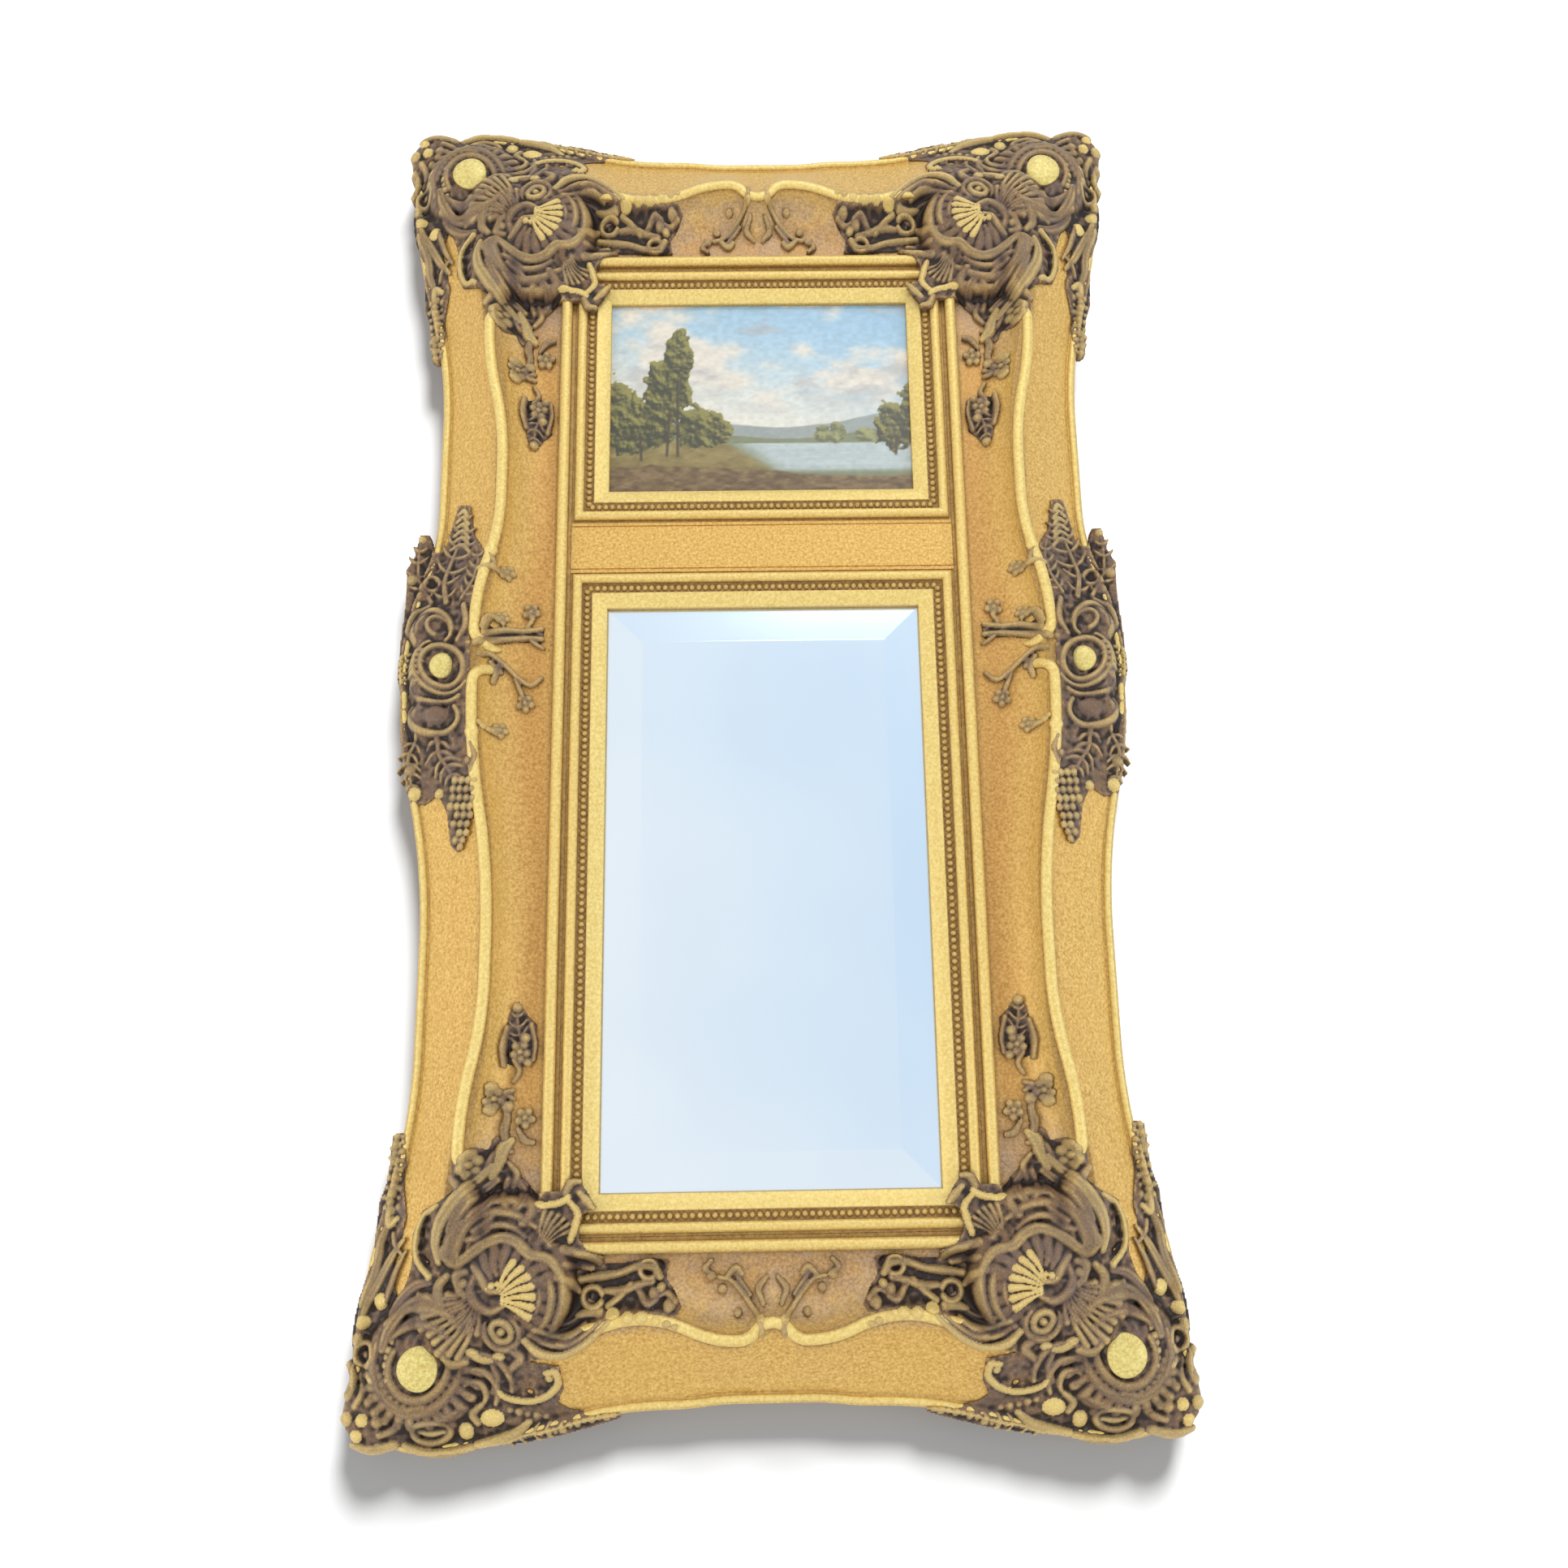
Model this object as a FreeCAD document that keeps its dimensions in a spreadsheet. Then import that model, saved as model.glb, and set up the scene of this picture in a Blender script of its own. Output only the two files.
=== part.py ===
import FreeCAD, Part
import math
import os
import Sketcher
from FreeCAD import Placement, Rotation, Vector
from types import SimpleNamespace

# Gilt trumeau mirror: a tall wall mirror with a painted panel above the glass.
#
# Axes: +X is the viewer's right, +Z is up and the front faces -Y. The wall is the plane y = 0.
# The origin lies on the wall, midway between the two hanging rings, at the height of their pins.
#
# Every length of moulding is drawn in its own coordinates. u runs along the length, w runs outward
# from the sight edge (the inner edge that frames the glass) and d runs forward from the back face.

# ---------------------------------------------------------------- driving dimensions, millimetres
SIZES = {
    # what shows of the two panels, and the parts between them
    "sight_width": (256.0, "width of glass that shows"),
    "mirror_sight": (462.0, "height of mirror that shows"),
    "painting_sight": (177.0, "height of painting that shows"),
    "frieze_gap": (104.0, "height between the two openings"),
    # slip: the slim inner frame round each opening
    "slip_width": (30.0, "sight edge to the outer edge of a slip"),
    "tongue": (6.0, "overlap of a slip under its neighbour's lip"),
    "slip_back": (14.0, "back of the slips"),
    "tongue_top": (26.0, "front of the tongues"),
    "rabbet": (6.0, "depth of the glass rabbet, across"),
    "lip_back": (29.0, "underside of the sight lip"),
    "sight_front": (34.0, "front of the sight lip"),
    "slope_width": (12.0, "bright slope beside the glass"),
    "slope_front": (38.0, "top of that slope"),
    "hollow_front": (36.5, "floor of the hollow for the bead row"),
    "hollow_width": (8.0, "width of that hollow"),
    "slip_ridge": (38.0, "springing of the slip's outer ridge"),
    "ledge_front": (36.0, "narrow ledge outside the ridges"),
    # outer moulding, straight inner part
    "ridge_start": (33.0, "inner foot of the moulding's own ridge"),
    "ridge_width": (9.0, "width of that ridge"),
    "ridge_spring": (39.5, "springing of that ridge"),
    "cove_start": (45.0, "inner edge of the cove"),
    "cove_floor": (34.8, "floor of the cove"),
    # outer moulding, swept outer part
    "shoulder": (58.0, "front of the shoulder that carries the rib"),
    "shoulder_half": (5.0, "rib line to either edge of the shoulder"),
    "edge_depth": (24.0, "thickness at the outer edge"),
    "flat_run": (42.0, "run of the sloping flat outside the rib"),
    "cove_run": (33.0, "run of the hollow of the cove"),
    "corner_reach": (177.0, "outline beyond the sight edge at the corners"),
    "corner_round": (50.0, "rounding of the outline at the corners"),
    "waist_reach": (144.0, "outline at the waists of the stiles"),
    "bulge_reach": (169.0, "outline at the bulge of the stiles"),
    "rail_reach": (148.0, "outline at the middle of the rails"),
    "rail_flare": (3.0, "extra reach where the rails begin to flare"),
    "flare_start": (75.0, "middle of a rail to the start of its flare"),
    "waist_inset": (150.0, "sight corner to the middle of a waist"),
    "waist_flat": (40.0, "half the straight stretch of a waist"),
    "bulge_rise": (43.0, "bulge above the middle of the stile"),
    # rib: the half-round C-scroll that separates cove and flat
    "rib_radius": (4.5, "half width of the rib"),
    "rib_corner": (105.0, "rib line at the corners"),
    "rib_round": (65.0, "rounding of the rib line at the corners"),
    "rib_waist": (85.0, "rib line at the waists"),
    "rib_bulge": (103.0, "rib line at the bulge"),
    "rib_inset": (175.0, "sight corner to the rib line's own waist"),
    "rib_flat": (15.0, "half its straight stretch there"),
    "rib_hook": (14.0, "radius of the turn that ends a stile's rib"),
    "rib_pause": (9.0, "half the gap between the two ribs of a stile"),
    "rib_end": (30.0, "sight corner to the end of a stile's rib"),
    "rib_end_reach": (100.0, "rib line there"),
    "rail_rib": (84.5, "rib line beside the wave of a rail"),
    "wave_out": (100.0, "crest of the wave, both sides of the middle"),
    "wave_mid": (88.0, "rib line at the very middle"),
    "wave_half": (25.0, "middle of the rail to a crest"),
    "wave_end": (95.0, "middle of the rail to the end of the wave"),
    "rail_rib_end": (138.0, "middle of the rail to the end of its rib"),
    "rail_rib_lift": (91.0, "rib line at that end"),
    # frieze rail between the openings
    "frieze_front": (37.0, "front of the frieze"),
    "line_inset": (2.5, "edge of the frieze to its scratched line"),
    "line_width": (1.2, "width and depth of that line"),
    # panels
    "panel_play": (0.5, "play round a panel in its rabbet"),
    "glass_edge": (3.0, "thickness of the glass at its edge"),
    "bevel_rise": (2.0, "thickness that the bevel adds"),
    "bevel_width": (34.0, "width of the bevel, from the cut edge"),
    "glass_seat": (0.5, "gap between lip and the edge of the glass"),
    "board": (3.0, "thickness of boards and painted panel"),
    # fasteners driven into the wood
    "point_width": (9.0, "width of a framer's point"),
    "point_length": (13.0, "length of a framer's point"),
    "point_bite": (5.0, "how far it is driven in"),
    "point_gauge": (0.8, "thickness of a framer's point"),
    "nail_leg": (9.0, "leg of a V-nail"),
    "nail_gauge": (0.6, "thickness of its strip"),
    "nail_depth": (12.0, "how deep it is driven"),
    "nail_inner": (60.0, "sight edge to the inner V-nail"),
    "nail_outer": (120.0, "sight edge to the outer V-nail"),
    # hangers
    "standoff": (6.0, "back of the wood to the wall"),
    "hanger_reach": (66.0, "sight edge to a hanger's middle"),
    "hanger_drop": (150.0, "upper sight corner down to the ring pins"),
    "strap_width": (12.0, "width of a hanger strap"),
    "strap_length": (48.0, "pin to the lower end of the strap"),
    "strap_gauge": (1.2, "thickness of the strap"),
    "pin_radius": (1.5, "radius of the ring's wire"),
    "pin_play": (0.1, "radial play of the pin in its eye"),
    "ring_half": (10.0, "half width of the ring, on its centre line"),
    "ring_leg": (7.0, "pin to the start of the ring's bow"),
    "ring_corner": (3.5, "corner radius beside the pin"),
    "screw_first": (27.0, "pin to the first screw"),
    "screw_pitch": (12.0, "first screw to the second"),
    "screw_radius": (1.7, "radius of a screw's shank"),
    "screw_length": (14.0, "length of a screw in the wood"),
    "head_radius": (3.4, "radius of a screw head"),
    "head_height": (1.8, "height of a screw head"),
    "bumper_radius": (9.0, "radius of a wall bumper"),
    "bumper_inset": (110.0, "sight corner out to a wall bumper"),
    # cast ornament
    "cabochon_reach": (118.0, "sight corner to the corner cabochons, both ways"),
    "corner_cabochon": (13.5, "radius of a corner cabochon"),
    "side_cabochon_long": (12.5, "half height of a side cabochon"),
    "side_cabochon_wide": (9.0, "half width of a side cabochon"),
    "side_cabochon_reach": (126.0, "sight edge to the side cabochons"),
    "cabochon_rise": (5.0, "height of a cabochon"),
    "boss_front": (62.0, "front of the ring round a corner cabochon"),
    "side_boss_front": (58.0, "front of the ring round a side cabochon"),
    "shell_reach": (58.0, "sight corner to the middle of a shell, both ways"),
    "shell_radius": (40.0, "radius of a shell at its lip"),
    "shell_flutes": (16.0, "number of flutes in a shell"),
    "shell_front": (74.0, "front of a shell"),
    "relief": (10.0, "height of the cartouches above the moulding"),
    "overhang": (4.0, "reach of the cartouches beyond the outline"),
    "pendant_length": (128.0, "length of a cove pendant"),
    "spray_length": (50.0, "length of a rail spray"),
    "drop_width": (26.0, "width of pendants and sprays"),
    "drop_front": (50.0, "front of pendants and sprays"),
}


class Measure:
    """A number together with the sheet expression that gives it."""

    def __init__(self, value, text):
        self.value = float(value)
        self.text = text

    @staticmethod
    def of(thing):
        return thing if isinstance(thing, Measure) else Measure(thing, repr(float(thing)))

    def joined(self, other, value, sign):
        return Measure(value, f"({self.text} {sign} {Measure.of(other).text})")

    def __add__(self, other):
        return self.joined(other, self.value + Measure.of(other).value, "+")

    def __sub__(self, other):
        return self.joined(other, self.value - Measure.of(other).value, "-")

    def __mul__(self, other):
        return self.joined(other, self.value * Measure.of(other).value, "*")

    def __truediv__(self, other):
        return self.joined(other, self.value / Measure.of(other).value, "/")

    def __neg__(self):
        return Measure(-self.value, f"(0 - {self.text})")

    def __abs__(self):
        return Measure(abs(self.value), f"abs({self.text})")

    def __rsub__(self, other):
        return Measure.of(other) - self

    def __radd__(self, other):
        return Measure.of(other) + self

    def __rmul__(self, other):
        return Measure.of(other) * self


def make_sheet(doc):
    """The sheet of driving dimensions: a note, a plain number and an alias in each row."""
    sheet = doc.addObject("Spreadsheet::Sheet", "Sizes")
    for row, (alias, (number, note)) in enumerate(SIZES.items(), start=1):
        sheet.set(f"A{row}", note)
        sheet.set(f"B{row}", str(number))
        sheet.setAlias(f"B{row}", alias)
    return sheet


doc = FreeCAD.newDocument("trumeau_mirror")
sheet = make_sheet(doc)
doc.recompute()
S = SimpleNamespace(**{alias: Measure(sheet.get(alias), f"Sizes.{alias}") for alias in SIZES})
ZERO = Measure.of(0)

# Heights that several pieces share, from the lower sight edge of the mirror.
stile_sight = S.mirror_sight + S.frieze_gap + S.painting_sight
painting_foot = S.mirror_sight + S.frieze_gap
bulge_height = stile_sight / 2 + S.bulge_rise
half_sight = S.sight_width / 2
outer_rabbet = S.slip_width + S.tongue
# The ring pins set the height of the origin.
sight_foot_z = S.hanger_drop - stile_sight
pin_back = S.pin_radius + S.pin_play + S.strap_gauge

# ---------------------------------------------------------------- frames for the four sides
# Each gives the directions of u, w and d on that side of the frame.
SIDES = {
    "bottom": Rotation(Vector(-1, 0, 0), Vector(0, 0, -1), Vector(0, -1, 0), "ZXY"),
    "left": Rotation(Vector(0, 0, 1), Vector(-1, 0, 0), Vector(0, -1, 0), "ZXY"),
    "top": Rotation(Vector(1, 0, 0), Vector(0, 0, 1), Vector(0, -1, 0), "ZXY"),
    "right": Rotation(Vector(0, 0, -1), Vector(1, 0, 0), Vector(0, -1, 0), "ZXY"),
}


def place(thing, side, x, z, lift=ZERO):
    """Turns a piece to its side of the frame and puts its own origin at x and z."""
    thing.Placement = Placement(Vector(0, 0, 0), SIDES[side])
    thing.setExpression("Placement.Base.x", x.text)
    thing.setExpression("Placement.Base.y", (-S.standoff - lift).text)
    thing.setExpression("Placement.Base.z", z.text)


# ---------------------------------------------------------------- sketch helpers
def new_body(label):
    body = doc.addObject("PartDesign::Body", label)
    body.Label = label
    return body


def origin_plane(body, role):
    return next(item for item in body.Origin.OriginFeatures if item.Role == role)


def attach(sketch, body, role, lift):
    sketch.AttachmentSupport = [(origin_plane(body, role), "")]
    sketch.MapMode = "FlatFace"
    sketch.setExpression("AttachmentOffset.Base.z", Measure.of(lift).text)


def arc_between(start, end, radius, turn):
    """The smaller arc from start to end; turn is +1 for counter-clockwise and -1 for clockwise."""
    chord = end - start
    middle = (start + end) * 0.5
    sag = math.sqrt(max(radius**2 - (chord.Length / 2) ** 2, 0.0))
    across = Vector(-chord.y, chord.x, 0).normalize()
    centre = middle + across * (sag * turn)
    first, last = (start, end) if turn > 0 else (end, start)
    circle = Part.Circle(centre, Vector(0, 0, 1), radius)
    return Part.ArcOfCircle(
        circle,
        math.atan2(first.y - centre.y, first.x - centre.x),
        math.atan2(last.y - centre.y, last.x - centre.x),
    )


def draw(body, name, role, lift, corners, closed=True):
    """A sketch of straight lines and arcs through corners, each (x, y, bend).

    bend is None for a straight edge to the next corner, or (radius, turn) for an arc.
    Every corner and radius is bound to the sheet.
    """
    sketch = body.newObject("Sketcher::SketchObject", name)
    attach(sketch, body, role, lift)
    count = len(corners) if closed else len(corners) - 1
    geometry, ends = [], []
    for i in range(count):
        x, y, bend = corners[i]
        x_next, y_next, _ = corners[(i + 1) % len(corners)]
        start = Vector(x.value, y.value, 0)
        end = Vector(x_next.value, y_next.value, 0)
        if bend is None:
            geometry.append(Part.LineSegment(start, end))
            ends.append((1, 2))
        else:
            radius, turn = bend
            geometry.append(arc_between(start, end, radius.value, turn))
            ends.append((1, 2) if turn > 0 else (2, 1))
    sketch.addGeometry(geometry, False)
    rules, texts = [], []
    for i in range(count if closed else count - 1):
        following = (i + 1) % count
        rules.append(Sketcher.Constraint("Coincident", i, ends[i][1], following, ends[following][0]))
        texts.append(None)
    places = [(i, ends[i][0], corners[i]) for i in range(count)]
    if not closed:
        places.append((count - 1, ends[-1][1], corners[-1]))
    for i, end, (x, y, _) in places:
        rules.append(Sketcher.Constraint("DistanceX", -1, 1, i, end, x.value))
        rules.append(Sketcher.Constraint("DistanceY", -1, 1, i, end, y.value))
        texts += [x.text, y.text]
    for i in range(count):
        if corners[i][2] is not None:
            radius = corners[i][2][0]
            rules.append(Sketcher.Constraint("Radius", i, radius.value))
            texts.append(radius.text)
    sketch.addConstraint(rules)
    for index, text in enumerate(texts):
        if text is not None:
            sketch.setExpression(f"Constraints[{index}]", text)
    return sketch


def polygon(points):
    return [(Measure.of(x), Measure.of(y), None) for x, y in points]


def circle_sketch(body, name, role, lift, x, y, radius):
    sketch = body.newObject("Sketcher::SketchObject", name)
    attach(sketch, body, role, lift)
    centre = Vector(x.value, y.value, 0)
    sketch.addGeometry(Part.Circle(centre, Vector(0, 0, 1), radius.value), False)
    sketch.addConstraint(
        [
            Sketcher.Constraint("DistanceX", -1, 1, 0, 3, x.value),
            Sketcher.Constraint("DistanceY", -1, 1, 0, 3, y.value),
            Sketcher.Constraint("Radius", 0, radius.value),
        ]
    )
    for index, text in enumerate((x.text, y.text, radius.text)):
        sketch.setExpression(f"Constraints[{index}]", text)
    return sketch


def pad(body, name, sketch, length, middle=False):
    feature = body.newObject("PartDesign::Pad", name)
    feature.Profile = sketch
    feature.Midplane = middle
    feature.setExpression("Length", Measure.of(length).text)
    return feature


def cut_through(body, name, sketch):
    """A pocket through everything, both ways from the sketch."""
    feature = body.newObject("PartDesign::Pocket", name)
    feature.Profile = sketch
    feature.Type = "ThroughAll"
    feature.Midplane = True
    return feature


def loft(body, kind, name, sketches, ruled):
    feature = body.newObject(f"PartDesign::{kind}Loft", name)
    feature.Profile = sketches[0]
    feature.Sections = [(sketch, [""]) for sketch in sketches[1:]]
    feature.Ruled = ruled
    return feature


def half_way(first, second):
    return (first + second) / 2


def ogee(stations):
    """Corners of a chain of S-curves that run level at every station (u, w).

    Between two stations stand two equal arcs that meet half way. With a run du and a rise dw
    their radius is (du^2 + dw^2) / (4 |dw|). Where dw is nothing, they are two straight halves.
    """
    corners = []
    for (u, w), (u_next, w_next) in zip(stations, stations[1:]):
        run = u_next - u
        rise = w_next - w
        middle = (half_way(u, u_next), half_way(w, w_next))
        if abs(rise.value) < 1e-6:
            corners.append((u, w, None))
            corners.append((*middle, None))
        else:
            radius = (run * run + rise * rise) / (4 * abs(rise))
            turn = 1 if rise.value * run.value > 0 else -1
            corners.append((u, w, (radius, turn)))
            corners.append((*middle, (radius, -turn)))
    return corners


# ---------------------------------------------------------------- outer moulding
class Curve:
    """A swept line of a member: its stations, its reach at the corners and its corner rounding."""

    def __init__(self, stations, reach, rounding):
        self.stations = stations
        self.reach = reach
        self.rounding = rounding

    def offset(self, by):
        """The same line moved outward by a distance."""
        moved = [(u, w + by) for u, w in self.stations]
        return Curve(moved, self.reach + by, self.rounding + by)

    def reversed(self, length):
        moved = [(length - u, w) for u, w in reversed(self.stations)]
        return Curve(moved, self.reach, self.rounding)

    def outline(self, first, length, inner):
        """The closed outline round both corners, from the straight line at inner out to the curve.

        first is where the member's sight edge begins along u, and length is its length.
        The corner arc is centred on the mitre, at reach less rounding, and runs on past it: the
        mitres are cut later.
        """
        centre = self.reach - self.rounding
        last = first + length
        corner = (self.rounding, -1)
        ends = [(first - centre, self.reach), (last + centre, self.reach)]
        chain = ogee([ends[0], *self.stations, ends[1]])
        return [
            (first - self.reach, centre, corner),
            *chain,
            (*ends[1], corner),
            (last + self.reach, centre, None),
            (last + inner, inner, None),
            (first - inner, inner, None),
        ]


# The cove rises to the shoulder in flats between four levels of an arc that starts level.
COVE_TURN = 72.0
COVE_ANGLES = (0.0, 34.0, 55.0, COVE_TURN)


def cove_levels():
    """Share of the run and of the rise at each level of the arc."""
    whole = math.radians(COVE_TURN)
    for angle in COVE_ANGLES:
        turned = math.radians(angle)
        yield (
            math.sin(turned) / math.sin(whole),
            (1 - math.cos(turned)) / (1 - math.cos(whole)),
        )


def cut_mitres(body, label, near, far, beyond):
    """Cuts both ends at 45 degrees, from the sight corners at near and far outward."""
    for name, edge, way in (("near", near, -1), ("far", far, 1)):
        triangle = polygon(
            [(edge - way, ZERO - 1), (edge + way * beyond, beyond), (edge + way * beyond, ZERO - 1)]
        )
        mitre = draw(body, f"{label}_{name}_mitre", "XY_Plane", ZERO, triangle)
        cut_through(body, f"{label}_{name}_cut", mitre)


def inner_section():
    """What is cut away in front of the moulding's straight inner part, in w and d."""
    above = S.shoulder + 1
    ridge_end = S.ridge_start + S.ridge_width
    half = S.ridge_width / 2
    return [
        (S.slip_width - 1, above, None),
        (S.slip_width - 1, S.ledge_front, None),
        (S.ridge_start, S.ledge_front, None),
        (S.ridge_start, S.ridge_spring, (half, -1)),
        (S.ridge_start + half, S.ridge_spring + half, (half, -1)),
        (ridge_end, S.ridge_spring, None),
        (ridge_end, S.cove_floor, None),
        (S.cove_start + 1, S.cove_floor, None),
        (S.cove_start + 1, above, None),
    ]


def moulding(label, side, x, z, first, length, outer, rib):
    """One mitred length of the outer moulding."""
    body = new_body(label)
    crest = rib.offset(S.shoulder_half)
    foot = crest.offset(S.flat_run)
    brink = rib.offset(-S.shoulder_half)
    base = draw(
        body, label + "_outline", "XY_Plane", ZERO, outer.outline(first, length, S.slip_width)
    )
    pad(body, label + "_base", base, S.edge_depth)
    low = draw(
        body,
        label + "_flat_low",
        "XY_Plane",
        S.edge_depth,
        foot.outline(first, length, S.slip_width),
    )
    high = draw(
        body,
        label + "_flat_high",
        "XY_Plane",
        S.shoulder,
        crest.outline(first, length, S.slip_width),
    )
    loft(body, "Additive", label + "_flat", [low, high], True)
    levels = []
    for number, (run, rise) in enumerate(cove_levels()):
        level = S.cove_floor + rise * (S.shoulder - S.cove_floor)
        line = brink.offset((run - 1) * S.cove_run).outline(first, length, S.cove_start)
        levels.append(draw(body, f"{label}_cove_{number}", "XY_Plane", level, line))
    loft(body, "Subtractive", label + "_cove", levels, True)
    cut_through(
        body,
        label + "_ridges",
        draw(body, label + "_ridge_section", "YZ_Plane", ZERO, inner_section()),
    )
    rabbet = polygon(
        [
            (S.slip_width - 1, ZERO - 1),
            (outer_rabbet, ZERO - 1),
            (outer_rabbet, S.tongue_top),
            (S.slip_width - 1, S.tongue_top),
        ]
    )
    cut_through(
        body, label + "_rabbet", draw(body, label + "_rabbet_section", "YZ_Plane", ZERO, rabbet)
    )
    cut_mitres(body, label, first, first + length, outer.reach + 1)
    place(body, side, x, z)
    return body


waist_low = S.waist_inset
waist_high = stile_sight - S.waist_inset
stile_outer = Curve(
    [
        (waist_low - S.waist_flat, S.waist_reach),
        (waist_low + S.waist_flat, S.waist_reach),
        (bulge_height, S.bulge_reach),
        (waist_high - S.waist_flat, S.waist_reach),
        (waist_high + S.waist_flat, S.waist_reach),
    ],
    S.corner_reach,
    S.corner_round,
)
stile_rib = Curve(
    [
        (S.rib_inset - S.rib_flat, S.rib_waist),
        (S.rib_inset + S.rib_flat, S.rib_waist),
        (bulge_height, S.rib_bulge),
        (stile_sight - S.rib_inset - S.rib_flat, S.rib_waist),
        (stile_sight - S.rib_inset + S.rib_flat, S.rib_waist),
    ],
    S.rib_corner,
    S.rib_round,
)
flare_reach = S.rail_reach + S.rail_flare
rail_outer = Curve(
    [
        (-S.flare_start, flare_reach),
        (-S.wave_half, S.rail_reach),
        (ZERO, S.rail_reach),
        (S.wave_half, S.rail_reach),
        (S.flare_start, flare_reach),
    ],
    S.corner_reach,
    S.corner_round,
)
rail_rib = Curve(
    [
        (-S.wave_end, S.rail_rib),
        (-S.wave_half, S.wave_out),
        (ZERO, S.wave_mid),
        (S.wave_half, S.wave_out),
        (S.wave_end, S.rail_rib),
    ],
    S.rib_corner,
    S.rib_round,
)
top_z = sight_foot_z + stile_sight
stile_lines = (stile_outer, stile_rib)
turned_lines = tuple(line.reversed(stile_sight) for line in stile_lines)
rail_lines = (rail_outer, rail_rib)
left_stile = moulding("left_stile", "left", -half_sight, sight_foot_z, ZERO, stile_sight, *stile_lines)
right_stile = moulding("right_stile", "right", half_sight, top_z, ZERO, stile_sight, *turned_lines)
bottom_rail = moulding(
    "bottom_rail", "bottom", ZERO, sight_foot_z, -half_sight, S.sight_width, *rail_lines
)
top_rail = moulding("top_rail", "top", ZERO, top_z, -half_sight, S.sight_width, *rail_lines)
doc.recompute()
members = {"left": left_stile, "right": right_stile, "bottom": bottom_rail, "top": top_rail}


# ---------------------------------------------------------------- ribs on the shoulder
def rib(label, side, x, z, path):
    """A rounded rib in four flats, along a path that starts level at its first corner."""
    body = new_body(label)
    spine = draw(body, label + "_path", "XY_Plane", S.shoulder, path, closed=False)
    start_u, start_w = path[0][0], path[0][1]
    reach = S.rib_radius
    section = [
        (start_w - reach, S.shoulder, None),
        (start_w - 0.7 * reach, S.shoulder + 0.75 * reach, None),
        (start_w, S.shoulder + reach, None),
        (start_w + 0.7 * reach, S.shoulder + 0.75 * reach, None),
        (start_w + reach, S.shoulder, None),
    ]
    profile = draw(body, label + "_section", "YZ_Plane", start_u, section)
    pipe = body.newObject("PartDesign::AdditivePipe", label + "_sweep")
    pipe.Profile = profile
    pipe.Spine = spine
    place(body, side, x, z)
    return body


def hooked(stations, turn):
    """A path of ogees that ends in a quarter turn inward."""
    u, w = stations[-1]
    end = (u + turn * S.rib_hook, w - S.rib_hook, None)
    return [*ogee(stations), (u, w, (S.rib_hook, -turn)), end]


lower_rib = [
    (S.rib_end, S.rib_end_reach),
    (S.rib_inset - S.rib_flat, S.rib_waist),
    (S.rib_inset + S.rib_flat, S.rib_waist),
    (bulge_height - S.rib_pause - S.rib_hook, S.rib_bulge),
]
upper_rib = [
    (stile_sight - S.rib_end, S.rib_end_reach),
    (stile_sight - S.rib_inset + S.rib_flat, S.rib_waist),
    (stile_sight - S.rib_inset - S.rib_flat, S.rib_waist),
    (bulge_height + S.rib_pause + S.rib_hook, S.rib_bulge),
]


stile_pose = ("left", -half_sight, sight_foot_z)
lower_pattern = rib("lower_rib", *stile_pose, hooked(lower_rib, 1))
upper_pattern = rib("upper_rib", *stile_pose, hooked(upper_rib, -1))
wave = [
    (-S.rail_rib_end, S.rail_rib_lift),
    (-S.wave_end, S.rail_rib),
    (-S.wave_half, S.wave_out),
    (ZERO, S.wave_mid),
    (S.wave_half, S.wave_out),
    (S.wave_end, S.rail_rib),
    (S.rail_rib_end, S.rail_rib_lift),
]
wave_path = [*ogee(wave), (*wave[-1], None)]
wave_pattern = rib("wave_rib", "bottom", ZERO, sight_foot_z, wave_path)
doc.recompute()

# Twins of a piece are its mirror images across the middle, or top to bottom.
mid_z = (sight_foot_z + stile_sight / 2).value


def across(solids):
    """Mirror images on the other side of the middle."""
    return [solid.mirror(Vector(0, 0, 0), Vector(1, 0, 0)) for solid in solids]


def above(solids):
    """Mirror images at the other end, top to bottom."""
    return [solid.mirror(Vector(0, 0, mid_z), Vector(0, 0, 1)) for solid in solids]


def family(label, solids):
    """One node for a family of equal pieces."""
    node = doc.addObject("Part::Feature", label)
    node.Label = label
    node.Shape = Part.makeCompound(solids)
    return node


left_pair = [lower_pattern.Shape, upper_pattern.Shape]
stile_ribs = family("stile_ribs", left_pair + across(left_pair))
rail_ribs = family("rail_ribs", [wave_pattern.Shape] + above([wave_pattern.Shape]))


# ---------------------------------------------------------------- slips round the two openings
def slip_section():
    """Section of a slip, in w and d: rabbet, tongue, ridge, hollow for the beads, and slope."""
    hollow_end = S.slope_width + S.hollow_width
    ridge_end = S.slip_width - 2
    half = (ridge_end - hollow_end) / 2
    return [
        (ZERO, S.lip_back, None),
        (S.rabbet, S.lip_back, None),
        (S.rabbet, S.slip_back, None),
        (outer_rabbet, S.slip_back, None),
        (outer_rabbet, S.tongue_top, None),
        (S.slip_width, S.tongue_top, None),
        (S.slip_width, S.ledge_front, None),
        (ridge_end, S.ledge_front, None),
        (ridge_end, S.slip_ridge, (half, 1)),
        (hollow_end + half, S.slip_ridge + half, (half, 1)),
        (hollow_end, S.slip_ridge, None),
        (hollow_end, S.hollow_front, None),
        (S.slope_width, S.hollow_front, None),
        (S.slope_width, S.slope_front, None),
        (ZERO, S.sight_front, None),
    ]


def slip(label, side, length, x, z):
    """One mitred length of a slip; its own origin is the middle of its sight edge."""
    body = new_body(label)
    section = draw(body, label + "_section", "YZ_Plane", ZERO, slip_section())
    full = length + 2 * outer_rabbet
    pad(body, label + "_length", section, full, middle=True)
    cut_mitres(body, label, -length / 2, length / 2, outer_rabbet + 1)
    place(body, side, x, z)
    return body


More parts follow.
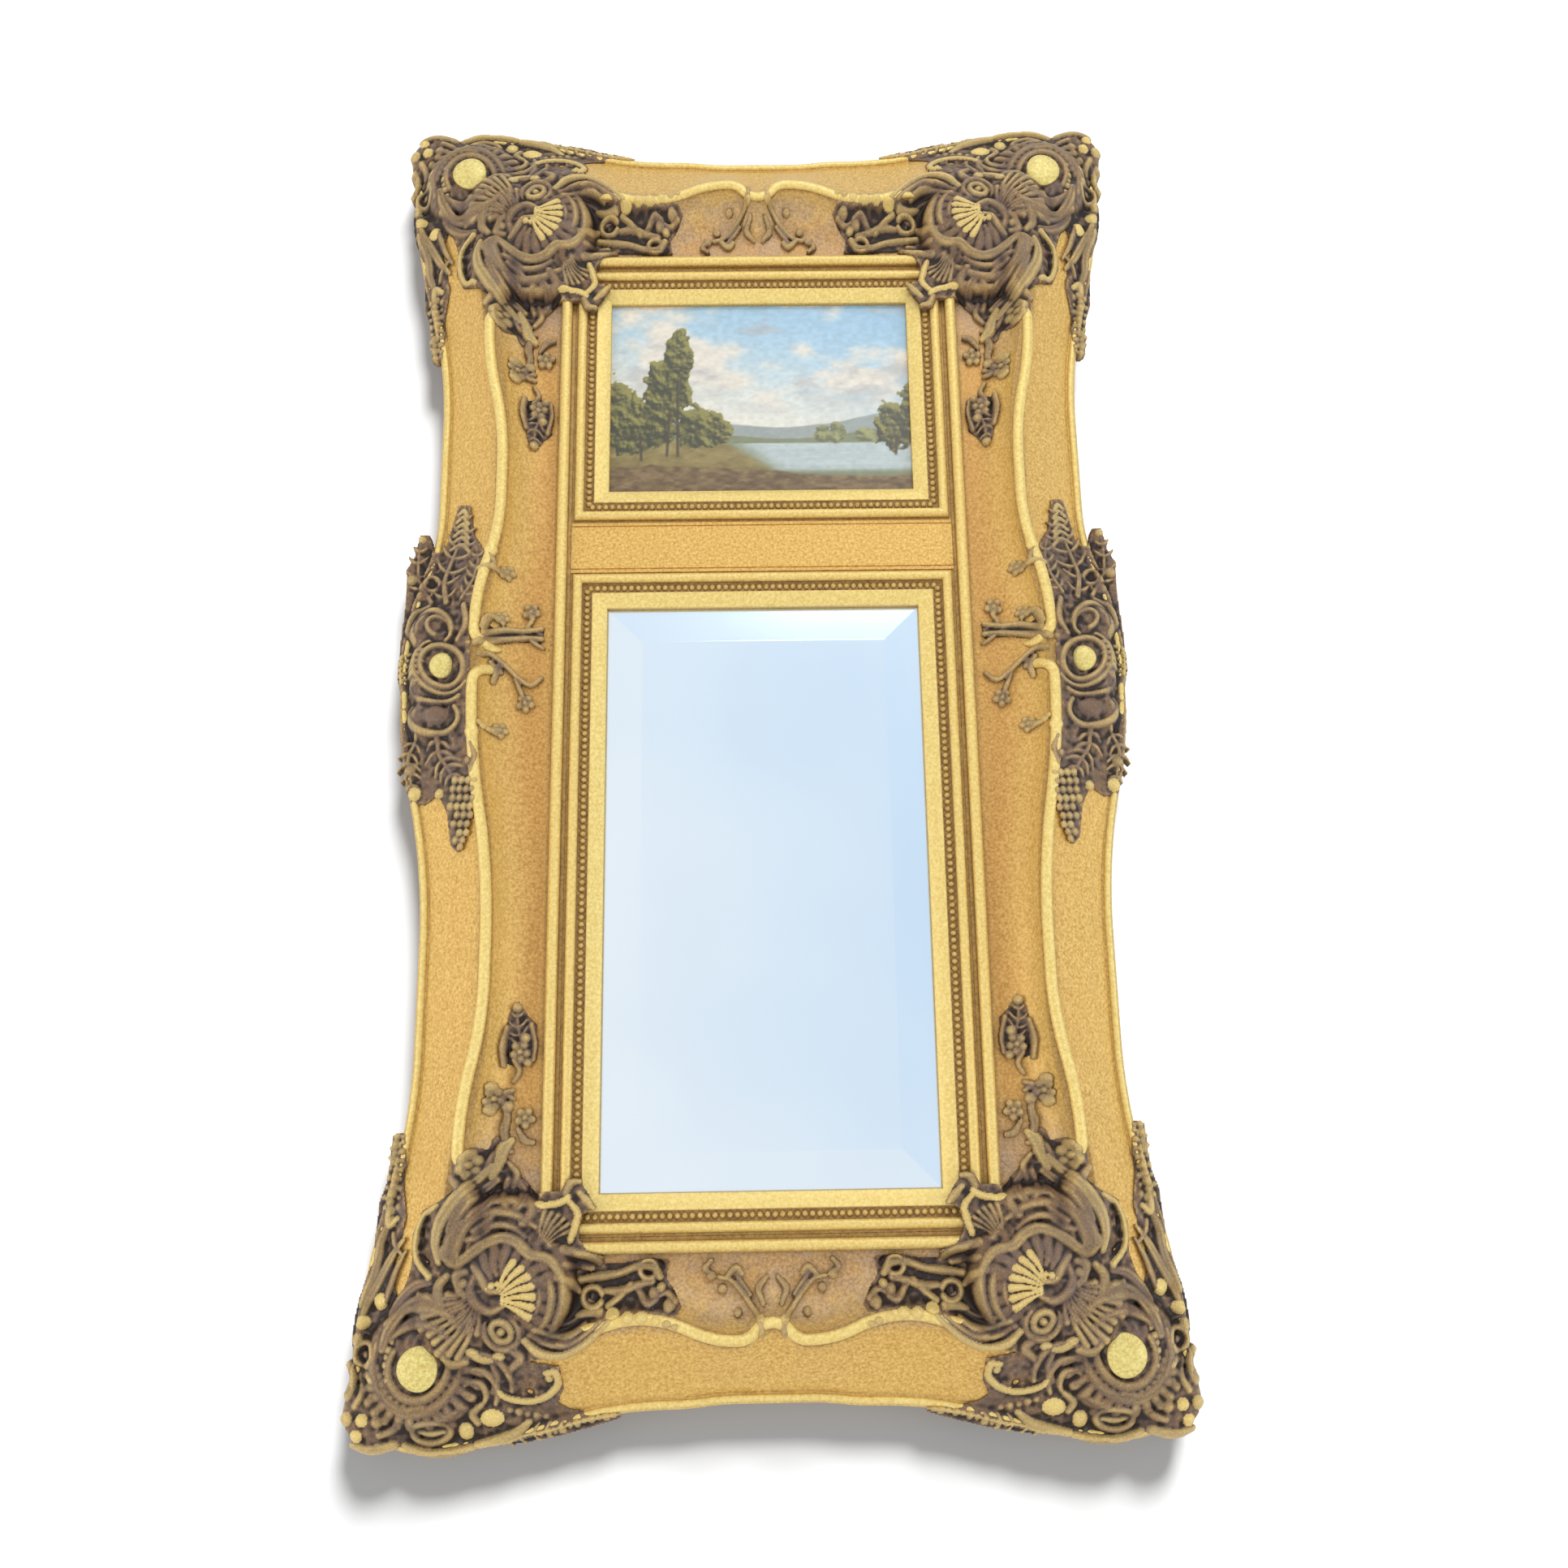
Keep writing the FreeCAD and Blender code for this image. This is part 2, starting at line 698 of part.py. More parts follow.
def slip_frame(name, foot, height):
    """The four mitred lengths round one opening."""
    middle = foot + height / 2
    slip(name + "_slip_bottom", "bottom", S.sight_width, ZERO, foot)
    slip(name + "_slip_top", "top", S.sight_width, ZERO, foot + height)
    slip(name + "_slip_left", "left", height, -half_sight, middle)
    slip(name + "_slip_right", "right", height, half_sight, middle)


painting_foot_z = sight_foot_z + painting_foot
slip_frame("mirror", sight_foot_z, S.mirror_sight)
slip_frame("painting", painting_foot_z, S.painting_sight)


# ---------------------------------------------------------------- frieze rail
def frieze_rail():
    """The flat rail between the openings, rabbeted over the slips and under the stiles."""
    body = new_body("frieze_rail")
    half = S.frieze_gap / 2 - S.slip_width
    core = half - S.tongue
    groove = half - S.line_inset
    floor = S.frieze_front - S.line_width
    section = polygon(
        [
            (-core, S.slip_back),
            (core, S.slip_back),
            (core, S.tongue_top),
            (half, S.tongue_top),
            (half, S.frieze_front),
            (groove, S.frieze_front),
            (groove, floor),
            (groove - S.line_width, floor),
            (groove - S.line_width, S.frieze_front),
            (S.line_width - groove, S.frieze_front),
            (S.line_width - groove, floor),
            (-groove, floor),
            (-groove, S.frieze_front),
            (-half, S.frieze_front),
            (-half, S.tongue_top),
            (-core, S.tongue_top),
        ]
    )
    profile = draw(body, "frieze_section", "YZ_Plane", ZERO, section)
    reach = half_sight + S.slip_width
    pad(body, "frieze_length", profile, 2 * (reach + S.tongue), middle=True)
    for name, way in (("near", -1), ("far", 1)):
        notch = polygon(
            [
                (way * reach, S.tongue_top),
                (way * (reach + S.tongue + 1), S.tongue_top),
                (way * (reach + S.tongue + 1), S.frieze_front + 1),
                (way * reach, S.frieze_front + 1),
            ]
        )
        cut_through(
            body,
            f"frieze_{name}_shoulder",
            draw(body, f"frieze_{name}_notch", "XZ_Plane", ZERO, notch),
        )
    place(body, "top", ZERO, sight_foot_z + S.mirror_sight + S.frieze_gap / 2)
    return body


frieze_rail()


# ---------------------------------------------------------------- glass, painting and boards
def rectangle(half_width, half_height):
    return polygon(
        [
            (-half_width, -half_height),
            (half_width, -half_height),
            (half_width, half_height),
            (-half_width, half_height),
        ]
    )


def flat_panel(label, height, foot, back, thickness):
    """A rectangular panel that fills a slip's rabbet, with its back at the given depth."""
    body = new_body(label)
    grow = S.rabbet - S.panel_play
    half_width = half_sight + grow
    half_height = height / 2 + grow
    outline = draw(body, label + "_outline", "XY_Plane", back, rectangle(half_width, half_height))
    pad(body, label + "_sheet", outline, thickness)
    place(body, "top", ZERO, foot + height / 2)
    return body, half_width, half_height


glass_back = S.lip_back - S.glass_seat - S.glass_edge
mirror_glass, glass_half_width, glass_half_height = flat_panel(
    "mirror_glass", S.mirror_sight, sight_foot_z, glass_back, S.glass_edge
)
bevel_foot = draw(
    mirror_glass,
    "bevel_foot",
    "XY_Plane",
    glass_back + S.glass_edge,
    rectangle(glass_half_width, glass_half_height),
)
bevel_top = draw(
    mirror_glass,
    "bevel_top",
    "XY_Plane",
    glass_back + S.glass_edge + S.bevel_rise,
    rectangle(glass_half_width - S.bevel_width, glass_half_height - S.bevel_width),
)
loft(mirror_glass, "Additive", "bevel", [bevel_foot, bevel_top], True)
flat_panel("mirror_backing_board", S.mirror_sight, sight_foot_z, glass_back - S.board, S.board)
painting_back = S.lip_back - S.board
flat_panel("painting_panel", S.painting_sight, painting_foot_z, painting_back, S.board)
flat_panel(
    "painting_backing_board",
    S.painting_sight,
    painting_foot_z,
    painting_back - S.board,
    S.board,
)


# ---------------------------------------------------------------- groups of fasteners
def pattern_body(label, section, lift, thickness):
    """One fastener, drawn flat and padded; it serves as the pattern for a group."""
    body = new_body(label)
    pad(body, label + "_pad", draw(body, label + "_outline", "XY_Plane", lift, section), thickness)
    return body


def group(label, pattern, places):
    """Separate copies of a fastener at (side, x, z, u, w, d), in one node."""
    copies = []
    for side, x, z, u, w, d in places:
        turn = SIDES[side]
        base = Vector(x.value, -S.standoff.value, z.value)
        spot = base + turn.multVec(Vector(u, w, d))
        copies.append(pattern.Shape.transformed(Placement(spot, turn).toMatrix()))
    node = doc.addObject("Part::Feature", label)
    node.Label = label
    node.Shape = Part.makeCompound(copies)
    return node


half_point = S.point_width / 2
point_nose = S.point_length - S.point_bite
point = pattern_body(
    "framers_point",
    polygon(
        [
            (-half_point, -point_nose),
            (half_point, -point_nose),
            (half_point, ZERO),
            (ZERO, S.point_bite),
            (-half_point, ZERO),
        ]
    ),
    -S.point_gauge,
    S.point_gauge,
)
v_nail = pattern_body(
    "v_nail",
    polygon(
        [
            (ZERO, ZERO),
            (ZERO, S.nail_leg),
            (-S.nail_gauge, S.nail_leg),
            (-S.nail_gauge, -S.nail_gauge),
            (S.nail_leg, -S.nail_gauge),
            (S.nail_leg, ZERO),
        ]
    ),
    ZERO,
    S.nail_depth,
)
doc.recompute()


def along(length, count):
    """Evenly spaced places on a length, from its middle."""
    pitch = length.value / count
    return [pitch * (i + 0.5) - length.value / 2 for i in range(count)]


def rim_places(foot, height, w, d, across, upright):
    """Places for points round an opening: across on each rail and upright on each stile."""
    middle = foot + height / 2
    places = []
    for u in along(S.sight_width, across):
        places.append(("bottom", ZERO, foot, u, w.value, d.value))
        places.append(("top", ZERO, foot + height, u, w.value, d.value))
    for u in along(height, upright):
        places.append(("left", -half_sight, middle, u, w.value, d.value))
        places.append(("right", half_sight, middle, u, w.value, d.value))
    return places


group(
    "mirror_points", point, rim_places(sight_foot_z, S.mirror_sight, S.rabbet, glass_back - S.board, 2, 3)
)
group(
    "painting_points",
    point,
    rim_places(painting_foot_z, S.painting_sight, S.rabbet, painting_back - S.board, 2, 1),
)
group("slip_points", point, rim_places(sight_foot_z, stile_sight, outer_rabbet, S.slip_back, 2, 4))
corner_places = [
    ("bottom", -half_sight, sight_foot_z),
    ("right", half_sight, sight_foot_z),
    ("top", half_sight, top_z),
    ("left", -half_sight, top_z),
]
group(
    "mitre_v_nails",
    v_nail,
    [
        (side, x, z, reach.value, reach.value, 0.0)
        for side, x, z in corner_places
        for reach in (S.nail_inner, S.nail_outer)
    ],
)


# ---------------------------------------------------------------- hangers, screws and bumpers
def strap(label, x):
    """A hanger strap with the rolled eye that holds the ring's pin; drawn from behind."""
    body = new_body(label)
    eye = pin_back
    plate_front = ZERO
    outline = [
        (ZERO, plate_front, None),
        (-S.strap_length, plate_front, None),
        (-S.strap_length, S.strap_gauge, None),
        (-eye, S.strap_gauge, None),
        (-eye, eye, (eye, -1)),
        (ZERO, 2 * eye, (eye, -1)),
        (eye, eye, (eye, -1)),
    ]
    profile = draw(body, label + "_side", "YZ_Plane", ZERO, outline)
    pad(body, label + "_strip", profile, S.strap_width, middle=True)
    bore = circle_sketch(
        body, label + "_bore", "YZ_Plane", ZERO, ZERO, eye, S.pin_radius + S.pin_play
    )
    cut_through(body, label + "_eye", bore)
    for number in (0, 1):
        hole = circle_sketch(
            body,
            f"{label}_hole_{number}",
            "XY_Plane",
            ZERO,
            ZERO,
            -(S.screw_first + number * S.screw_pitch),
            S.screw_radius,
        )
        cut_through(body, f"{label}_drill_{number}", hole)
    body.Placement = Placement(Vector(0, 0, 0), BACKWARD)
    body.setExpression("Placement.Base.x", x.text)
    body.setExpression("Placement.Base.y", (-S.standoff).text)
    return body


def ring(label, x):
    """A D-ring bent from wire; it hangs from its pin, which turns in the strap's eye."""
    body = new_body(label)
    bow = S.ring_half
    low = -S.ring_leg
    corner = S.ring_corner
    bends = 6
    path = [(ZERO, ZERO), (bow - corner, ZERO), (bow, -corner)]
    for i in range(bends + 1):
        angle = math.pi * i / bends
        path.append((bow * math.cos(angle), low - bow * math.sin(angle)))
    path += [(-bow, -corner), (corner - bow, ZERO)]
    spine = draw(body, label + "_path", "XY_Plane", pin_back, polygon(path))
    sides = 6
    wire = []
    for i in range(sides):
        angle = (i + 0.5) * 2 * math.pi / sides
        wire.append(
            (S.pin_radius * math.cos(angle), pin_back + S.pin_radius * math.sin(angle))
        )
    section = draw(body, label + "_wire", "YZ_Plane", ZERO, polygon(wire))
    pipe = body.newObject("PartDesign::AdditivePipe", label + "_bend")
    pipe.Profile = section
    pipe.Spine = spine
    pipe.Transition = "Right corner"
    body.Placement = Placement(Vector(0, 0, 0), BACKWARD)
    body.setExpression("Placement.Base.x", x.text)
    body.setExpression("Placement.Base.y", (-S.standoff).text)
    return body


# On the back, local +Y is up and local +Z points at the wall.
BACKWARD = Rotation(Vector(-1, 0, 0), Vector(0, 0, 1), Vector(0, 1, 0), "ZXY")
hanger_x = half_sight + S.hanger_reach
left_strap = strap("hanger_strap", -hanger_x)
for hand, way in (("left", -1), ("right", 1)):
    ring(hand + "_hanger_ring", way * hanger_x)
doc.recompute()
family("hanger_straps", [left_strap.Shape] + across([left_strap.Shape]))


def octagon(radius):
    """The corners of an eight-sided shank or head, within a circle of the given radius."""
    turns = [(i + 0.5) * math.pi / 4 for i in range(8)]
    return polygon([(radius * math.cos(turn), radius * math.sin(turn)) for turn in turns])


def screw_pattern():
    """A wood screw in flats: a pan head on a plain shank."""
    body = new_body("screw")
    shank = draw(body, "screw_shank", "XY_Plane", -S.screw_length, octagon(S.screw_radius))
    pad(body, "screw_length", shank, S.screw_length + S.strap_gauge)
    head = draw(body, "screw_head", "XY_Plane", S.strap_gauge, octagon(S.head_radius))
    pad(body, "screw_head_height", head, S.head_height)
    return body


def bumper_pattern():
    """A round rubber bumper, chamfered where it meets the wall."""
    body = new_body("bumper")
    foot = circle_sketch(body, "bumper_foot", "XY_Plane", ZERO, ZERO, ZERO, S.bumper_radius)
    pad(body, "bumper_pad", foot, S.standoff)
    return body


screw = screw_pattern()
bumper = bumper_pattern()
doc.recompute()


def back_group(label, pattern, spots):
    """Separate copies of a pattern on the back face, at (x, z)."""
    copies = []
    for x, z in spots:
        spot = Placement(Vector(x.value, -S.standoff.value, z.value), BACKWARD)
        copies.append(pattern.Shape.transformed(spot.toMatrix()))
    node = doc.addObject("Part::Feature", label)
    node.Label = label
    node.Shape = Part.makeCompound(copies)
    return node


back_group(
    "hanger_screws",
    screw,
    [
        (way * hanger_x, -(S.screw_first + number * S.screw_pitch))
        for way in (-1, 1)
        for number in (0, 1)
    ],
)
bumper_x = half_sight + S.bumper_inset
back_group(
    "wall_bumpers",
    bumper,
    [(way * bumper_x, sight_foot_z - S.bumper_inset) for way in (-1, 1)],
)


# ---------------------------------------------------------------- cast ornament
# Every casting is built in flats. One of each is set in its place at the lower left and shaped
# underneath to what carries it.
def ring_of(points, level):
    """A closed wire of straight edges at one level."""
    corners = [Vector(x, y, level) for x, y in points]
    return Part.makePolygon([*corners, corners[0]])


def about(points, centre, scale):
    """The points drawn towards a centre by a scale."""
    x, y = centre
    return [(x + scale * (px - x), y + scale * (py - y)) for px, py in points]


def star(centre, count, radius, inner):
    """2 * count corners round a centre that alternate between two radii."""
    x, y = centre
    corners = []
    for i in range(2 * count):
        reach = radius if i % 2 else inner
        angle = math.pi * i / count
        corners.append((x + reach * math.cos(angle), y + reach * math.sin(angle)))
    return corners


def facets(first, second, third, fourth):
    """One flat face through four corners, or two triangles where they do not lie in a plane."""
    normal = (second - first).cross(third - first)
    if abs(normal.dot(fourth - first)) < 1e-6 * normal.Length:
        loops = [(first, second, third, fourth)]
    else:
        loops = [(first, second, third), (first, third, fourth)]
    return [Part.Face(Part.makePolygon([*loop, loop[0]])) for loop in loops]


def stack(*rings):
    """A solid in flats through rings of equally many corners, each (points, level)."""
    levels = [[Vector(x, y, level) for x, y in points] for points, level in rings]
    faces = [Part.Face(ring_of(*rings[0])), Part.Face(ring_of(*rings[-1]))]
    count = len(levels[0])
    for low, high in zip(levels, levels[1:]):
        for i in range(count):
            j = (i + 1) % count
            faces += facets(low[i], low[j], high[j], high[i])
    solid = Part.Solid(Part.Shell(faces))
    if solid.Volume < 0:
        solid.reverse()
    return solid


def seated(raw, side, x, z, neighbours):
    """A casting set in its place and shaped underneath to what carries it."""
    spot = Placement(Vector(x.value, -S.standoff.value, z.value), SIDES[side])
    shape = raw.transformed(spot.toMatrix())
    if neighbours:
        shape = shape.cut([item.Shape for item in neighbours])
    return [solid for solid in shape.Solids if solid.Volume > 1.0]


def shell_form():
    """A fluted shell: a pleated cone of three star rings, from the moulding to the crown."""
    centre = (S.shell_reach.value, S.shell_reach.value)
    lip = S.shell_radius.value
    count = int(round(S.shell_flutes.value))
    front = S.shell_front.value
    brow = S.shoulder.value - 0.2 * (front - S.shoulder.value)
    return stack(
        (star(centre, count, lip, 0.88 * lip), S.cove_floor.value),
        (star(centre, count, lip, 0.88 * lip), brow),
        (star(centre, count, 0.3 * lip, 0.264 * lip), front),
    )


def corner_outline():
    """Outline of a corner cartouche, mirrored across the mitre: tips, outer edge, inner edge."""
    reach = S.corner_reach.value + S.overhang.value
    edge = S.rail_reach.value + 3
    inner = S.cabochon_reach.value
    outer = [
        (-48, edge),
        (-12, edge + 6),
        (30, reach - 14),
        (70, reach - 4),
        (104, reach - 1),
        (132, reach - 8),
        (150, reach - 18),
    ]
    inside = [
        (inner - 34, inner - 34),
        (inner - 54, inner - 6),
        (inner - 86, inner + 2),
        (inner - 126, inner + 14),
    ]
    forward = outer + [(y, x) for x, y in reversed(outer)]
    return forward + [(y, x) for x, y in reversed(inside)] + inside[1:]


def mound_form(points, relief, crown, boss, boss_radius, boss_front):
    """A cast mound with a low rim that rises to a crown, and a round boss for the cabochon."""
    edge = S.edge_depth.value
    crown_point, crown_scale, crown_front = crown
    mound = stack(
        (points, edge - 2),
        (points, edge + relief),
        (about(points, crown_point, crown_scale), crown_front),
    )
    disc = star(boss, 8, boss_radius, boss_radius)
    wide = star(boss, 8, 1.4 * boss_radius, 1.4 * boss_radius)
    return mound.fuse(stack((wide, edge), (disc, boss_front)))


def cabochon_form(centre, half_u, half_w, foot):
    """A low oval cabochon in sixteen flats."""
    x, y = centre
    turns = [math.pi * i / 8 for i in range(16)]
    rings = []
    for scale, rise in ((1.0, 0.0), (0.85, 0.6), (0.45, 1.0)):
        points = [
            (x + scale * half_u * math.cos(turn), y + scale * half_w * math.sin(turn))
            for turn in turns
        ]
        rings.append((points, foot + rise * S.cabochon_rise.value))
    return stack(*rings)


def side_outline():
    """Outline of a side cartouche, as (rise from its middle, w), from the lower tip round."""
    top = S.bulge_reach.value + S.overhang.value
    low = S.rib_bulge.value
    outer = [(-145, low + 8), (-110, low + 30), (-62, top - 10), (-24, top - 1)]
    inner = [(-112, low - 1), (-60, low + 2), (-24, low + 4)]
    rising = outer + [(-rise, w) for rise, w in reversed(outer)]
    return rising + [(-rise, w) for rise, w in inner] + [(rise, w) for rise, w in reversed(inner)]


def sprig_form(middle):
    """The twig that leaves the gap between two ribs and branches in the cove."""
    foot = S.cove_floor.value - 1
    gap = S.rib_pause.value
    reach = S.rib_bulge.value
    low = S.cove_start.value + 3
    branch = [
        (3 - gap, reach - 17),
        (-17, low + 22),
        (-31, low + 13),
        (-24, low + 1),
        (-11, low + 8),
        (0, low),
        (11, low + 8),
        (24, low + 1),
        (31, low + 13),
        (17, low + 22),
        (gap - 3, reach - 17),
    ]
    spread = [(middle + rise, w) for rise, w in branch]
    twig = stack((spread, foot), (spread, S.drop_front.value))
    stem = Part.makeBox(
        2 * gap - 6, 30, S.shoulder.value + 6 - foot, Vector(middle - gap + 3, reach - 20, foot)
    )
    return twig.fuse(stem)


def drop_form(start, end, middle):
    """A pendant of leaves and florets that narrows from its start to its end, along u."""
    foot = S.cove_floor.value - 1
    top = S.drop_front.value
    half = S.drop_width.value / 2
    shares = ((0.0, 0.5), (0.14, 1.0), (0.4, 0.6), (0.58, 0.85), (1.0, 0.3))
    rings = []
    for level, width, trim in ((foot, 1.0, 0.0), (top - 6, 0.9, 0.0), (top, 0.45, 0.04)):
        near = [
            (start + (trim + (1 - 2 * trim) * share) * (end - start), width * half * part)
            for share, part in shares
        ]
        points = [(u, middle + part) for u, part in near]
        points += [(u, middle - part) for u, part in reversed(near)]
        rings.append((points, level))
    return stack(*rings)


def bracket_form():
    """The small bracket that lies on the inner ridge and covers a mitre of the slips."""
    near = S.slope_width.value
    far = S.cove_start.value + 1
    wing = 20.0
    outline = [
        (near, near),
        (near + wing, near - 3),
        (near + wing - 4, near + 8),
        (far, far - 14),
        (far - 2, far - 2),
        (far - 14, far),
        (near + 8, near + wing - 4),
        (near - 3, near + wing),
    ]
    foot = S.ridge_spring.value + S.ridge_width.value / 2
    return stack((outline, foot), (about(outline, (far - 8, far - 8), 0.9), foot + 4))


corner = ("bottom", -half_sight, sight_foot_z)
carriers = [left_stile, bottom_rail]
shell_point = S.shell_reach.value
cabochon_point = (S.cabochon_reach.value, S.cabochon_reach.value)

shell = seated(shell_form(), *corner, carriers)
shells = family("corner_shells", shell + across(shell) + above(shell + across(shell)))

mound = mound_form(
    corner_outline(),
    S.relief.value,
    ((shell_point + 30, shell_point + 30), 0.4, S.boss_front.value - 1),
    cabochon_point,
    S.corner_cabochon.value + 6,
    S.boss_front.value,
)
cartouche = seated(mound, *corner, [*carriers, stile_ribs, rail_ribs, shells])
family("corner_cartouches", cartouche + across(cartouche) + above(cartouche + across(cartouche)))

radius = S.corner_cabochon.value
cabochon = seated(cabochon_form(cabochon_point, radius, radius, S.boss_front.value), *corner, [])
family("corner_cabochons", cabochon + across(cabochon) + above(cabochon + across(cabochon)))

bracket = seated(bracket_form(), *corner, [shells])
family("mitre_brackets", bracket + across(bracket) + above(bracket + across(bracket)))

stile = ("left", -half_sight, sight_foot_z)
middle = bulge_height.value - 12
side_reach = S.side_cabochon_reach.value
side_mound = mound_form(
    [(middle + rise, w) for rise, w in side_outline()],
    S.relief.value,
    ((middle, side_reach - 8), 0.35, S.side_boss_front.value - 1),
    (middle, side_reach),
    S.side_cabochon_long.value + 4,
    S.side_boss_front.value,
)
side_cartouche = seated(side_mound, *stile, [left_stile, stile_ribs])
side_mounds = family("side_cartouches", side_cartouche + across(side_cartouche))
sprig = seated(sprig_form(bulge_height.value), *stile, [left_stile, stile_ribs, side_mounds])
family("side_sprigs", sprig + across(sprig))
side_oval = cabochon_form(
    (middle, side_reach),
    S.side_cabochon_long.value,
    S.side_cabochon_wide.value,
    S.side_boss_front.value,
)
oval = seated(side_oval, *stile, [])
family("side_cabochons", oval + across(oval))

cove_middle = S.cove_start.value + 0.5 * S.drop_width.value + 3
pendant = seated(
    drop_form(26, 26 + S.pendant_length.value, cove_middle), *stile, [left_stile, shells]
)
family("cove_pendants", pendant + across(pendant) + above(pendant + across(pendant)))

rail = ("bottom", ZERO, sight_foot_z)
outer = half_sight.value - 4
outer_spray = seated(
    drop_form(outer, outer - S.spray_length.value, cove_middle), *rail, [bottom_rail, shells]
)
inner_spray = seated(
    drop_form(6, 6 + 0.8 * S.spray_length.value, cove_middle), *rail, [bottom_rail]
)
spray = outer_spray + inner_spray
family("rail_sprays", spray + across(spray) + above(spray + across(spray)))

# ---------------------------------------------------------------- finish: check and write
doc.recompute()
PATTERNS = {"framers_point", "v_nail", "screw", "bumper", "hanger_strap"}
PATTERNS |= {"lower_rib", "upper_rib", "wave_rib"}


def is_piece(item):
    return item.TypeId in ("PartDesign::Body", "Part::Feature") and item.Label not in PATTERNS


faults = [
    f"{item.Label}: {item.State}"
    for item in doc.Objects
    if "Invalid" in item.State or "Error" in item.State
]
pieces = [item for item in doc.Objects if is_piece(item)]
for item in pieces:
    if item.Shape.isNull() or not item.Shape.isValid():
        faults.append(f"{item.Label}: shape is null or not valid")
if faults:
    raise RuntimeError("\n".join(faults))
os.makedirs("parts", exist_ok=True)
for item in pieces:
    item.Shape.exportStep(os.path.join("parts", item.Label + ".step"))
print(len(pieces), "pieces written")
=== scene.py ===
# %% [markdown]
# # Trumeau mirror: a small picture over a bevelled glass, in a swept gilt frame
# The CAD frame gives every part its place. This notebook dresses it: smooth gilded mouldings, cast
# corner shells, side cartouches, bead rows, a small landscape, and the hardware behind. The first
# cell loads the frame and keeps its parts, whose boxes place some of the dressed pieces.

# %% Load the frame
import math

import bpy
import numpy as np
from mathutils import Matrix, Vector


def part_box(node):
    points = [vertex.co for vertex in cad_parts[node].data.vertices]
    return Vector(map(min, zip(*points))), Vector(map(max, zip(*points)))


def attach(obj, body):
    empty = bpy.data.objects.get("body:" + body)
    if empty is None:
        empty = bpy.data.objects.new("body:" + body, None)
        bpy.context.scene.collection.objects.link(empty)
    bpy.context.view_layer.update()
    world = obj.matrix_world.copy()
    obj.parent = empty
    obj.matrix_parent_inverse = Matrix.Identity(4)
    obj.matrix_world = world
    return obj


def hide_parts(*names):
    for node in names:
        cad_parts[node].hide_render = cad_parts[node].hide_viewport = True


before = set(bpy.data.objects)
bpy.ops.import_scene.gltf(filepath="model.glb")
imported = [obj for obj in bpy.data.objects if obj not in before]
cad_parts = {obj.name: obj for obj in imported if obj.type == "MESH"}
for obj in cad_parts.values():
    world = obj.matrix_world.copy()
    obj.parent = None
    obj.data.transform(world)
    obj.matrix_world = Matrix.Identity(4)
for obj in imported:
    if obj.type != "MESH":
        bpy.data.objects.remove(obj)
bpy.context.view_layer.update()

# %% [markdown]
# ## Measures and directions
# A framer measures a moulding outward from the sight edge, where the glass starts to show. Here u
# runs along a member, w is the distance outward from the sight edge, and d is the height above the
# back of the wood. One function turns these into the row's metres for each of the four sides.

# %% Places on the four sides
HALF_SIGHT = 128.0
FOOT, HEAD = -593.0, 150.0
SIGHT_HEIGHT = HEAD - FOOT
STANDOFF = 6.0


def placed(side, u, w, d):
    """Metres from u, w and d in millimetres: y is -(standoff + d), and w runs away from the glass."""
    u, w, d = np.broadcast_arrays(*(np.asarray(v, float) for v in (u, w, d)))
    y = -(STANDOFF + d)
    if side == "left":
        spot = (-(HALF_SIGHT + w), y, FOOT + u)
    elif side == "right":
        spot = (HALF_SIGHT + w, y, FOOT + u)
    elif side == "bottom":
        spot = (u, y, FOOT - w)
    else:
        spot = (u, y, HEAD + w)
    return np.stack(spot, axis=-1) / 1000.0


# %% [markdown]
# ## From whole arrays to meshes
# Every new shape is a grid of points. The faces of a grid are its little squares, and a closed grid
# wraps round in one or both directions. The volume that the faces enclose, summed with its sign,
# tells whether they point outward, and if it is negative all of them are turned.

# %% Grid faces and mesh maker
def grid_faces(rows, cols, wrap_rows=False, wrap_cols=False):
    """Squares of a grid: corner numbers (r, c), (r, c+1), (r+1, c+1), (r+1, c), wrapped if asked."""
    r = np.arange(rows if wrap_rows else rows - 1)
    c = np.arange(cols if wrap_cols else cols - 1)
    r, c = (v.ravel() for v in np.meshgrid(r, c, indexing="ij"))
    r1, c1 = (r + 1) % rows, (c + 1) % cols
    return np.stack([r * cols + c, r * cols + c1, r1 * cols + c1, r1 * cols + c], axis=-1)


def enclosed(points, squares):
    """Signed volume under squares: a sixth of a . (b x c) over the two triangles of each."""
    p = points[squares]
    first = np.einsum("ij,ij->i", p[:, 0], np.cross(p[:, 1], p[:, 2])).sum()
    second = np.einsum("ij,ij->i", p[:, 0], np.cross(p[:, 2], p[:, 3])).sum()
    return (first + second) / 6.0


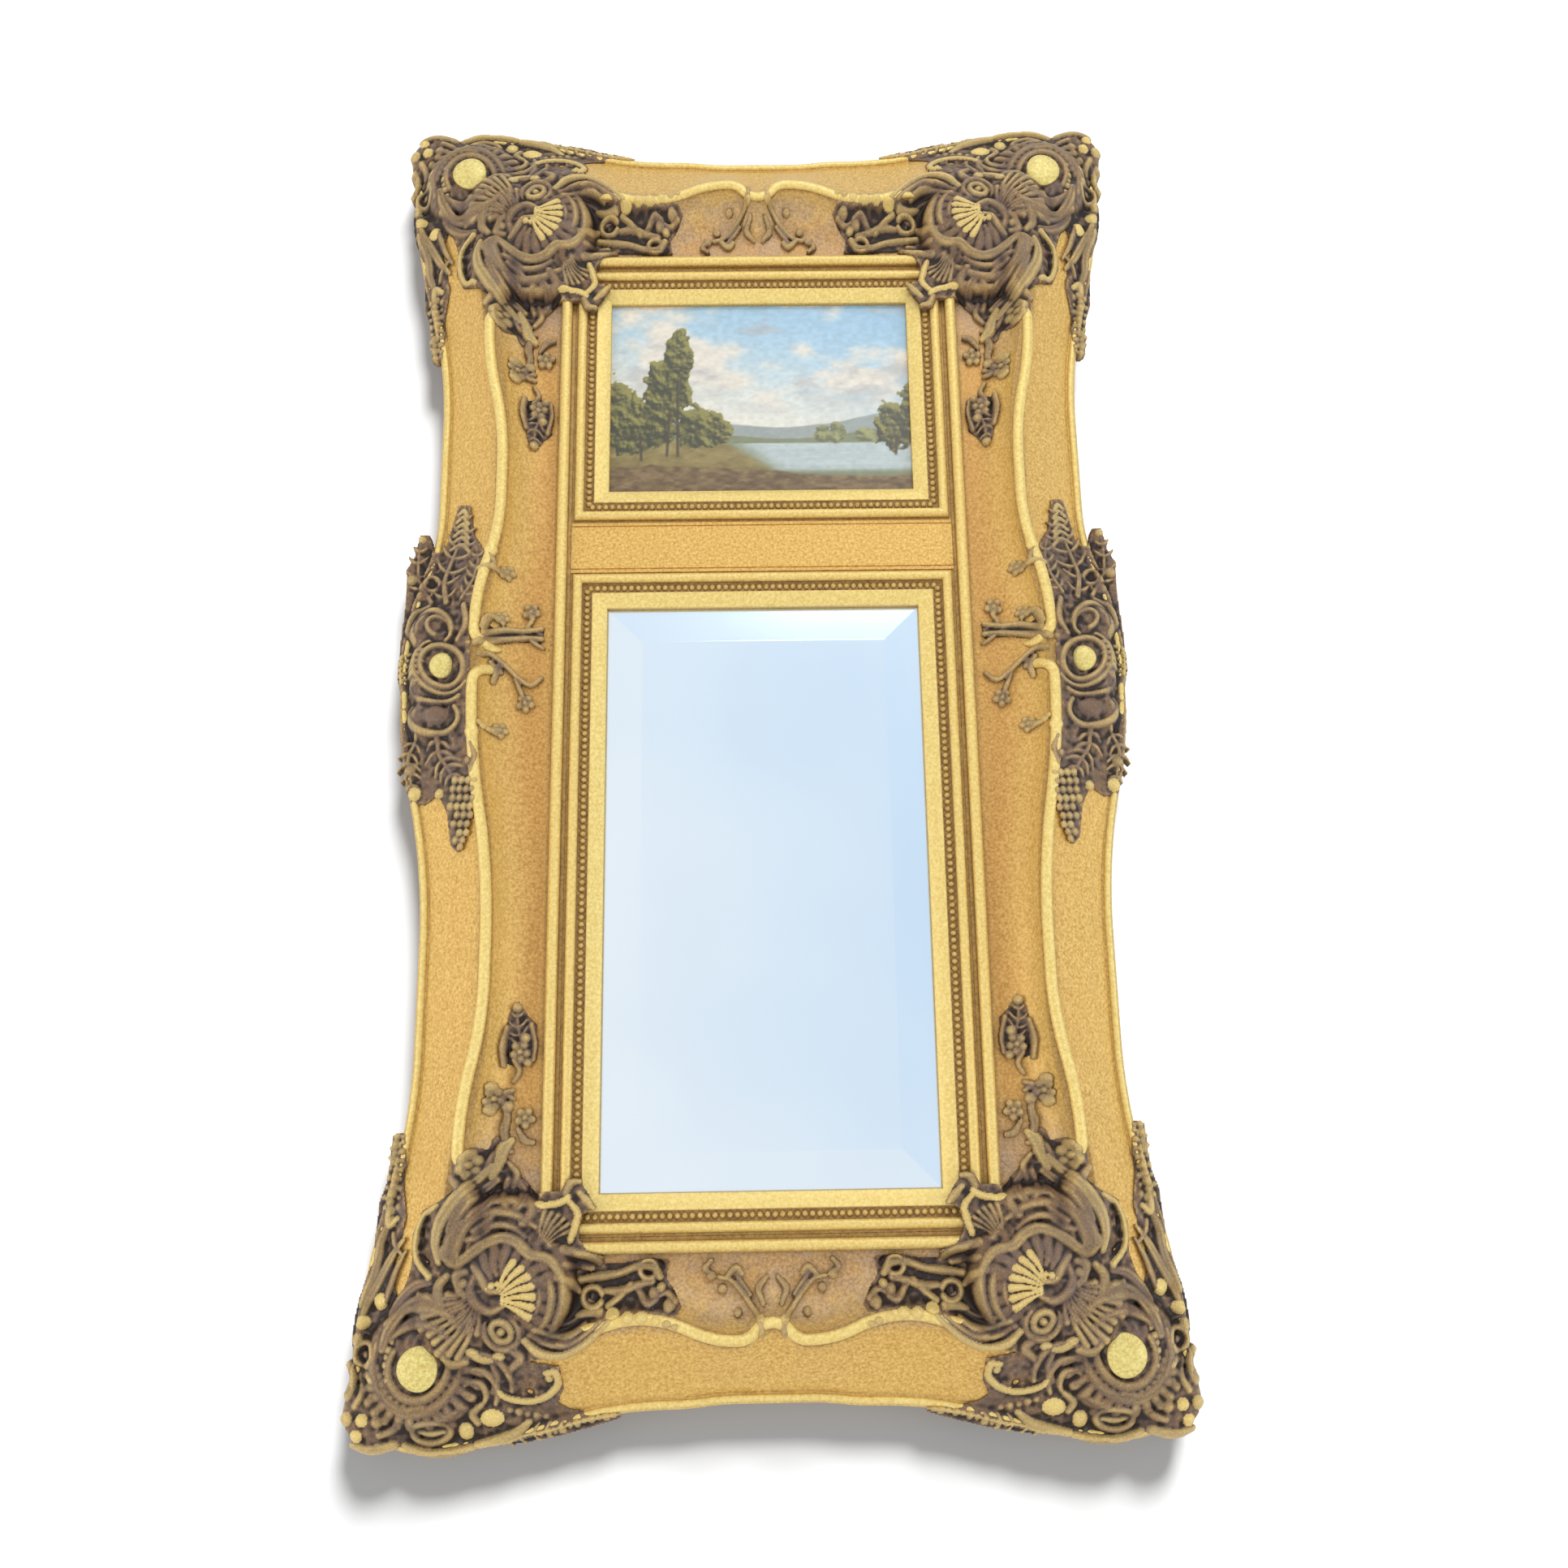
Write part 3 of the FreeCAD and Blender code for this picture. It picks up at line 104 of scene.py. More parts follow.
def make_piece(name, points, squares, material, body="frame", caps=(), marks=None, crease=32.0,
               stands_for=()):
    """One closed piece at the origin: faces turned outward, marks kept as point attributes."""
    points = np.asarray(points, float).reshape(-1, 3)
    centred = points - points.mean(axis=0)
    caps = [list(map(int, cap)) for cap in caps]
    faces = squares.tolist() + caps
    if enclosed(centred, squares) < 0:
        faces = [face[::-1] for face in faces]
    mesh = bpy.data.meshes.new(name)
    mesh.from_pydata(points.tolist(), [], faces)
    for label, values in (marks or {}).items():
        values = np.asarray(values, np.float32)
        if values.ndim > 1 and values.shape[-1] == 4:
            layer = mesh.attributes.new(label, "FLOAT_COLOR", "POINT")
            layer.data.foreach_set("color", values.ravel())
        else:
            layer = mesh.attributes.new(label, "FLOAT", "POINT")
            layer.data.foreach_set("value", values.ravel())
    mesh.shade_smooth()
    mesh.set_sharp_from_angle(angle=math.radians(crease))
    mesh.materials.append(material)
    mesh.validate()
    piece = bpy.data.objects.new(name, mesh)
    bpy.context.scene.collection.objects.link(piece)
    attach(piece, body)
    if stands_for:
        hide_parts(*stands_for)
    return piece


# %% [markdown]
# ## A small language for finishes
# Each finish is a node material. The helper below keeps them short: it adds noise, mixes colours
# and reads the marks that the meshes carry, so that wear and dirt sit where a gilder would leave
# them, and painted shade and painted highlights sit in the hollows and on the ridges. Colours are
# written as on a paint card, 0 to 255, and turned into linear light.

# %% Finish helper
def paint(red, green, blue):
    """Linear colour from a card value: ((c + 0.055) / 1.055) ^ 2.4, or c / 12.92 when dark."""
    card = np.array([red, green, blue], float) / 255.0
    light = np.where(card > 0.04045, ((card + 0.055) / 1.055) ** 2.4, card / 12.92)
    return (*light.tolist(), 1.0)


class Finish:
    """A node material built step by step round one Principled shader."""

    def __init__(self, name, metallic=0.0, roughness=0.5):
        self.material = bpy.data.materials.new(name)
        self.material.use_nodes = True
        self.tree = self.material.node_tree
        self.shader = self.tree.nodes["Principled BSDF"]
        self.shader.inputs["Metallic"].default_value = metallic
        self.shader.inputs["Roughness"].default_value = roughness
        self.coords = self.tree.nodes.new("ShaderNodeTexCoord").outputs["Object"]

    def join(self, source, target):
        self.tree.links.new(source, target)

    def feed(self, value, socket):
        if isinstance(value, (int, float, tuple)):
            socket.default_value = value
        else:
            self.join(value, socket)

    def stretched(self, scale):
        node = self.tree.nodes.new("ShaderNodeMapping")
        node.inputs["Scale"].default_value = scale
        self.join(self.coords, node.inputs["Vector"])
        return node.outputs["Vector"]

    def noise(self, scale, detail=3.0, rough=0.55, low=0.0, high=1.0, along=None):
        """Noise of about 1/scale metre, stretched so that low..high of it becomes 0..1."""
        node = self.tree.nodes.new("ShaderNodeTexNoise")
        node.inputs["Scale"].default_value = scale
        node.inputs["Detail"].default_value = detail
        node.inputs["Roughness"].default_value = rough
        self.join(self.stretched(along) if along else self.coords, node.inputs["Vector"])
        return self.spread(node.outputs["Fac"], low, high)

    def spread(self, value, low, high, to_low=0.0, to_high=1.0):
        node = self.tree.nodes.new("ShaderNodeMapRange")
        self.join(value, node.inputs["Value"])
        for label, number in (("From Min", low), ("From Max", high), ("To Min", to_low),
                              ("To Max", to_high)):
            node.inputs[label].default_value = number
        return node.outputs["Result"]

    def facing_wall(self):
        """1 where the face looks straight back (+Y), else 0."""
        node = self.tree.nodes.new("ShaderNodeSeparateXYZ")
        self.join(self.coords.node.outputs["Normal"], node.inputs[0])
        return self.spread(node.outputs["Y"], 0.9, 0.95)

    def mark(self, label):
        node = self.tree.nodes.new("ShaderNodeAttribute")
        node.attribute_name = label
        return node.outputs["Fac"]

    def colour_mark(self, label):
        node = self.tree.nodes.new("ShaderNodeAttribute")
        node.attribute_name = label
        return node.outputs["Color"]

    def sum(self, first, second, kind="MULTIPLY", clamp=True):
        node = self.tree.nodes.new("ShaderNodeMath")
        node.operation = kind
        node.use_clamp = clamp
        self.feed(first, node.inputs[0])
        self.feed(second, node.inputs[1])
        return node.outputs[0]

    def mix(self, share, first, second, kind="MIX"):
        node = self.tree.nodes.new("ShaderNodeMix")
        node.data_type = "RGBA"
        node.blend_type = kind
        self.feed(share, node.inputs[0])
        self.feed(first, node.inputs[6])
        self.feed(second, node.inputs[7])
        return node.outputs[2]

    def colour(self, value):
        self.feed(value, self.shader.inputs["Base Color"])

    def roughness(self, value):
        self.feed(value, self.shader.inputs["Roughness"])

    def bump(self, height, depth, strength=1.0):
        """Relief in the shading only: height 0..1 stands for depth metres."""
        node = self.tree.nodes.new("ShaderNodeBump")
        node.inputs["Strength"].default_value = strength
        node.inputs["Distance"].default_value = depth
        self.join(height, node.inputs["Height"])
        self.join(node.outputs["Normal"], self.shader.inputs["Normal"])


# %% [markdown]
# ## Gilding on the mouldings
# The real frame is bronze gilt over a red-brown ground: the flats are stippled, edges are rubbed
# bright, and a thin umber wash stays in every groove. One material reads five marks: worn for
# rubbed edges; a wash mark for the umber wash, which also paints shade beside the rib and at the
# feet of ridges; a cove mark for the warmer cove, darkened towards the cove floor as painted shade;
# a mark for a painted grey reflection of the sky in the rail coves and near the corners; and raw for
# bare wood, which also shows wherever a face looks to the wall.

# %% Gilded wood
def gilding(name):
    """Stippled flats, rubbed brighter, umber wash with painted shade, cove tone with painted shade, a
    painted grey sky reflection, bare wood where raw is 1.
    """
    f = Finish(name, metallic=0.3, roughness=0.46)
    grain = f.noise(420.0, 5.0, 0.72, 0.36, 0.64)
    clouds = f.noise(26.0, 4.0, 0.6, 0.3, 0.72)
    flat = f.mix(grain, paint(192, 142, 60), paint(246, 208, 122))
    flat = f.mix(f.sum(clouds, 0.3), flat, paint(222, 174, 90))
    # Cove tone: a warmer gold, darkened as painted shade, strongest on the cove floor and fading up to the
    # rib.
    flat = f.mix(f.sum(f.mark("cove_tone_and_shade"), 0.75), flat, f.mix(grain, paint(178, 122, 56),
        paint(218, 168, 94)))
    bright = f.mix(grain, paint(228, 194, 106), paint(248, 228, 150))
    gold = f.mix(f.mark("worn"), flat, bright)
    streaks = f.noise(90.0, 5.0, 0.7, 0.42, 0.78)
    # Umber wash, which also paints shade beside the rib and at the feet of ridges, beads and strokes.
    wash = f.sum(f.mark("wash_and_shade"), f.spread(streaks, 0.0, 1.0, 0.72, 1.0))
    gold = f.mix(wash, gold, f.mix(grain, paint(104, 72, 34), paint(150, 116, 68)))
    # Painted reflection: a grey-lilac tone in the rail coves and near the corners stands in for the sky
    # seen in them.
    grey_sky_reflection = f.sum(f.mark("grey_sky_reflection"), f.noise(48.0, 5.0, 0.65, 0.25, 0.62))
    gold = f.mix(f.sum(grey_sky_reflection, 0.8), gold, f.mix(grain, paint(150, 122, 100), paint(196, 172, 146)))
    wood = f.mix(f.noise(9.0, 6.0, 0.6, 0.3, 0.7, along=(12.0, 12.0, 1.0)), paint(150, 112, 72),
                 paint(196, 158, 112))
    f.colour(f.mix(f.sum(f.mark("raw"), f.facing_wall(), "MAXIMUM"), gold, wood))
    f.roughness(f.spread(grain, 0.0, 1.0, 0.38, 0.54))
    f.bump(f.noise(480.0, 4.0, 0.6), 0.0005, 0.55)
    return f.material


gilt_wood = gilding("gilt_wood")
print("gilding nodes:", len(gilt_wood.node_tree.nodes))

# %% [markdown]
# ## The lines of the moulding
# The frame's outline and the rib inside it are swept: level at a few stations, with an S-curve of
# two equal arcs between each pair, and a round corner centred on the mitre. A line can be walked
# along, to build a moulding, and asked how far outside it a point lies, to know the height there.

# %% Swept lines
class Sweep:
    """A swept line of one member, from the near mitre to the far one."""

    def __init__(self, first, length, stations, reach, rounding):
        self.first, self.last = first, first + length
        self.centre, self.rounding = reach - rounding, rounding
        ends = [(first - self.centre, reach)], [(self.last + self.centre, reach)]
        chain = np.array(ends[0] + list(stations) + ends[1], float)
        self.u, self.w = chain[:, 0], chain[:, 1]

    def at(self, u):
        """w at u: from each station, rise R - sqrt(R^2 - run^2), with R = (du^2 + dw^2) / 4 |dw|."""
        u = np.asarray(u, float)
        k = np.clip(np.searchsorted(self.u, u, side="right") - 1, 0, len(self.u) - 2)
        u0, u1, w0, w1 = self.u[k], self.u[k + 1], self.w[k], self.w[k + 1]
        du, dw = u1 - u0, w1 - w0
        radius = (du**2 + dw**2) / (4 * np.maximum(np.abs(dw), 1e-6))
        early = u - u0 < du / 2
        run = np.clip(np.where(early, u - u0, u1 - u), 0, radius)
        rise = radius - np.sqrt(radius**2 - run**2)
        curve = np.where(early, w0 + np.sign(dw) * rise, w1 - np.sign(dw) * rise)
        return np.where(np.abs(dw) < 1e-6, w0, curve)

    def outside(self, u, w):
        """Distance outward from the line; past the corner centre it is radial."""
        beyond = np.maximum(self.first - u, u - self.last)
        radial = np.hypot(beyond - self.centre, w - self.centre) - self.rounding
        return np.where(beyond > self.centre, radial, w - self.at(u))

    def walk(self, shift, steps):
        """(u, w) of the line moved outward by shift: corner arc, run to the sight corner, and on."""
        angle = np.radians(np.linspace(45.0, 90.0, 11))
        radius = self.rounding + shift
        arc_n = self.centre + radius * np.cos(angle)
        arc_w = self.centre + radius * np.sin(angle)
        run = np.linspace(self.centre, 0.0, 14)[1:]
        inner = np.linspace(self.first, self.last, steps)[1:-1]
        u = np.concatenate([self.first - arc_n, self.first - run, inner, self.last + run[::-1],
                            self.last + arc_n[::-1]])
        swept = self.at(u) + shift
        swept[:11], swept[-11:] = arc_w, arc_w[::-1]
        return u, swept


def straight_walk(first, length, w, steps):
    """(u, w) of a straight line at w, with as many points as a swept one: 24 at each end."""
    ends = np.linspace(w, 0.0, 24)
    inner = np.linspace(first, first + length, steps)[1:-1]
    u = np.concatenate([first - ends, inner, first + length + ends[::-1]])
    return u, np.full(u.shape, float(w))


STILE = dict(first=0.0, length=SIGHT_HEIGHT)
RAIL = dict(first=-HALF_SIGHT, length=2 * HALF_SIGHT)
stile_edge = Sweep(**STILE, stations=[(110, 144), (190, 144), (414.5, 169), (553, 144), (633, 144)],
                   reach=177, rounding=50)
stile_rib = Sweep(**STILE, stations=[(160, 85), (190, 85), (414.5, 103), (553, 85), (583, 85)],
                  reach=105, rounding=65)
rail_edge = Sweep(**RAIL, stations=[(-75, 151), (-25, 148), (0, 148), (25, 148), (75, 151)],
                  reach=177, rounding=50)
rail_rib = Sweep(**RAIL, stations=[(-95, 84.5), (-25, 100), (0, 88), (25, 100), (95, 84.5)],
                 reach=105, rounding=65)
print("stile outline at its bulge:", float(stile_edge.at(414.5)), "mm")

# %% [markdown]
# ## Heights across the moulding
# Between the straight inner ridge and the rib lies a cove: a level floor, then a rising arc. Past
# the rib a broad flat falls to the thin outer edge. The height at any point follows from how far it
# lies from the rib and from the edge, so mouldings and castings agree everywhere.

# %% Height of the front
COVE_FLOOR, SHOULDER, EDGE = 34.8, 58.0, 24.0


def cove_rise(q):
    """Height at q mm from the rib, from -38 to -5: an arc of 72 degrees that starts level."""
    turn = math.radians(72.0)
    share = np.clip((q + 38.0) / 33.0, 0.0, 1.0)
    swing = np.arcsin(share * math.sin(turn))
    return COVE_FLOOR + (SHOULDER - COVE_FLOOR) * (1 - np.cos(swing)) / (1 - math.cos(turn))


def front(q, p):
    """Height of cove, shoulder and flat from q, the distance past the rib, and p, past the edge."""
    share = np.clip((q - 5.0) / np.maximum(q - 5.0 - (p + 8.0), 1e-3), 0.0, 1.0)
    fall = SHOULDER - (SHOULDER - EDGE) * np.where(p > -8.0, 1.0, share)
    return np.where(q < -5.0, cove_rise(q), np.where(q <= 5.0, SHOULDER, fall))


# %% [markdown]
# ## The four outer members
# Each is one length of moulding with mitred ends. Its section is a list of lines, each with a
# height and with marks for wear and wash, where the wash and the cove tone also paint shade, and a
# painted grey sky reflection is laid over the coves; all lines are walked with equal steps so that
# they make one closed grid. The ends are capped at the mitre. The CAD members are plain facets there.

# %% Section of the moulding
def section_rows(edge, rib, member, steps):
    """Rows (u, w, d, worn, wash and painted shade, cove tone and painted shade, raw) of the closed section,
    from the inner lip round.
    """
    first, length = member["first"], member["length"]
    rows = []

    def straight(w, d, worn=0.0, wash_and_shade=0.0, cove_tone_and_shade=0.0, raw=0.0):
        u, across = straight_walk(first, length, w, steps)
        rows.append((u, across, np.full(u.shape, float(d)), worn, wash_and_shade, cove_tone_and_shade, raw))

    def swept(line, shift, d=None, worn=0.0, wash_and_shade=0.0, cove_tone_and_shade=0.0, raw=0.0):
        u, across = line.walk(shift, steps)
        if d is None:
            d = front(rib.outside(u, across), edge.outside(u, across))
        rows.append((u, across, np.full(u.shape, 1.0) * d, worn, wash_and_shade, cove_tone_and_shade, raw))

    straight(30.0, 26.0, wash_and_shade=1)
    straight(30.0, 35.4, wash_and_shade=1)
    straight(30.8, 36.0, wash_and_shade=0.5)
    straight(32.4, 36.0, wash_and_shade=0.7)
    straight(33.0, 36.2, wash_and_shade=0.9)
    # Round ridge: the wash mark darkens its feet, which is painted shade where the ridge meets the ground.
    for angle in np.radians(np.linspace(180.0, 0.0, 13)):
        lift = math.sin(angle)
        straight(37.5 + 4.5 * math.cos(angle), 39.5 + 4.5 * lift, worn=0.25 + 0.6 * lift,
                 wash_and_shade=max(0.0, 0.7 - 2.2 * lift))
    straight(42.1, 35.2, wash_and_shade=1.0)
    straight(43.0, COVE_FLOOR, wash_and_shade=0.75, cove_tone_and_shade=0.4)
    straight(45.0, COVE_FLOOR, wash_and_shade=0.3, cove_tone_and_shade=0.6)
    # Cove floor and rise: the cove mark is a warmer gold and also painted shade of the concave cove,
    # strongest on the floor.
    for share in np.linspace(0.12, 1.0, 8):
        u0, w0 = straight_walk(first, length, 45.0, steps)
        u1, w1 = rib.walk(-38.0, steps)
        u, across = u0 + (u1 - u0) * share, w0 + (w1 - w0) * share
        tone = 0.6 + 0.4 * math.sin(math.pi * min(1.0, share * 0.7))
        rows.append((u, across, np.full(u.shape, COVE_FLOOR), 0.0, 0.0, tone, 0.0))
    for shift in np.linspace(-36.0, -6.0, 16):
        share = (shift + 36.0) / 30.0
        swept(rib, shift, worn=0.25 * share**2, cove_tone_and_shade=0.95 - 0.8 * share)
    # Dark lines just beside the rib: painted shade where the rib meets the moulding.
    swept(rib, -5.0, worn=0.1, wash_and_shade=0.45)
    swept(rib, -4.4, wash_and_shade=0.75)
    swept(rib, 4.4, wash_and_shade=0.8)
    swept(rib, 5.0, wash_and_shade=0.55)
    u0, w0 = rib.walk(6.0, steps)
    u1, w1 = edge.walk(-8.0, steps)
    # On the flat, the wash mark fades within a few millimetres of the rib: a painted shadow of the rib.
    for share in np.linspace(0.0, 1.0, 22):
        u, across = u0 + (u1 - u0) * share, w0 + (w1 - w0) * share
        d = front(rib.outside(u, across), edge.outside(u, across))
        rows.append((u, across, d, 0.18 * share**3, 0.25 * math.exp(-share * 18.0) + 0.35 * max(0.0,
            share - 0.94) / 0.06, 0.0, 0.0))
    for angle in np.radians(np.linspace(170.0, 10.0, 9)):
        lift = math.sin(angle)
        swept(edge, -4.2 + 2.9 * math.cos(angle), EDGE - 0.4 + 2.7 * lift, worn=0.15 + 0.85 * lift,
              wash_and_shade=0.5 * (1 - lift) ** 2)
    swept(edge, -0.9, EDGE - 0.4, worn=0.3)
    swept(edge, -0.2, EDGE - 1.2, worn=0.25)
    swept(edge, 0.0, EDGE - 2.6, wash_and_shade=0.15)
    swept(edge, 0.0, 12.0, wash_and_shade=0.25, cove_tone_and_shade=0.4)
    swept(edge, 0.0, 1.0, wash_and_shade=0.45, cove_tone_and_shade=0.5)
    swept(edge, -1.0, 0.0, raw=1.0)
    straight(90.0, 0.0, raw=1.0)
    straight(36.0, 0.0, raw=1.0)
    straight(36.0, 13.0, raw=1.0)
    straight(36.0, 26.0, raw=1.0)
    return rows


# %% Sweep and mitre
def member(name, side, edge, rib, spec, steps, node):
    """Closed grid: section rows by steps along, with a cap on each mitre."""
    rows = section_rows(edge, rib, spec, steps)
    points = np.stack([placed(side, u, w, d) for u, w, d, *_ in rows])
    count, along = points.shape[:2]
    marks = {}
    for k, label in enumerate(("worn", "wash_and_shade", "cove_tone_and_shade", "raw")):
        marks[label] = np.repeat([row[3 + k] for row in rows], along).clip(0, 1)
    u, w = np.array([row[0] for row in rows]), np.array([row[1] for row in rows])
    inward = np.minimum(u - spec["first"], spec["first"] + spec["length"] - u)
    # Where the painted grey sky reflection lies: the whole cove of each rail, and the stile coves near the
    # corners.
    cove = np.clip((w - 41) / 3, 0, 1) * np.clip((96 - w) / 8, 0, 1)
    near_corner = 1 - np.clip((inward - 20) / 50, 0, 1)
    marks["grey_sky_reflection"] = (cove * np.maximum(near_corner, 0.85 if side in ("top",
        "bottom") else 0.0)).ravel()
    squares = grid_faces(count, along, wrap_rows=True)
    near = np.arange(count) * along
    turned = enclosed(points.reshape(-1, 3) - points.mean(axis=(0, 1)), squares) < 0
    caps = [near, near[::-1] + along - 1]
    piece = make_piece(name, points, squares, gilt_wood, caps=caps, marks=marks, crease=40.0,
                       stands_for=(node,))
    print(name, "rows", count, "steps", along, "faces", len(piece.data.polygons), "turned",
          bool(turned))
    return piece


member("moulding_left", "left", stile_edge, stile_rib, STILE, 200, "left_stile")
member("moulding_right", "right", stile_edge, stile_rib, STILE, 200, "right_stile")
member("moulding_bottom", "bottom", rail_edge, rail_rib, RAIL, 90, "bottom_rail")
member("moulding_top", "top", rail_edge, rail_rib, RAIL, 90, "top_rail")

# %% [markdown]
# ## Slips round the two openings
# Inside the moulding each opening has its own slim frame: a bright slope beside the glass, a narrow
# hollow that carries a row of beads, and a round ridge. It is a plain straight section with mitred
# ends, so two steps along are enough, and the roundness is all in the section.

# %% Slip lengths
def slip(name, side, start, length, offset):
    """Straight closed section carried from mitre to mitre: u ends at start - w and start + length + w."""
    # Columns: w, d, worn and wash; the wash also paints shade in the bead channel and at the feet of the
    # round ridge.
    rows = [(0, 29, 0, 0.6), (0, 33.2, 0.7, 0), (0.8, 34.1, 1, 0), (6, 36, 0.9, 0),
            (11.2, 37.8, 0.9, 0), (12, 37.6, 0.5, 0.5),
            (12, 36.6, 0, 1), (12.6, 36.3, 0, 1), (19.4, 36.3, 0, 1), (20, 36.6, 0, 1)]
    for angle in np.radians(np.linspace(180.0, 0.0, 11)):
        lift = math.sin(angle)
        rows.append((24 + 4 * math.cos(angle), 38 + 4 * lift, 0.15 + 0.65 * lift,
                     max(0.0, 0.8 - 2.2 * lift)))
    rows += [(28.1, 36.2, 0, 1), (29, 36, 0, 0.7), (30, 36, 0, 0.6), (30, 26, 0, 1), (36, 26, 0, 1),
             (36, 14, 0, 1), (6, 14, 0, 1), (6, 29, 0, 1)]
    w, d, worn, wash_and_shade = (np.array(column, float) for column in zip(*rows))
    u = np.stack([start - w, start + length * 0.5 + 0 * w, start + length + w], axis=-1)
    points = placed(side, u + offset, w[:, None], d[:, None])
    marks = {"worn": np.repeat(worn, 3), "wash_and_shade": np.repeat(wash_and_shade, 3)}
    near = np.arange(len(w)) * 3
    return make_piece(name + "_dressed", points, grid_faces(len(w), 3, wrap_rows=True), gilt_wood,
                      caps=[near, near[::-1] + 2], marks=marks, crease=30.0, stands_for=(name,))


def slip_at(name, side, start, length, level):
    """Bottom and top slips sit at their own level: the piece is made at the foot or head and moved."""
    piece = slip(name, side, start, length, 0.0)
    if level:
        count = len(piece.data.vertices)
        spots = np.empty(count * 3)
        piece.data.vertices.foreach_get("co", spots)
        spots[2::3] += level / 1000.0
        piece.data.vertices.foreach_set("co", spots)
        piece.data.update()
    return piece


OPENINGS = {"mirror": (0.0, 462.0), "painting": (566.0, 177.0)}
for opening, (low, height) in OPENINGS.items():
    slip_at(f"{opening}_slip_left", "left", low, height, 0)
    slip_at(f"{opening}_slip_right", "right", low, height, 0)
    slip_at(f"{opening}_slip_bottom", "bottom", -HALF_SIGHT, 2 * HALF_SIGHT, low)
    slip_at(f"{opening}_slip_top", "top", -HALF_SIGHT, 2 * HALF_SIGHT, low + height - SIGHT_HEIGHT)
    print(opening, "opening from", FOOT + low, "to", FOOT + low + height)

# %% [markdown]
# ## Bead rows
# In each hollow runs a row of small cast beads, dull from the wash, which darkens towards each
# bead's foot as painted shade, with a rubbed top. Each bead is one squashed dome of a few faces,
# and one array operation sets the same dome at every place along the four sides of the opening.

# %% Beads in the hollows
def dome_grid(rings, sides):
    """Unit dome: radius sin(t), height cos(t), with its foot ring dropped below, as points and squares."""
    t = np.linspace(0.12, math.pi / 2, rings)
    turn = np.linspace(0, 2 * math.pi, sides, endpoint=False)
    ring = np.stack([np.sin(t)[:, None] * np.cos(turn), np.sin(t)[:, None] * np.sin(turn),
                     np.cos(t)[:, None] + 0 * turn], axis=-1)
    foot = ring[-1:] * [1, 1, 0] + [0, 0, -0.35]
    points = np.concatenate([ring, foot]).reshape(-1, 3)
    return points, grid_faces(rings + 1, sides, wrap_cols=True), [np.arange(sides),
        np.arange(sides)[::-1] + rings * sides]


def bead_row(name, low, height, body="frame"):
    """Domes 2.6 by 2.1 mm, 2.1 mm high, every 5.4 mm at w = 16, round one opening."""
    shape, squares, caps = dome_grid(4, 8)
    spots = []
    for side, start, length, lift in (("left", low, height, 0), ("right", low, height, 0),
                                      ("bottom", -HALF_SIGHT, 2 * HALF_SIGHT, low),
                                      ("top", -HALF_SIGHT, 2 * HALF_SIGHT,
                                       low + height - SIGHT_HEIGHT)):
        count = round((length + 26) / 5.4)
        u = np.linspace(start - 13, start + length + 13, count)
        dome_u, dome_w, dome_d = shape[:, 0] * 2.55, shape[:, 1] * 2.9, shape[:, 2] * 2.2
        block = placed(side, u[:, None] + dome_u, 16.0 + dome_w, 36.4 + dome_d) + [0, 0,
            lift / 1000.0]
        spots.append(block)
    blocks = np.concatenate(spots)
    step = np.arange(len(blocks))[:, None] * len(shape)
    all_squares = (squares[None] + step[:, :, None]).reshape(-1, 4)
    all_caps = [cap + s for s in step[:, 0] for cap in caps]
    top = np.clip(shape[:, 2], 0, 1)
    # Wash darkest at each bead's foot: painted shade as well as wash; the rubbed top is brighter.
    marks = {"worn": np.tile(0.55 * top**3, len(blocks)),
             "wash_and_shade": np.tile(0.95 - 0.62 * top**1.5, len(blocks))}
    return blocks, all_squares, all_caps, marks


def facing_out(points, squares, caps, size):
    """Left and right rows are mirror images, so each block of faces is turned by its own volume."""
    per = len(squares) // (len(points) // size)
    blocks = points.reshape(-1, size, 3)
    local = squares[:per]
    centred = blocks - blocks.mean(axis=1, keepdims=True)
    p = centred[:, local]
    volume = np.einsum("nij,nij->n", p[:, :, 0], np.cross(p[:, :, 1], p[:, :, 2])) + np.einsum(
        "nij,nij->n", p[:, :, 0], np.cross(p[:, :, 2], p[:, :, 3]))
    squares = squares.reshape(len(blocks), per, 4).copy()
    squares[volume < 0] = squares[volume < 0][:, :, ::-1]
    share = len(caps) // len(blocks)
    caps = [cap[::-1] if volume[k // share] < 0 else cap for k, cap in enumerate(caps)]
    return squares.reshape(-1, 4), caps


for opening, (low, height) in OPENINGS.items():
    blocks, squares, caps, marks = bead_row(opening, low, height)
    size = blocks.shape[1]
    squares, caps = facing_out(blocks.reshape(-1, 3), squares, caps, size)
    make_piece(f"{opening}_bead_row", blocks, squares, gilt_wood, caps=caps, marks=marks,
               crease=60.0)
    print(opening, "beads:", len(blocks))

# %% [markdown]
# ## Ribs
# Along the shoulder lies a half-round rib, rubbed bright. On each stile it is two long scrolls that
# turn inward at the bulge, and on each rail one wavy length. A half-round profile is carried along
# the line, follows the height of the moulding below, and thins to a rounded tip.

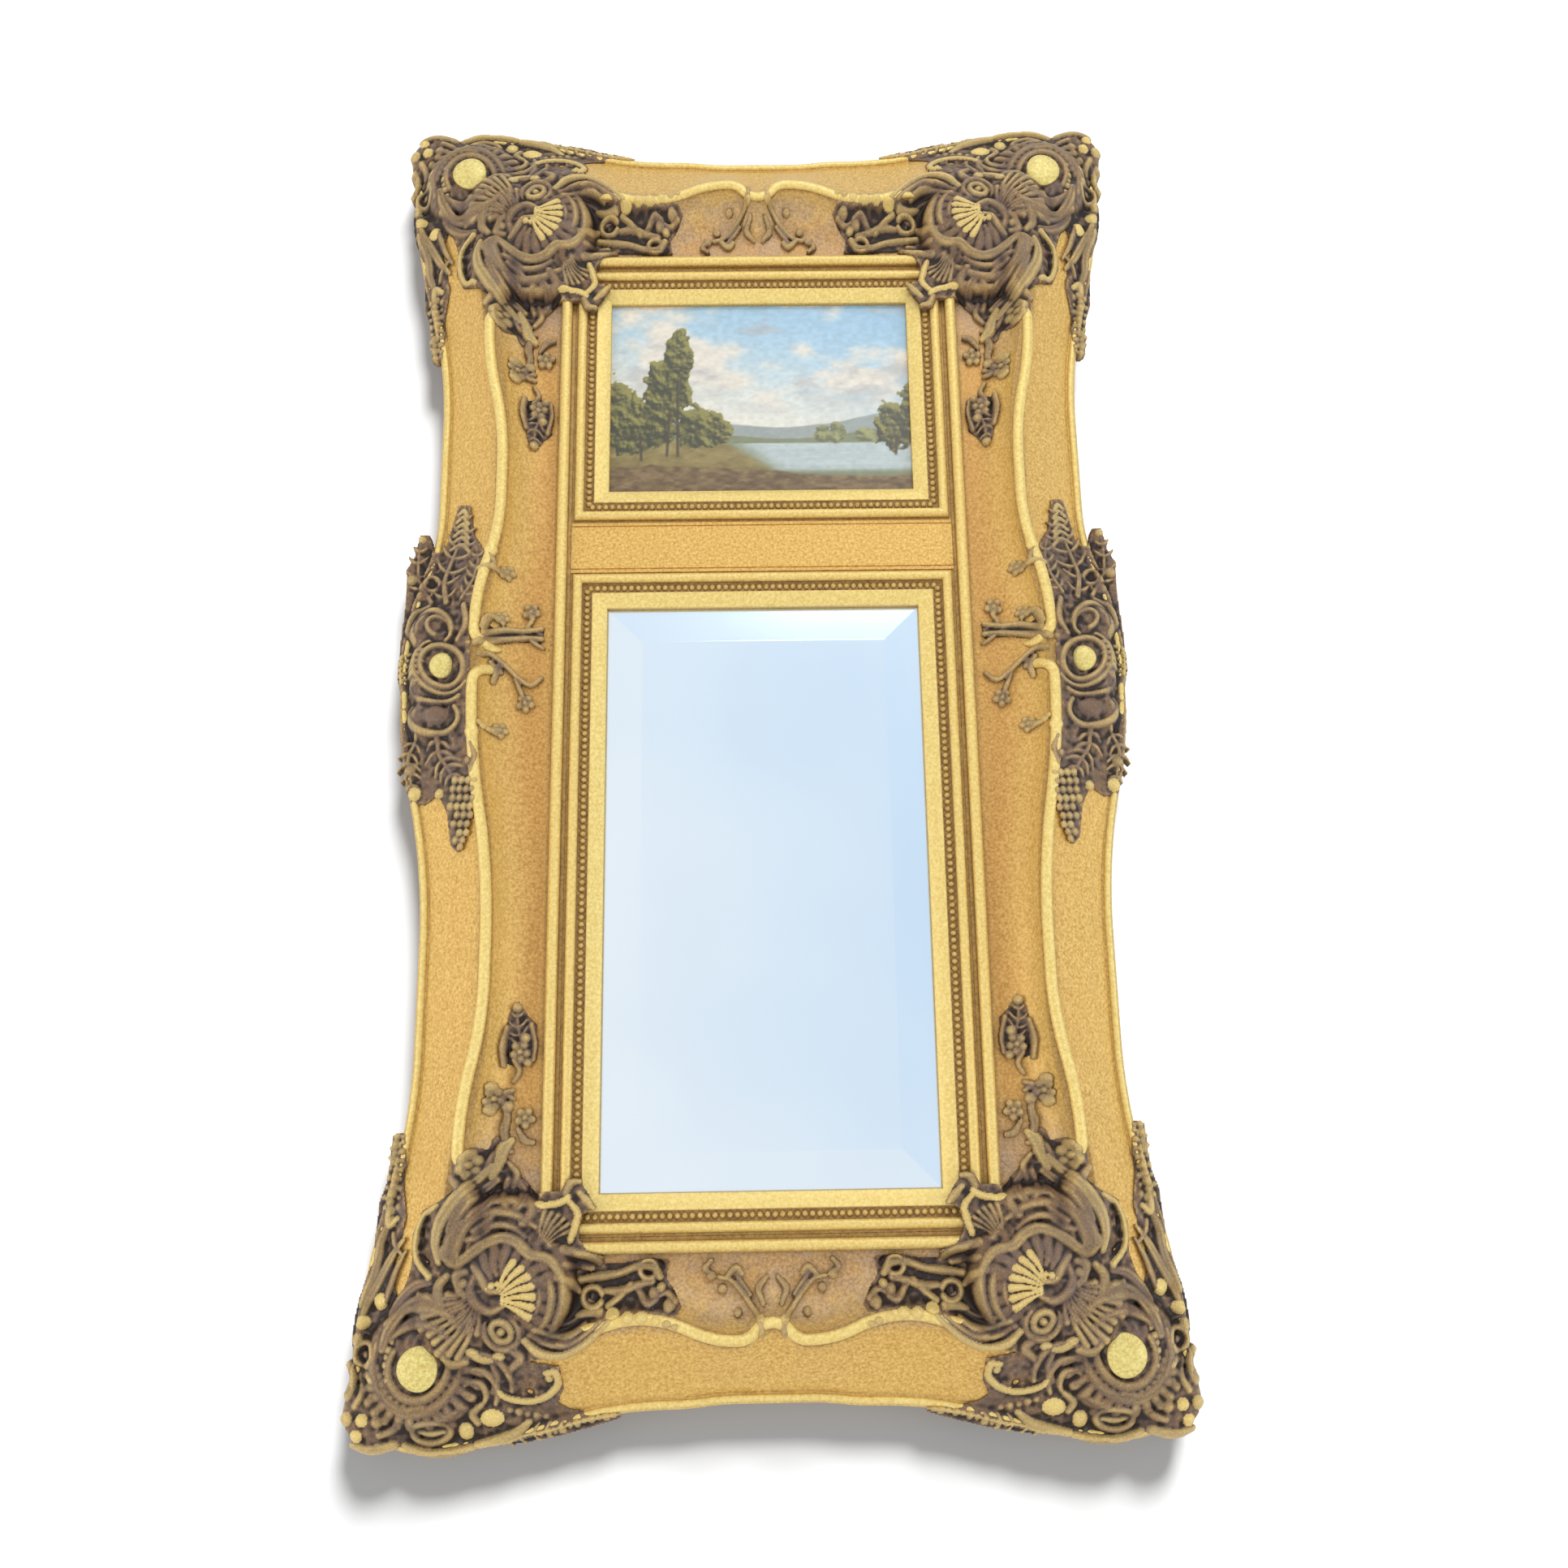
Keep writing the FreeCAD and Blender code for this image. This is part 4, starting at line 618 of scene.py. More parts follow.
# %% Rib profile along a line
def rib_piece(name, side, u, w, line_rib, line_edge, radius=4.6, taper=10, collars=()):
    """Profile r (cos t, sin t) across the line's own normal, r shrinking to the tips."""
    run = np.concatenate([[0], np.cumsum(np.hypot(np.diff(u), np.diff(w)))])
    even = np.linspace(0, run[-1], int(run[-1] / 1.6))
    u, w = np.interp(even, run, u), np.interp(even, run, w)
    du, dw = np.gradient(u), np.gradient(w)
    size = np.hypot(du, dw)
    normal_u, normal_w = -dw / size, du / size
    reach = np.minimum(even, even[-1] - even)
    r = radius * np.clip(0.3 + 0.7 * np.sin(np.clip(reach / taper, 0, 1) * math.pi / 2), 0, 1)
    for where in collars:
        r = r + 1.3 * np.exp(-(((even - where * even[-1]) / 2.2) ** 2))
    turn = np.linspace(0, math.pi, 11)
    across = np.concatenate([np.cos(turn), [-0.96, 0.96]])
    lift = np.concatenate([np.sin(turn), [-0.8, -0.8]])
    base = front(line_rib.outside(u, w), line_edge.outside(u, w))
    kernel = np.ones(9) / 9
    base = np.convolve(np.pad(base, 4, mode="edge"), kernel, mode="valid")
    points = placed(side, u[:, None] + normal_u[:, None] * across * r[:, None],
                    w[:, None] + normal_w[:, None] * across * r[:, None],
                    base[:, None] + lift * r[:, None] * 0.98)
    count = len(across)
    squares = grid_faces(len(u), count, wrap_cols=True)
    top = np.clip(lift, 0, 1)
    # The wash mark darkens the rib's sides down to its foot: painted shade where it meets the moulding.
    marks = {"worn": np.tile(0.3 + 0.7 * top, len(u)), "wash_and_shade": np.tile(np.clip(0.8 - 2.4 * top, 0,
        1), len(u))}
    last = (len(u) - 1) * count
    return points, squares, [np.arange(count)[::-1], np.arange(count) + last], marks


def hooked(line, start, stop, towards, radius=14.0):
    """Line from start to stop, then a quarter turn inward of the given radius, curling on a little."""
    u = np.linspace(start, stop, 120)
    w = line.at(u)
    angle = np.linspace(0, math.radians(112), 24)[1:]
    hook_u = stop + towards * radius * np.sin(angle)
    hook_w = w[-1] - radius * (1 - np.cos(angle))
    return np.concatenate([u, hook_u]), np.concatenate([w, hook_w])


# %% Ribs of the stiles and rails
LOWER = Sweep(first=0.0, length=SIGHT_HEIGHT, stations=[(30, 100), (160, 85), (190, 85),
    (391.5, 103)], reach=105, rounding=65)
UPPER = Sweep(first=0.0, length=SIGHT_HEIGHT, stations=[(437.5, 103), (553, 85), (583, 85),
    (713, 100)], reach=105, rounding=65)
WAVE = Sweep(first=-HALF_SIGHT, length=2 * HALF_SIGHT, stations=[(-138, 91), (-95, 84.5),
    (-25, 100), (0, 88), (25, 100), (95, 84.5), (138, 91)], reach=105, rounding=65)
lower = hooked(LOWER, 22.0, 391.5, 1)
upper = hooked(UPPER, 721.0, 437.5, -1)
for side in ("left", "right"):
    for part, (u, w), collars in (("lower", lower, (0.83,)), ("upper", upper, (0.70,))):
        points, squares, caps, marks = rib_piece("rib", side, u, w, stile_rib, stile_edge,
            collars=collars)
        make_piece(f"{part}_rib_{side}", points, squares, gilt_wood, caps=caps, marks=marks,
                   crease=50.0,
                   stands_for=("stile_ribs",))
for side in ("bottom", "top"):
    u = np.linspace(-138, 138, 240)
    points, squares, caps, marks = rib_piece("rib", side, u, WAVE.at(u), rail_rib, rail_edge,
        radius=4.2)
    make_piece(f"wave_rib_{side}", points, squares, gilt_wood, caps=caps, marks=marks, crease=50.0,
               stands_for=("rail_ribs",))
print("rib lengths, mm:", round(float(np.hypot(np.diff(lower[0]), np.diff(lower[1])).sum())))

# %% [markdown]
# ## Cast ornament: how it is drawn
# On the real frame the shells and leaves are cast in a mould and glued on. They are shallow, so each
# casting here is a height field: a sheet of small squares over the moulding, pushed forward by
# strokes. A stroke has a half-round top and a radius that changes along its line, which is how a
# carver's gouge leaves scrolls, leaf fingers, flutes and knobs. Strokes are drawn as the eye sees
# them on a plane 50 mm in front of the wood's back, and then slid along the line of sight to the
# height of the surface they lie on.

# %% Bed for the castings
EYE = (-1.7, 1106.5, -545.2)


def bed(a, b):
    """Height below a casting at a outward from the side and b outward from the end of the sight."""
    on_stile = a >= b
    q = np.where(on_stile, stile_rib.outside(-b, a), rail_rib.outside(-HALF_SIGHT - a, b))
    p = np.where(on_stile, stile_edge.outside(-b, a), rail_edge.outside(-HALF_SIGHT - a, b))
    inner = np.clip((np.maximum(a, b) - 40.0) / 10.0, 0, 1)
    height = 43.3 + (front(q, p) - 43.3) * inner**2 * (3 - 2 * inner)
    return np.where(p > 0.5, EDGE - 4.0, height)


def settle(points):
    """Slides drawn points (a, b) from the plane at 50 to the bed's height, towards or from the eye."""
    points = np.array(points, float)
    x, z = -(HALF_SIGHT + points[:, 0]), FOOT - points[:, 1]
    for _ in range(3):
        height = bed(-x - HALF_SIGHT, FOOT - z) + 3.0
        share = (EYE[1] - STANDOFF - height) / (EYE[1] - STANDOFF - 50.0)
        x = EYE[0] - (HALF_SIGHT + points[:, 0] + EYE[0]) * share
        z = EYE[2] + (FOOT - points[:, 1] - EYE[2]) * share
    points[:, 0], points[:, 1] = -x - HALF_SIGHT, FOOT - z
    return points


def smooth_line(points, step=1.3):
    """Smooth line through the points, by cubic blends of four neighbours, in steps of about 1.3 mm."""
    points = np.asarray(points, float)
    if len(points) < 2:
        return np.repeat(points, 2, axis=0)
    padded = np.vstack([2 * points[0] - points[1], points, 2 * points[-1] - points[-2]])
    out = []
    for k in range(len(points) - 1):
        p0, p1, p2, p3 = padded[k:k + 4]
        count = max(2, int(np.hypot(*(p2 - p1)[:2]) / step))
        t = np.linspace(0, 1, count, endpoint=False)[:, None]
        out.append(0.5 * (2 * p1 + (p2 - p0) * t + (2 * p0 - 5 * p1 + 4 * p2 - p3) * t**2
                          + (3 * p1 - p0 - 3 * p2 + p3) * t**3))
    out.append(points[-1:])
    return np.vstack(out)


# %% Smooth random fields
def cloudy(x, y, size, seed, layers=4):
    """Sum of layers, each half as big and half as strong: values on a lattice, blended by 3t^2 - 2t^3."""
    rng = np.random.default_rng(seed)
    total, strength = 0.0, 0.0
    for layer in range(layers):
        lattice = rng.random((64, 64))
        u, v = x / size * 2**layer + 7.3 * layer, y / size * 2**layer + 3.1 * layer
        i, j = np.floor(u).astype(int), np.floor(v).astype(int)
        f, g = u - i, v - j
        f, g = f * f * (3 - 2 * f), g * g * (3 - 2 * g)
        i, j, i1, j1 = i % 64, j % 64, (i + 1) % 64, (j + 1) % 64
        value = (lattice[i, j] * (1 - f) + lattice[i1, j] * f) * (1 - g) + (lattice[i,
            j1] * (1 - f) + lattice[i1, j1] * f) * g
        total = total + value / 2**layer
        strength += 1 / 2**layer
    return total / strength


# %% Carving strokes
class Carving:
    """A casting as heights over its bed, on a grid of a and b in millimetres."""

    def __init__(self, a_from, a_to, b_from, b_to, pitch):
        self.a, self.b = np.meshgrid(np.arange(a_from, a_to, pitch), np.arange(b_from, b_to, pitch),
                                     indexing="ij")
        self.pitch = pitch
        self.low = bed(self.a, self.b)
        self.ground = self.low.copy()
        self.h = np.full(self.a.shape, -9.0)
        self.gilt = np.zeros(self.a.shape)

    def window(self, points, margin):
        """Rows and columns of the grid near some points."""
        low = ((points[:, :2].min(axis=0) - margin - [self.a[0, 0],
            self.b[0, 0]]) / self.pitch).astype(int)
        high = ((points[:, :2].max(axis=0) + margin - [self.a[0, 0],
            self.b[0, 0]]) / self.pitch).astype(int) + 2
        low, high = np.maximum(low, 0), np.maximum(high, 0)
        return slice(low[0], high[0]), slice(low[1], high[1])

    def lay(self, where, height, inside, gilt=0.0):
        """Keeps the higher of what is there and the new height, and its share of rubbed gold."""
        wins = inside & (height > self.h[where])
        self.h[where] = np.where(wins, height, self.h[where])
        self.gilt[where] = np.where(wins, gilt, self.gilt[where])

    def sheet(self, outline, thickness=1.2):
        """Thin ground inside an outline, by counting how often a ray from each point crosses it."""
        corners = settle(outline)
        inside = np.zeros(self.a.shape, bool)
        for (a0, b0), (a1, b1) in zip(corners, np.roll(corners, -1, axis=0)):
            crosses = (b0 > self.b) != (b1 > self.b)
            reach = a0 + (self.b - b0) * (a1 - a0) / (b1 - b0 if b1 != b0 else 1e-9)
            inside ^= crosses & (self.a < reach)
        whole = (slice(None), slice(None))
        self.lay(whole, np.full(self.a.shape, thickness), inside)

    def mound(self, spot, radius, crown, lip):
        """Raises the ground to a dome lip + (crown - lip) (1 - (distance / radius)^2), its foot blurred."""
        (a, b), = settle([spot])[:, :2]
        ratio = np.hypot((self.a - a) / radius[0], (self.b - b) / radius[1])
        dome = np.where(ratio < 1, lip + (crown - lip) * (1 - ratio**2), self.ground)
        raised = np.maximum(self.ground, dome)
        self.ground = np.where(ratio < 1.1, blurred(raised, 3), self.ground)

    def stroke(self, points, height, gilt=0.0, crease=0.0, lift=1.0, true=False):
        """Half-round stroke: lift + height sqrt(1 - (distance / radius)^2), lower where it is thin."""
        points = np.array([(p + (2.0,))[:3] if len(p) == 2 else p for p in points], float)
        line = smooth_line(points if true else settle(points))
        widest = line[:, 2].max()
        where = self.window(line, widest + 1)
        a, b = self.a[where], self.b[where]
        if a.size == 0:
            return
        start, step = line[:-1], np.diff(line, axis=0)
        length = np.maximum((step[:, :2] ** 2).sum(axis=1), 1e-9)
        ga, gb = a.ravel()[:, None] - start[:, 0], b.ravel()[:, None] - start[:, 1]
        t = np.clip((ga * step[:, 0] + gb * step[:, 1]) / length, 0, 1)
        radius = np.maximum(start[:, 2] + t * step[:, 2], 0.3)
        ratio = np.hypot(ga - t * step[:, 0], gb - t * step[:, 1]) / radius
        best = ratio.argmin(axis=1)
        rows = np.arange(len(best))
        ratio, radius = ratio[rows, best], radius[rows, best]
        rise = height * (0.4 + 0.6 * radius / widest) * np.sqrt(np.clip(1 - ratio**2, 0, 1))
        if crease:
            rise = rise * (1 - crease * np.exp(-((ratio / 0.28) ** 2)))
        self.lay(where, (lift + rise).reshape(a.shape), (ratio < 1).reshape(a.shape), gilt)

    def knob(self, a, b, radius, height, gilt=0.0, across=None):
        """Oval dome."""
        (a, b), = settle([(a, b)])[:, :2]
        across = across or radius
        where = self.window(np.array([[a, b]]), max(radius, across) + 1)
        ratio = np.hypot((self.a[where] - a) / radius, (self.b[where] - b) / across)
        self.lay(where, 1.0 + height * np.sqrt(np.clip(1 - ratio**2, 0, 1)), ratio < 1, gilt)

    def arc(self, a, b, radius, start, stop, thick, height, gilt=0.0, squash=1.0, thin=None):
        """Stroke along a circle: angle 0 points to the middle of the frame, 90 up."""
        angle = np.radians(np.linspace(start, stop, max(4, int(abs(stop - start) / 14))))
        share = np.sin(np.linspace(0, math.pi, len(angle)))
        size = thick if thin is None else thin + (thick - thin) * share
        points = np.stack([a - radius * np.cos(angle), b - radius * squash * np.sin(angle),
                           size + 0 * angle], axis=-1)
        self.stroke([tuple(p) for p in points], height, gilt)

    def fan(self, a, b, radius, start, stop, count, height, inner=0.25, gilt=0.0, swell=0.96,
            wave=0.0):
        """Flutes from a hub: each widens outward so that neighbours just touch, and ends round."""
        half = math.radians(abs(stop - start) / count) / 2
        for k, angle in enumerate(np.radians(np.linspace(start, stop, count))):
            reach = radius * (1 + wave * math.cos(k * 2.1))
            s = np.array([inner, 0.6, 1.0 - half * 0.5]) * reach
            bend = angle + np.array([0.0, 0.05, 0.0])
            size = np.maximum(s * math.sin(half) * swell, 0.6)
            points = np.stack([a - s * np.cos(bend), b - s * np.sin(bend), size], axis=-1)
            self.stroke([tuple(p) for p in points], height, gilt)

    def leaf(self, points, width, height, fingers=5, gilt=0.0, sides=(1, -1)):
        """Acanthus: a creased middle stroke, and fingers that leave it forward on each side."""
        line = smooth_line(np.array([(*p[:2], 1.0) for p in points], float), 2.0)
        run = np.linspace(0, 1, len(line))
        for side in sides:
            for k in range(fingers):
                at = (k + 0.5) / (fingers + 0.4)
                i = int(at * (len(line) - 2))
                ahead = line[i + 1, :2] - line[i, :2]
                ahead /= max(np.hypot(*ahead), 1e-6)
                away = np.array([-ahead[1], ahead[0]]) * side
                size = width * math.sin(math.pi * (0.16 + 0.8 * at)) ** 0.8
                tip = line[i, :2] + ahead * size * 0.75 + away * size
                mid = line[i, :2] + ahead * size * 0.25 + away * size * 0.55
                thick = max(width / fingers * 0.95, 1.1)
                self.stroke([(*line[i, :2], thick * 0.7), (*mid, thick), (*tip, thick * 0.55)],
                            height * 0.75, gilt)
        thick = max(width * 0.22, 1.2)
        size = thick * (1.05 - 0.7 * run)
        self.stroke([tuple(p) for p in np.column_stack([line[::2, :2], size[::2]])], height, gilt,
                    crease=0.25)

    def flower(self, a, b, radius, petals, height, gilt=0.0):
        """Petals round a small knob."""
        for angle in np.linspace(0, 2 * math.pi, petals, endpoint=False) + 0.4:
            ca, cb = a + 0.62 * radius * math.cos(angle), b + 0.62 * radius * math.sin(angle)
            self.knob(ca, cb, radius * 0.42, height * 0.8, gilt)
        self.knob(a, b, radius * 0.3, height * 1.1, gilt)

    def string(self, points, pitch, radius, height, gilt=0.0):
        """Knobs at equal steps along a line, big and small in turn."""
        line = smooth_line(np.array([(*p[:2], 1.0) for p in points], float), 0.5)
        run = np.concatenate([[0], np.cumsum(np.hypot(*np.diff(line[:, :2], axis=0).T))])
        for k, at in enumerate(np.arange(0, run[-1], pitch)):
            a, b = np.interp(at, run, line[:, 0]), np.interp(at, run, line[:, 1])
            self.knob(a, b, radius * (1.0 if k % 2 else 0.78), height * (1.0 if k % 2 else 0.8),
                      gilt)

    def cut(self, points, depth):
        """Gouges a trough where the ornament already is."""
        line = smooth_line(settle(np.array(points, float)))
        where = self.window(line, line[:, 2].max() + 1)
        gap = np.hypot(self.a[where][..., None] - line[:, 0],
                       self.b[where][..., None] - line[:, 1]) / line[:, 2]
        near = gap.min(axis=-1)
        trough = depth * np.clip(1 - near**2, 0, 1)
        here = self.h[where]
        self.h[where] = np.where(here > -8, np.maximum(here - trough, 0.2), here)


# %% Blur for hollows and highlights
def blurred(field, cells):
    """Mean over a square of cells, by running sums along both directions, done twice."""
    for _ in range(2):
        for axis in (0, 1):
            pad = [(0, 0), (0, 0)]
            pad[axis] = (cells + 1, cells)
            run = np.cumsum(np.pad(field, pad, mode="edge"), axis=axis)
            high = np.take(run, np.arange(2 * cells + 1, run.shape[axis]), axis=axis)
            low = np.take(run, np.arange(0, run.shape[axis] - 2 * cells - 1), axis=axis)
            field = (high - low) / (2 * cells + 1)
    return field


# %% Casting to closed mesh
def casting(name, carving, flips, material, nodes):
    """Front, back and walls of the carved area; flips = (mirrored left-right, upside down)."""
    c = carving
    inside = c.h > -8
    lumps = 1 - 2 * np.abs(cloudy(c.a, c.b, 7.5, 41, 2) * 2 - 1)
    swirl = cloudy(c.a * 0.9 + 6 * cloudy(c.a, c.b, 18, 43, 2), c.b * 0.9, 4.2, 42, 2) - 0.5
    height = np.where(inside, c.h, 0.0)
    valley_share = np.clip((3.4 - height) / 2.4, 0.12, 1)
    height = height + inside * valley_share * (1.5 * lumps + 2.2 * swirl)
    top = c.ground + height
    top = np.where(inside, 0.45 * top + 0.55 * blurred(top, 1), top)
    near, wide = blurred(top, 2), blurred(top, 6)
    # Relief against its blur: gold on ridges is rubbed gilt and also a painted highlight, and dark in
    # cavities is wash and also painted shade.
    rub_and_highlight = np.clip((top - near) / 0.8 + 0.05 * (top - wide) - 0.3, 0, 1)
    wash_and_shade = np.clip((wide - top) / 2.6 + (near - top) / 1.1 - 0.1, 0, 1)
    numbers = np.arange(c.a.size).reshape(c.a.shape)
    whole = inside[:-1, :-1] & inside[1:, :-1] & inside[1:, 1:] & inside[:-1, 1:]
    squares = np.stack([numbers[:-1, :-1][whole], numbers[1:, :-1][whole], numbers[1:, 1:][whole],
                        numbers[:-1, 1:][whole]], axis=-1)
    used, squares = np.unique(squares, return_inverse=True)
    squares = squares.reshape(-1, 4)
    total = len(used)
    starts, ends = squares.ravel(), np.roll(squares, -1, axis=1).ravel()
    rim = ~np.isin(starts * total + ends, ends * total + starts)
    walls = np.stack([ends[rim], starts[rim], starts[rim] + total, ends[rim] + total], axis=-1)
    faces = np.vstack([squares, squares[:, ::-1] + total, walls])
    a, b, d = c.a.ravel()[used], c.b.ravel()[used], top.ravel()[used]
    low = np.where(c.low.ravel()[used] < EDGE - 1, 12.0, c.low.ravel()[used] - 3.5)
    low = np.minimum(low, d - 1.0)
    a, b, d = np.tile(a, 2), np.tile(b, 2), np.concatenate([d, low])
    x = (HALF_SIGHT + a) * (1 if flips[0] else -1)
    z = HEAD + b if flips[1] else FOOT - b
    points = np.stack([x, -(STANDOFF + d), z], axis=-1) / 1000.0
    marks = {
        "rub_and_highlight": np.concatenate([rub_and_highlight.ravel()[used], np.zeros(total)]),
        "wash_and_shade": np.concatenate([wash_and_shade.ravel()[used], np.full(total, 0.3)]),
        "rubbed": np.concatenate([c.gilt.ravel()[used], np.zeros(total)]),
    }
    piece = make_piece(name, points, faces, material, marks=marks, crease=75.0, stands_for=nodes)
    print(name, "triangles", 2 * len(faces))
    return piece


# %% [markdown]
# ## Finish of the castings
# The castings are toned: an umber and mauve-grey wash over the gold, nearly black in the deep cuts,
# where the black is painted shade as well as wash, and rubbed back to gold on the ridges and knobs,
# where the gold on convex ridges is also a painted highlight. The marks of the carving say which
# is which, and noise breaks up every border.

# %% Toned casting
def toned(name):
    """Umber wash mixed to gold on convex ridges (rubbed gilt and painted highlight) and on rubbed strokes,
    and to black-brown in cavities (dark wash and painted shade).
    """
    f = Finish(name, metallic=0.15, roughness=0.5)
    fine = f.noise(700.0, 4.0, 0.7, 0.3, 0.7)
    blotch = f.noise(70.0, 4.0, 0.6, 0.35, 0.68)
    wash = f.mix(fine, paint(80, 60, 48), paint(132, 108, 90))
    wash = f.mix(f.sum(blotch, 0.6), wash, f.mix(fine, paint(112, 78, 42), paint(164, 126, 76)))
    wash = f.mix(f.sum(f.noise(34.0, 3.0, 0.5, 0.5, 0.72), 0.5), wash, paint(122, 102, 96))
    gold = f.mix(fine, paint(166, 132, 80), paint(220, 192, 132))
    # Gold on convex ridges: rubbed gilt and a painted highlight.
    rub = f.sum(f.sum(f.mark("rub_and_highlight"), f.spread(blotch, 0, 1, 0.55, 1.0)), f.mark("rubbed"), "ADD")
    tone = f.mix(rub, wash, gold)
    tone = f.mix(f.sum(f.mark("rubbed"), 0.85), tone, f.mix(fine, paint(226, 190, 104),
        paint(250, 230, 150)))
    # Near-black in cavities: dark wash and painted shade.
    dark = f.sum(f.mark("wash_and_shade"), f.sum(f.mark("rubbed"), -0.5, "MULTIPLY", clamp=False), "ADD")
    f.colour(f.mix(dark, tone, paint(36, 22, 15)))
    f.roughness(f.spread(fine, 0, 1, 0.42, 0.6))
    f.bump(f.noise(520.0, 3.0, 0.6), 0.0004, 0.5)
    return f.material


toned_shaded_casting = toned("toned_shaded_casting")

# %% [markdown]
# ## Corner castings
# Each corner carries a big fluted shell in the cove, a hood and acanthus leaf above it, a toothed
# cartouche with a round cabochon at the very corner, a small bracket across the inner mitre, and a
# fringe of knobs and leaves that hangs over the outer edge. All four are mirror images of one.

# %% Corner: ground and shell
corner = Carving(-30, 184, -60, 184, 0.85)
corner.mound((58, 62), (45, 45), 66, 50)
corner.mound((97, 86), (32, 30), 66, 54)
corner.mound((121, 114), (42, 42), 54, 40)
corner.mound((103, 24), (20, 36), 64, 56)
corner.mound((62, 20), (34, 22), 56, 46)
corner.mound((152, 148), (26, 24), 36, 26)
corner.sheet([(143, -46), (150, -45), (152, -15), (158, 3), (160, 42), (168, 66), (171, 80),
              (172, 92), (171, 108), (172, 125),
              (174, 140), (171, 153), (160, 164), (150, 167), (140, 166), (124, 169), (107, 172),
              (90, 172), (73, 168), (48, 166),
              (23, 162), (-2, 156), (-20, 151), (-20, 147), (0, 147), (16, 144), (24, 140),
              (20, 130), (24, 116), (36, 114),
              (46, 112), (30, 111), (12, 106), (0, 97), (-8, 90), (-14, 85), (-6, 76), (4, 70),
              (12, 60), (12, 52), (2, 50),
              (-8, 50), (-6, 42), (6, 38), (12, 28), (10, 14), (0, 8), (6, -2), (14, -13),
              (22, -12), (26, -4), (44, -3),
              (52, -12), (60, -20), (66, -30), (62, -40), (74, -44), (80, -34), (90, -36),
              (105, -32), (107, -14), (104, -6),
              (114, 2), (126, 8), (132, 24), (132, 46), (136, 60), (141, 68), (145, 50), (140, 30),
              (137, 12), (140, -10), (139, -46)])
corner.fan(62, 66, 38, 20, 150, 9, 3.0, inner=0.4, swell=1.05)
corner.fan(64, 66, 37, -62, 14, 6, 2.4, inner=0.5, swell=1.1)
corner.fan(67, 67, 29, -28, 62, 7, 4.4, inner=0.2, gilt=0.75)
corner.stroke([(104, 44, 3), (94, 43, 4.2), (84, 36, 4.6), (74, 29.5, 4.6), (62, 26.5, 4.4),
               (52, 30, 4.2), (44, 38, 4), (34, 41, 3.6), (26, 46, 3.4), (20, 56, 2.6)], 6.0, 0.12,
               crease=0.15)
corner.arc(60, 66, 41, -52, 22, 4.6, 4.6, 0.05, thin=2.4)
corner.arc(60, 67, 33, -48, 26, 3.2, 4.0, 0.1, thin=1.6)
corner.arc(61, 66, 26, -30, 10, 2.4, 3.8, 0.0, thin=1.2)
corner.arc(66, 42, 24, 40, 160, 3.4, 4.4, thin=1.8)
corner.arc(66, 40, 31, 38, 150, 3.8, 4.6, 0.05, thin=1.8)
corner.arc(64, 40, 39, 52, 128, 3.6, 4.2, thin=1.8)
corner.arc(64, 91, 7.5, 0, 330, 3.0, 5.0, 0.2)
corner.arc(64, 91, 13.0, 150, 400, 3.2, 4.6, 0.05, thin=1.6)
corner.knob(64, 91, 3.6, 5.5, 0.2)
corner.fan(78, 68, 46, 178, 248, 9, 5.0, inner=0.35, wave=0.06, gilt=0.12, swell=1.05)
corner.fan(78, 66, 28, 180, 262, 7, 4.6, inner=0.3, swell=1.1)
corner.stroke([(60, 72, 2), (70, 76, 3.4), (80, 72, 4), (86, 62, 4), (82, 52, 3.2)], 4.8)
corner.stroke([(64, 62, 2), (72, 60, 3.2), (78, 52, 3.4), (84, 46, 2.6)], 4.4, 0.1)
corner.stroke([(90, 50, 3.4), (98, 54, 4.2), (96, 62, 3.6), (90, 66, 3)], 4.8, 0.1)
corner.knob(92, 58, 4.4, 5.0, 0.15)
corner.string([(72, 60), (66, 57), (60, 58)], 4.2, 2.4, 5.6, 0.7)

# %% Corner: leaf and hood
corner.stroke([(86, 14, 4), (94, 20, 6), (101, 30, 8), (103, 40, 7), (96, 45, 5)], 6.5, 0.05,
              crease=0.12)
corner.stroke([(112, 44, 2.6), (114, 32, 4), (112, 18, 5), (104, 4, 5.4), (94, -6, 5), (84, -14, 4),
               (76, -22, 3)], 7.0, 0.22, crease=0.2)
corner.stroke([(104, 22, 4), (98, 10, 5.4), (90, 1, 5.4), (80, -6, 4.6), (72, -12, 3)], 6.0, 0.05,
              crease=0.25)
corner.stroke([(94, 20, 3.4), (86, 12, 4.6), (77, 4, 4.4), (71, -4, 3)], 5.4, 0.0, crease=0.2)
corner.stroke([(84, 22, 3), (76, 16, 3.6), (68, 8, 3)], 4.8)
corner.stroke([(88, 28, 3), (80, 26, 3.4), (70, 18, 2.6)], 4.6)
corner.arc(103, 37, 6, 120, 480, 2.6, 5.0, 0.15)
corner.stroke([(76, -14, 3), (71, -24, 4.4), (68, -34, 5.4), (62, -40, 3)], 6.0, 0.3, crease=0.2)
corner.stroke([(82, -18, 2.5), (74, -30, 3.4), (62, -32, 2.4)], 4.6)
corner.stroke([(64, -24, 2.4), (58, -16, 3.4), (60, -6, 3.4)], 4.2)
corner.stroke([(56, -10, 3), (51, 0, 4.4), (56, 9, 3.4)], 4.6, crease=0.2)
corner.stroke([(49, 0, 3), (44, 8, 4.2), (49, 17, 4)], 4.4)
corner.stroke([(64, -12, 3), (66, -2, 3.6), (62, 6, 3)], 4.4)
corner.stroke([(115, 5, 1.8), (125, 13, 2.4), (129, 28, 2.8), (128, 42, 2.6), (119, 54, 2.8)], 6.0,
              0.5)
corner.cut([(120, 12, 4.0), (123, 24, 5), (122, 38, 5), (118, 46, 3.5)], 3)
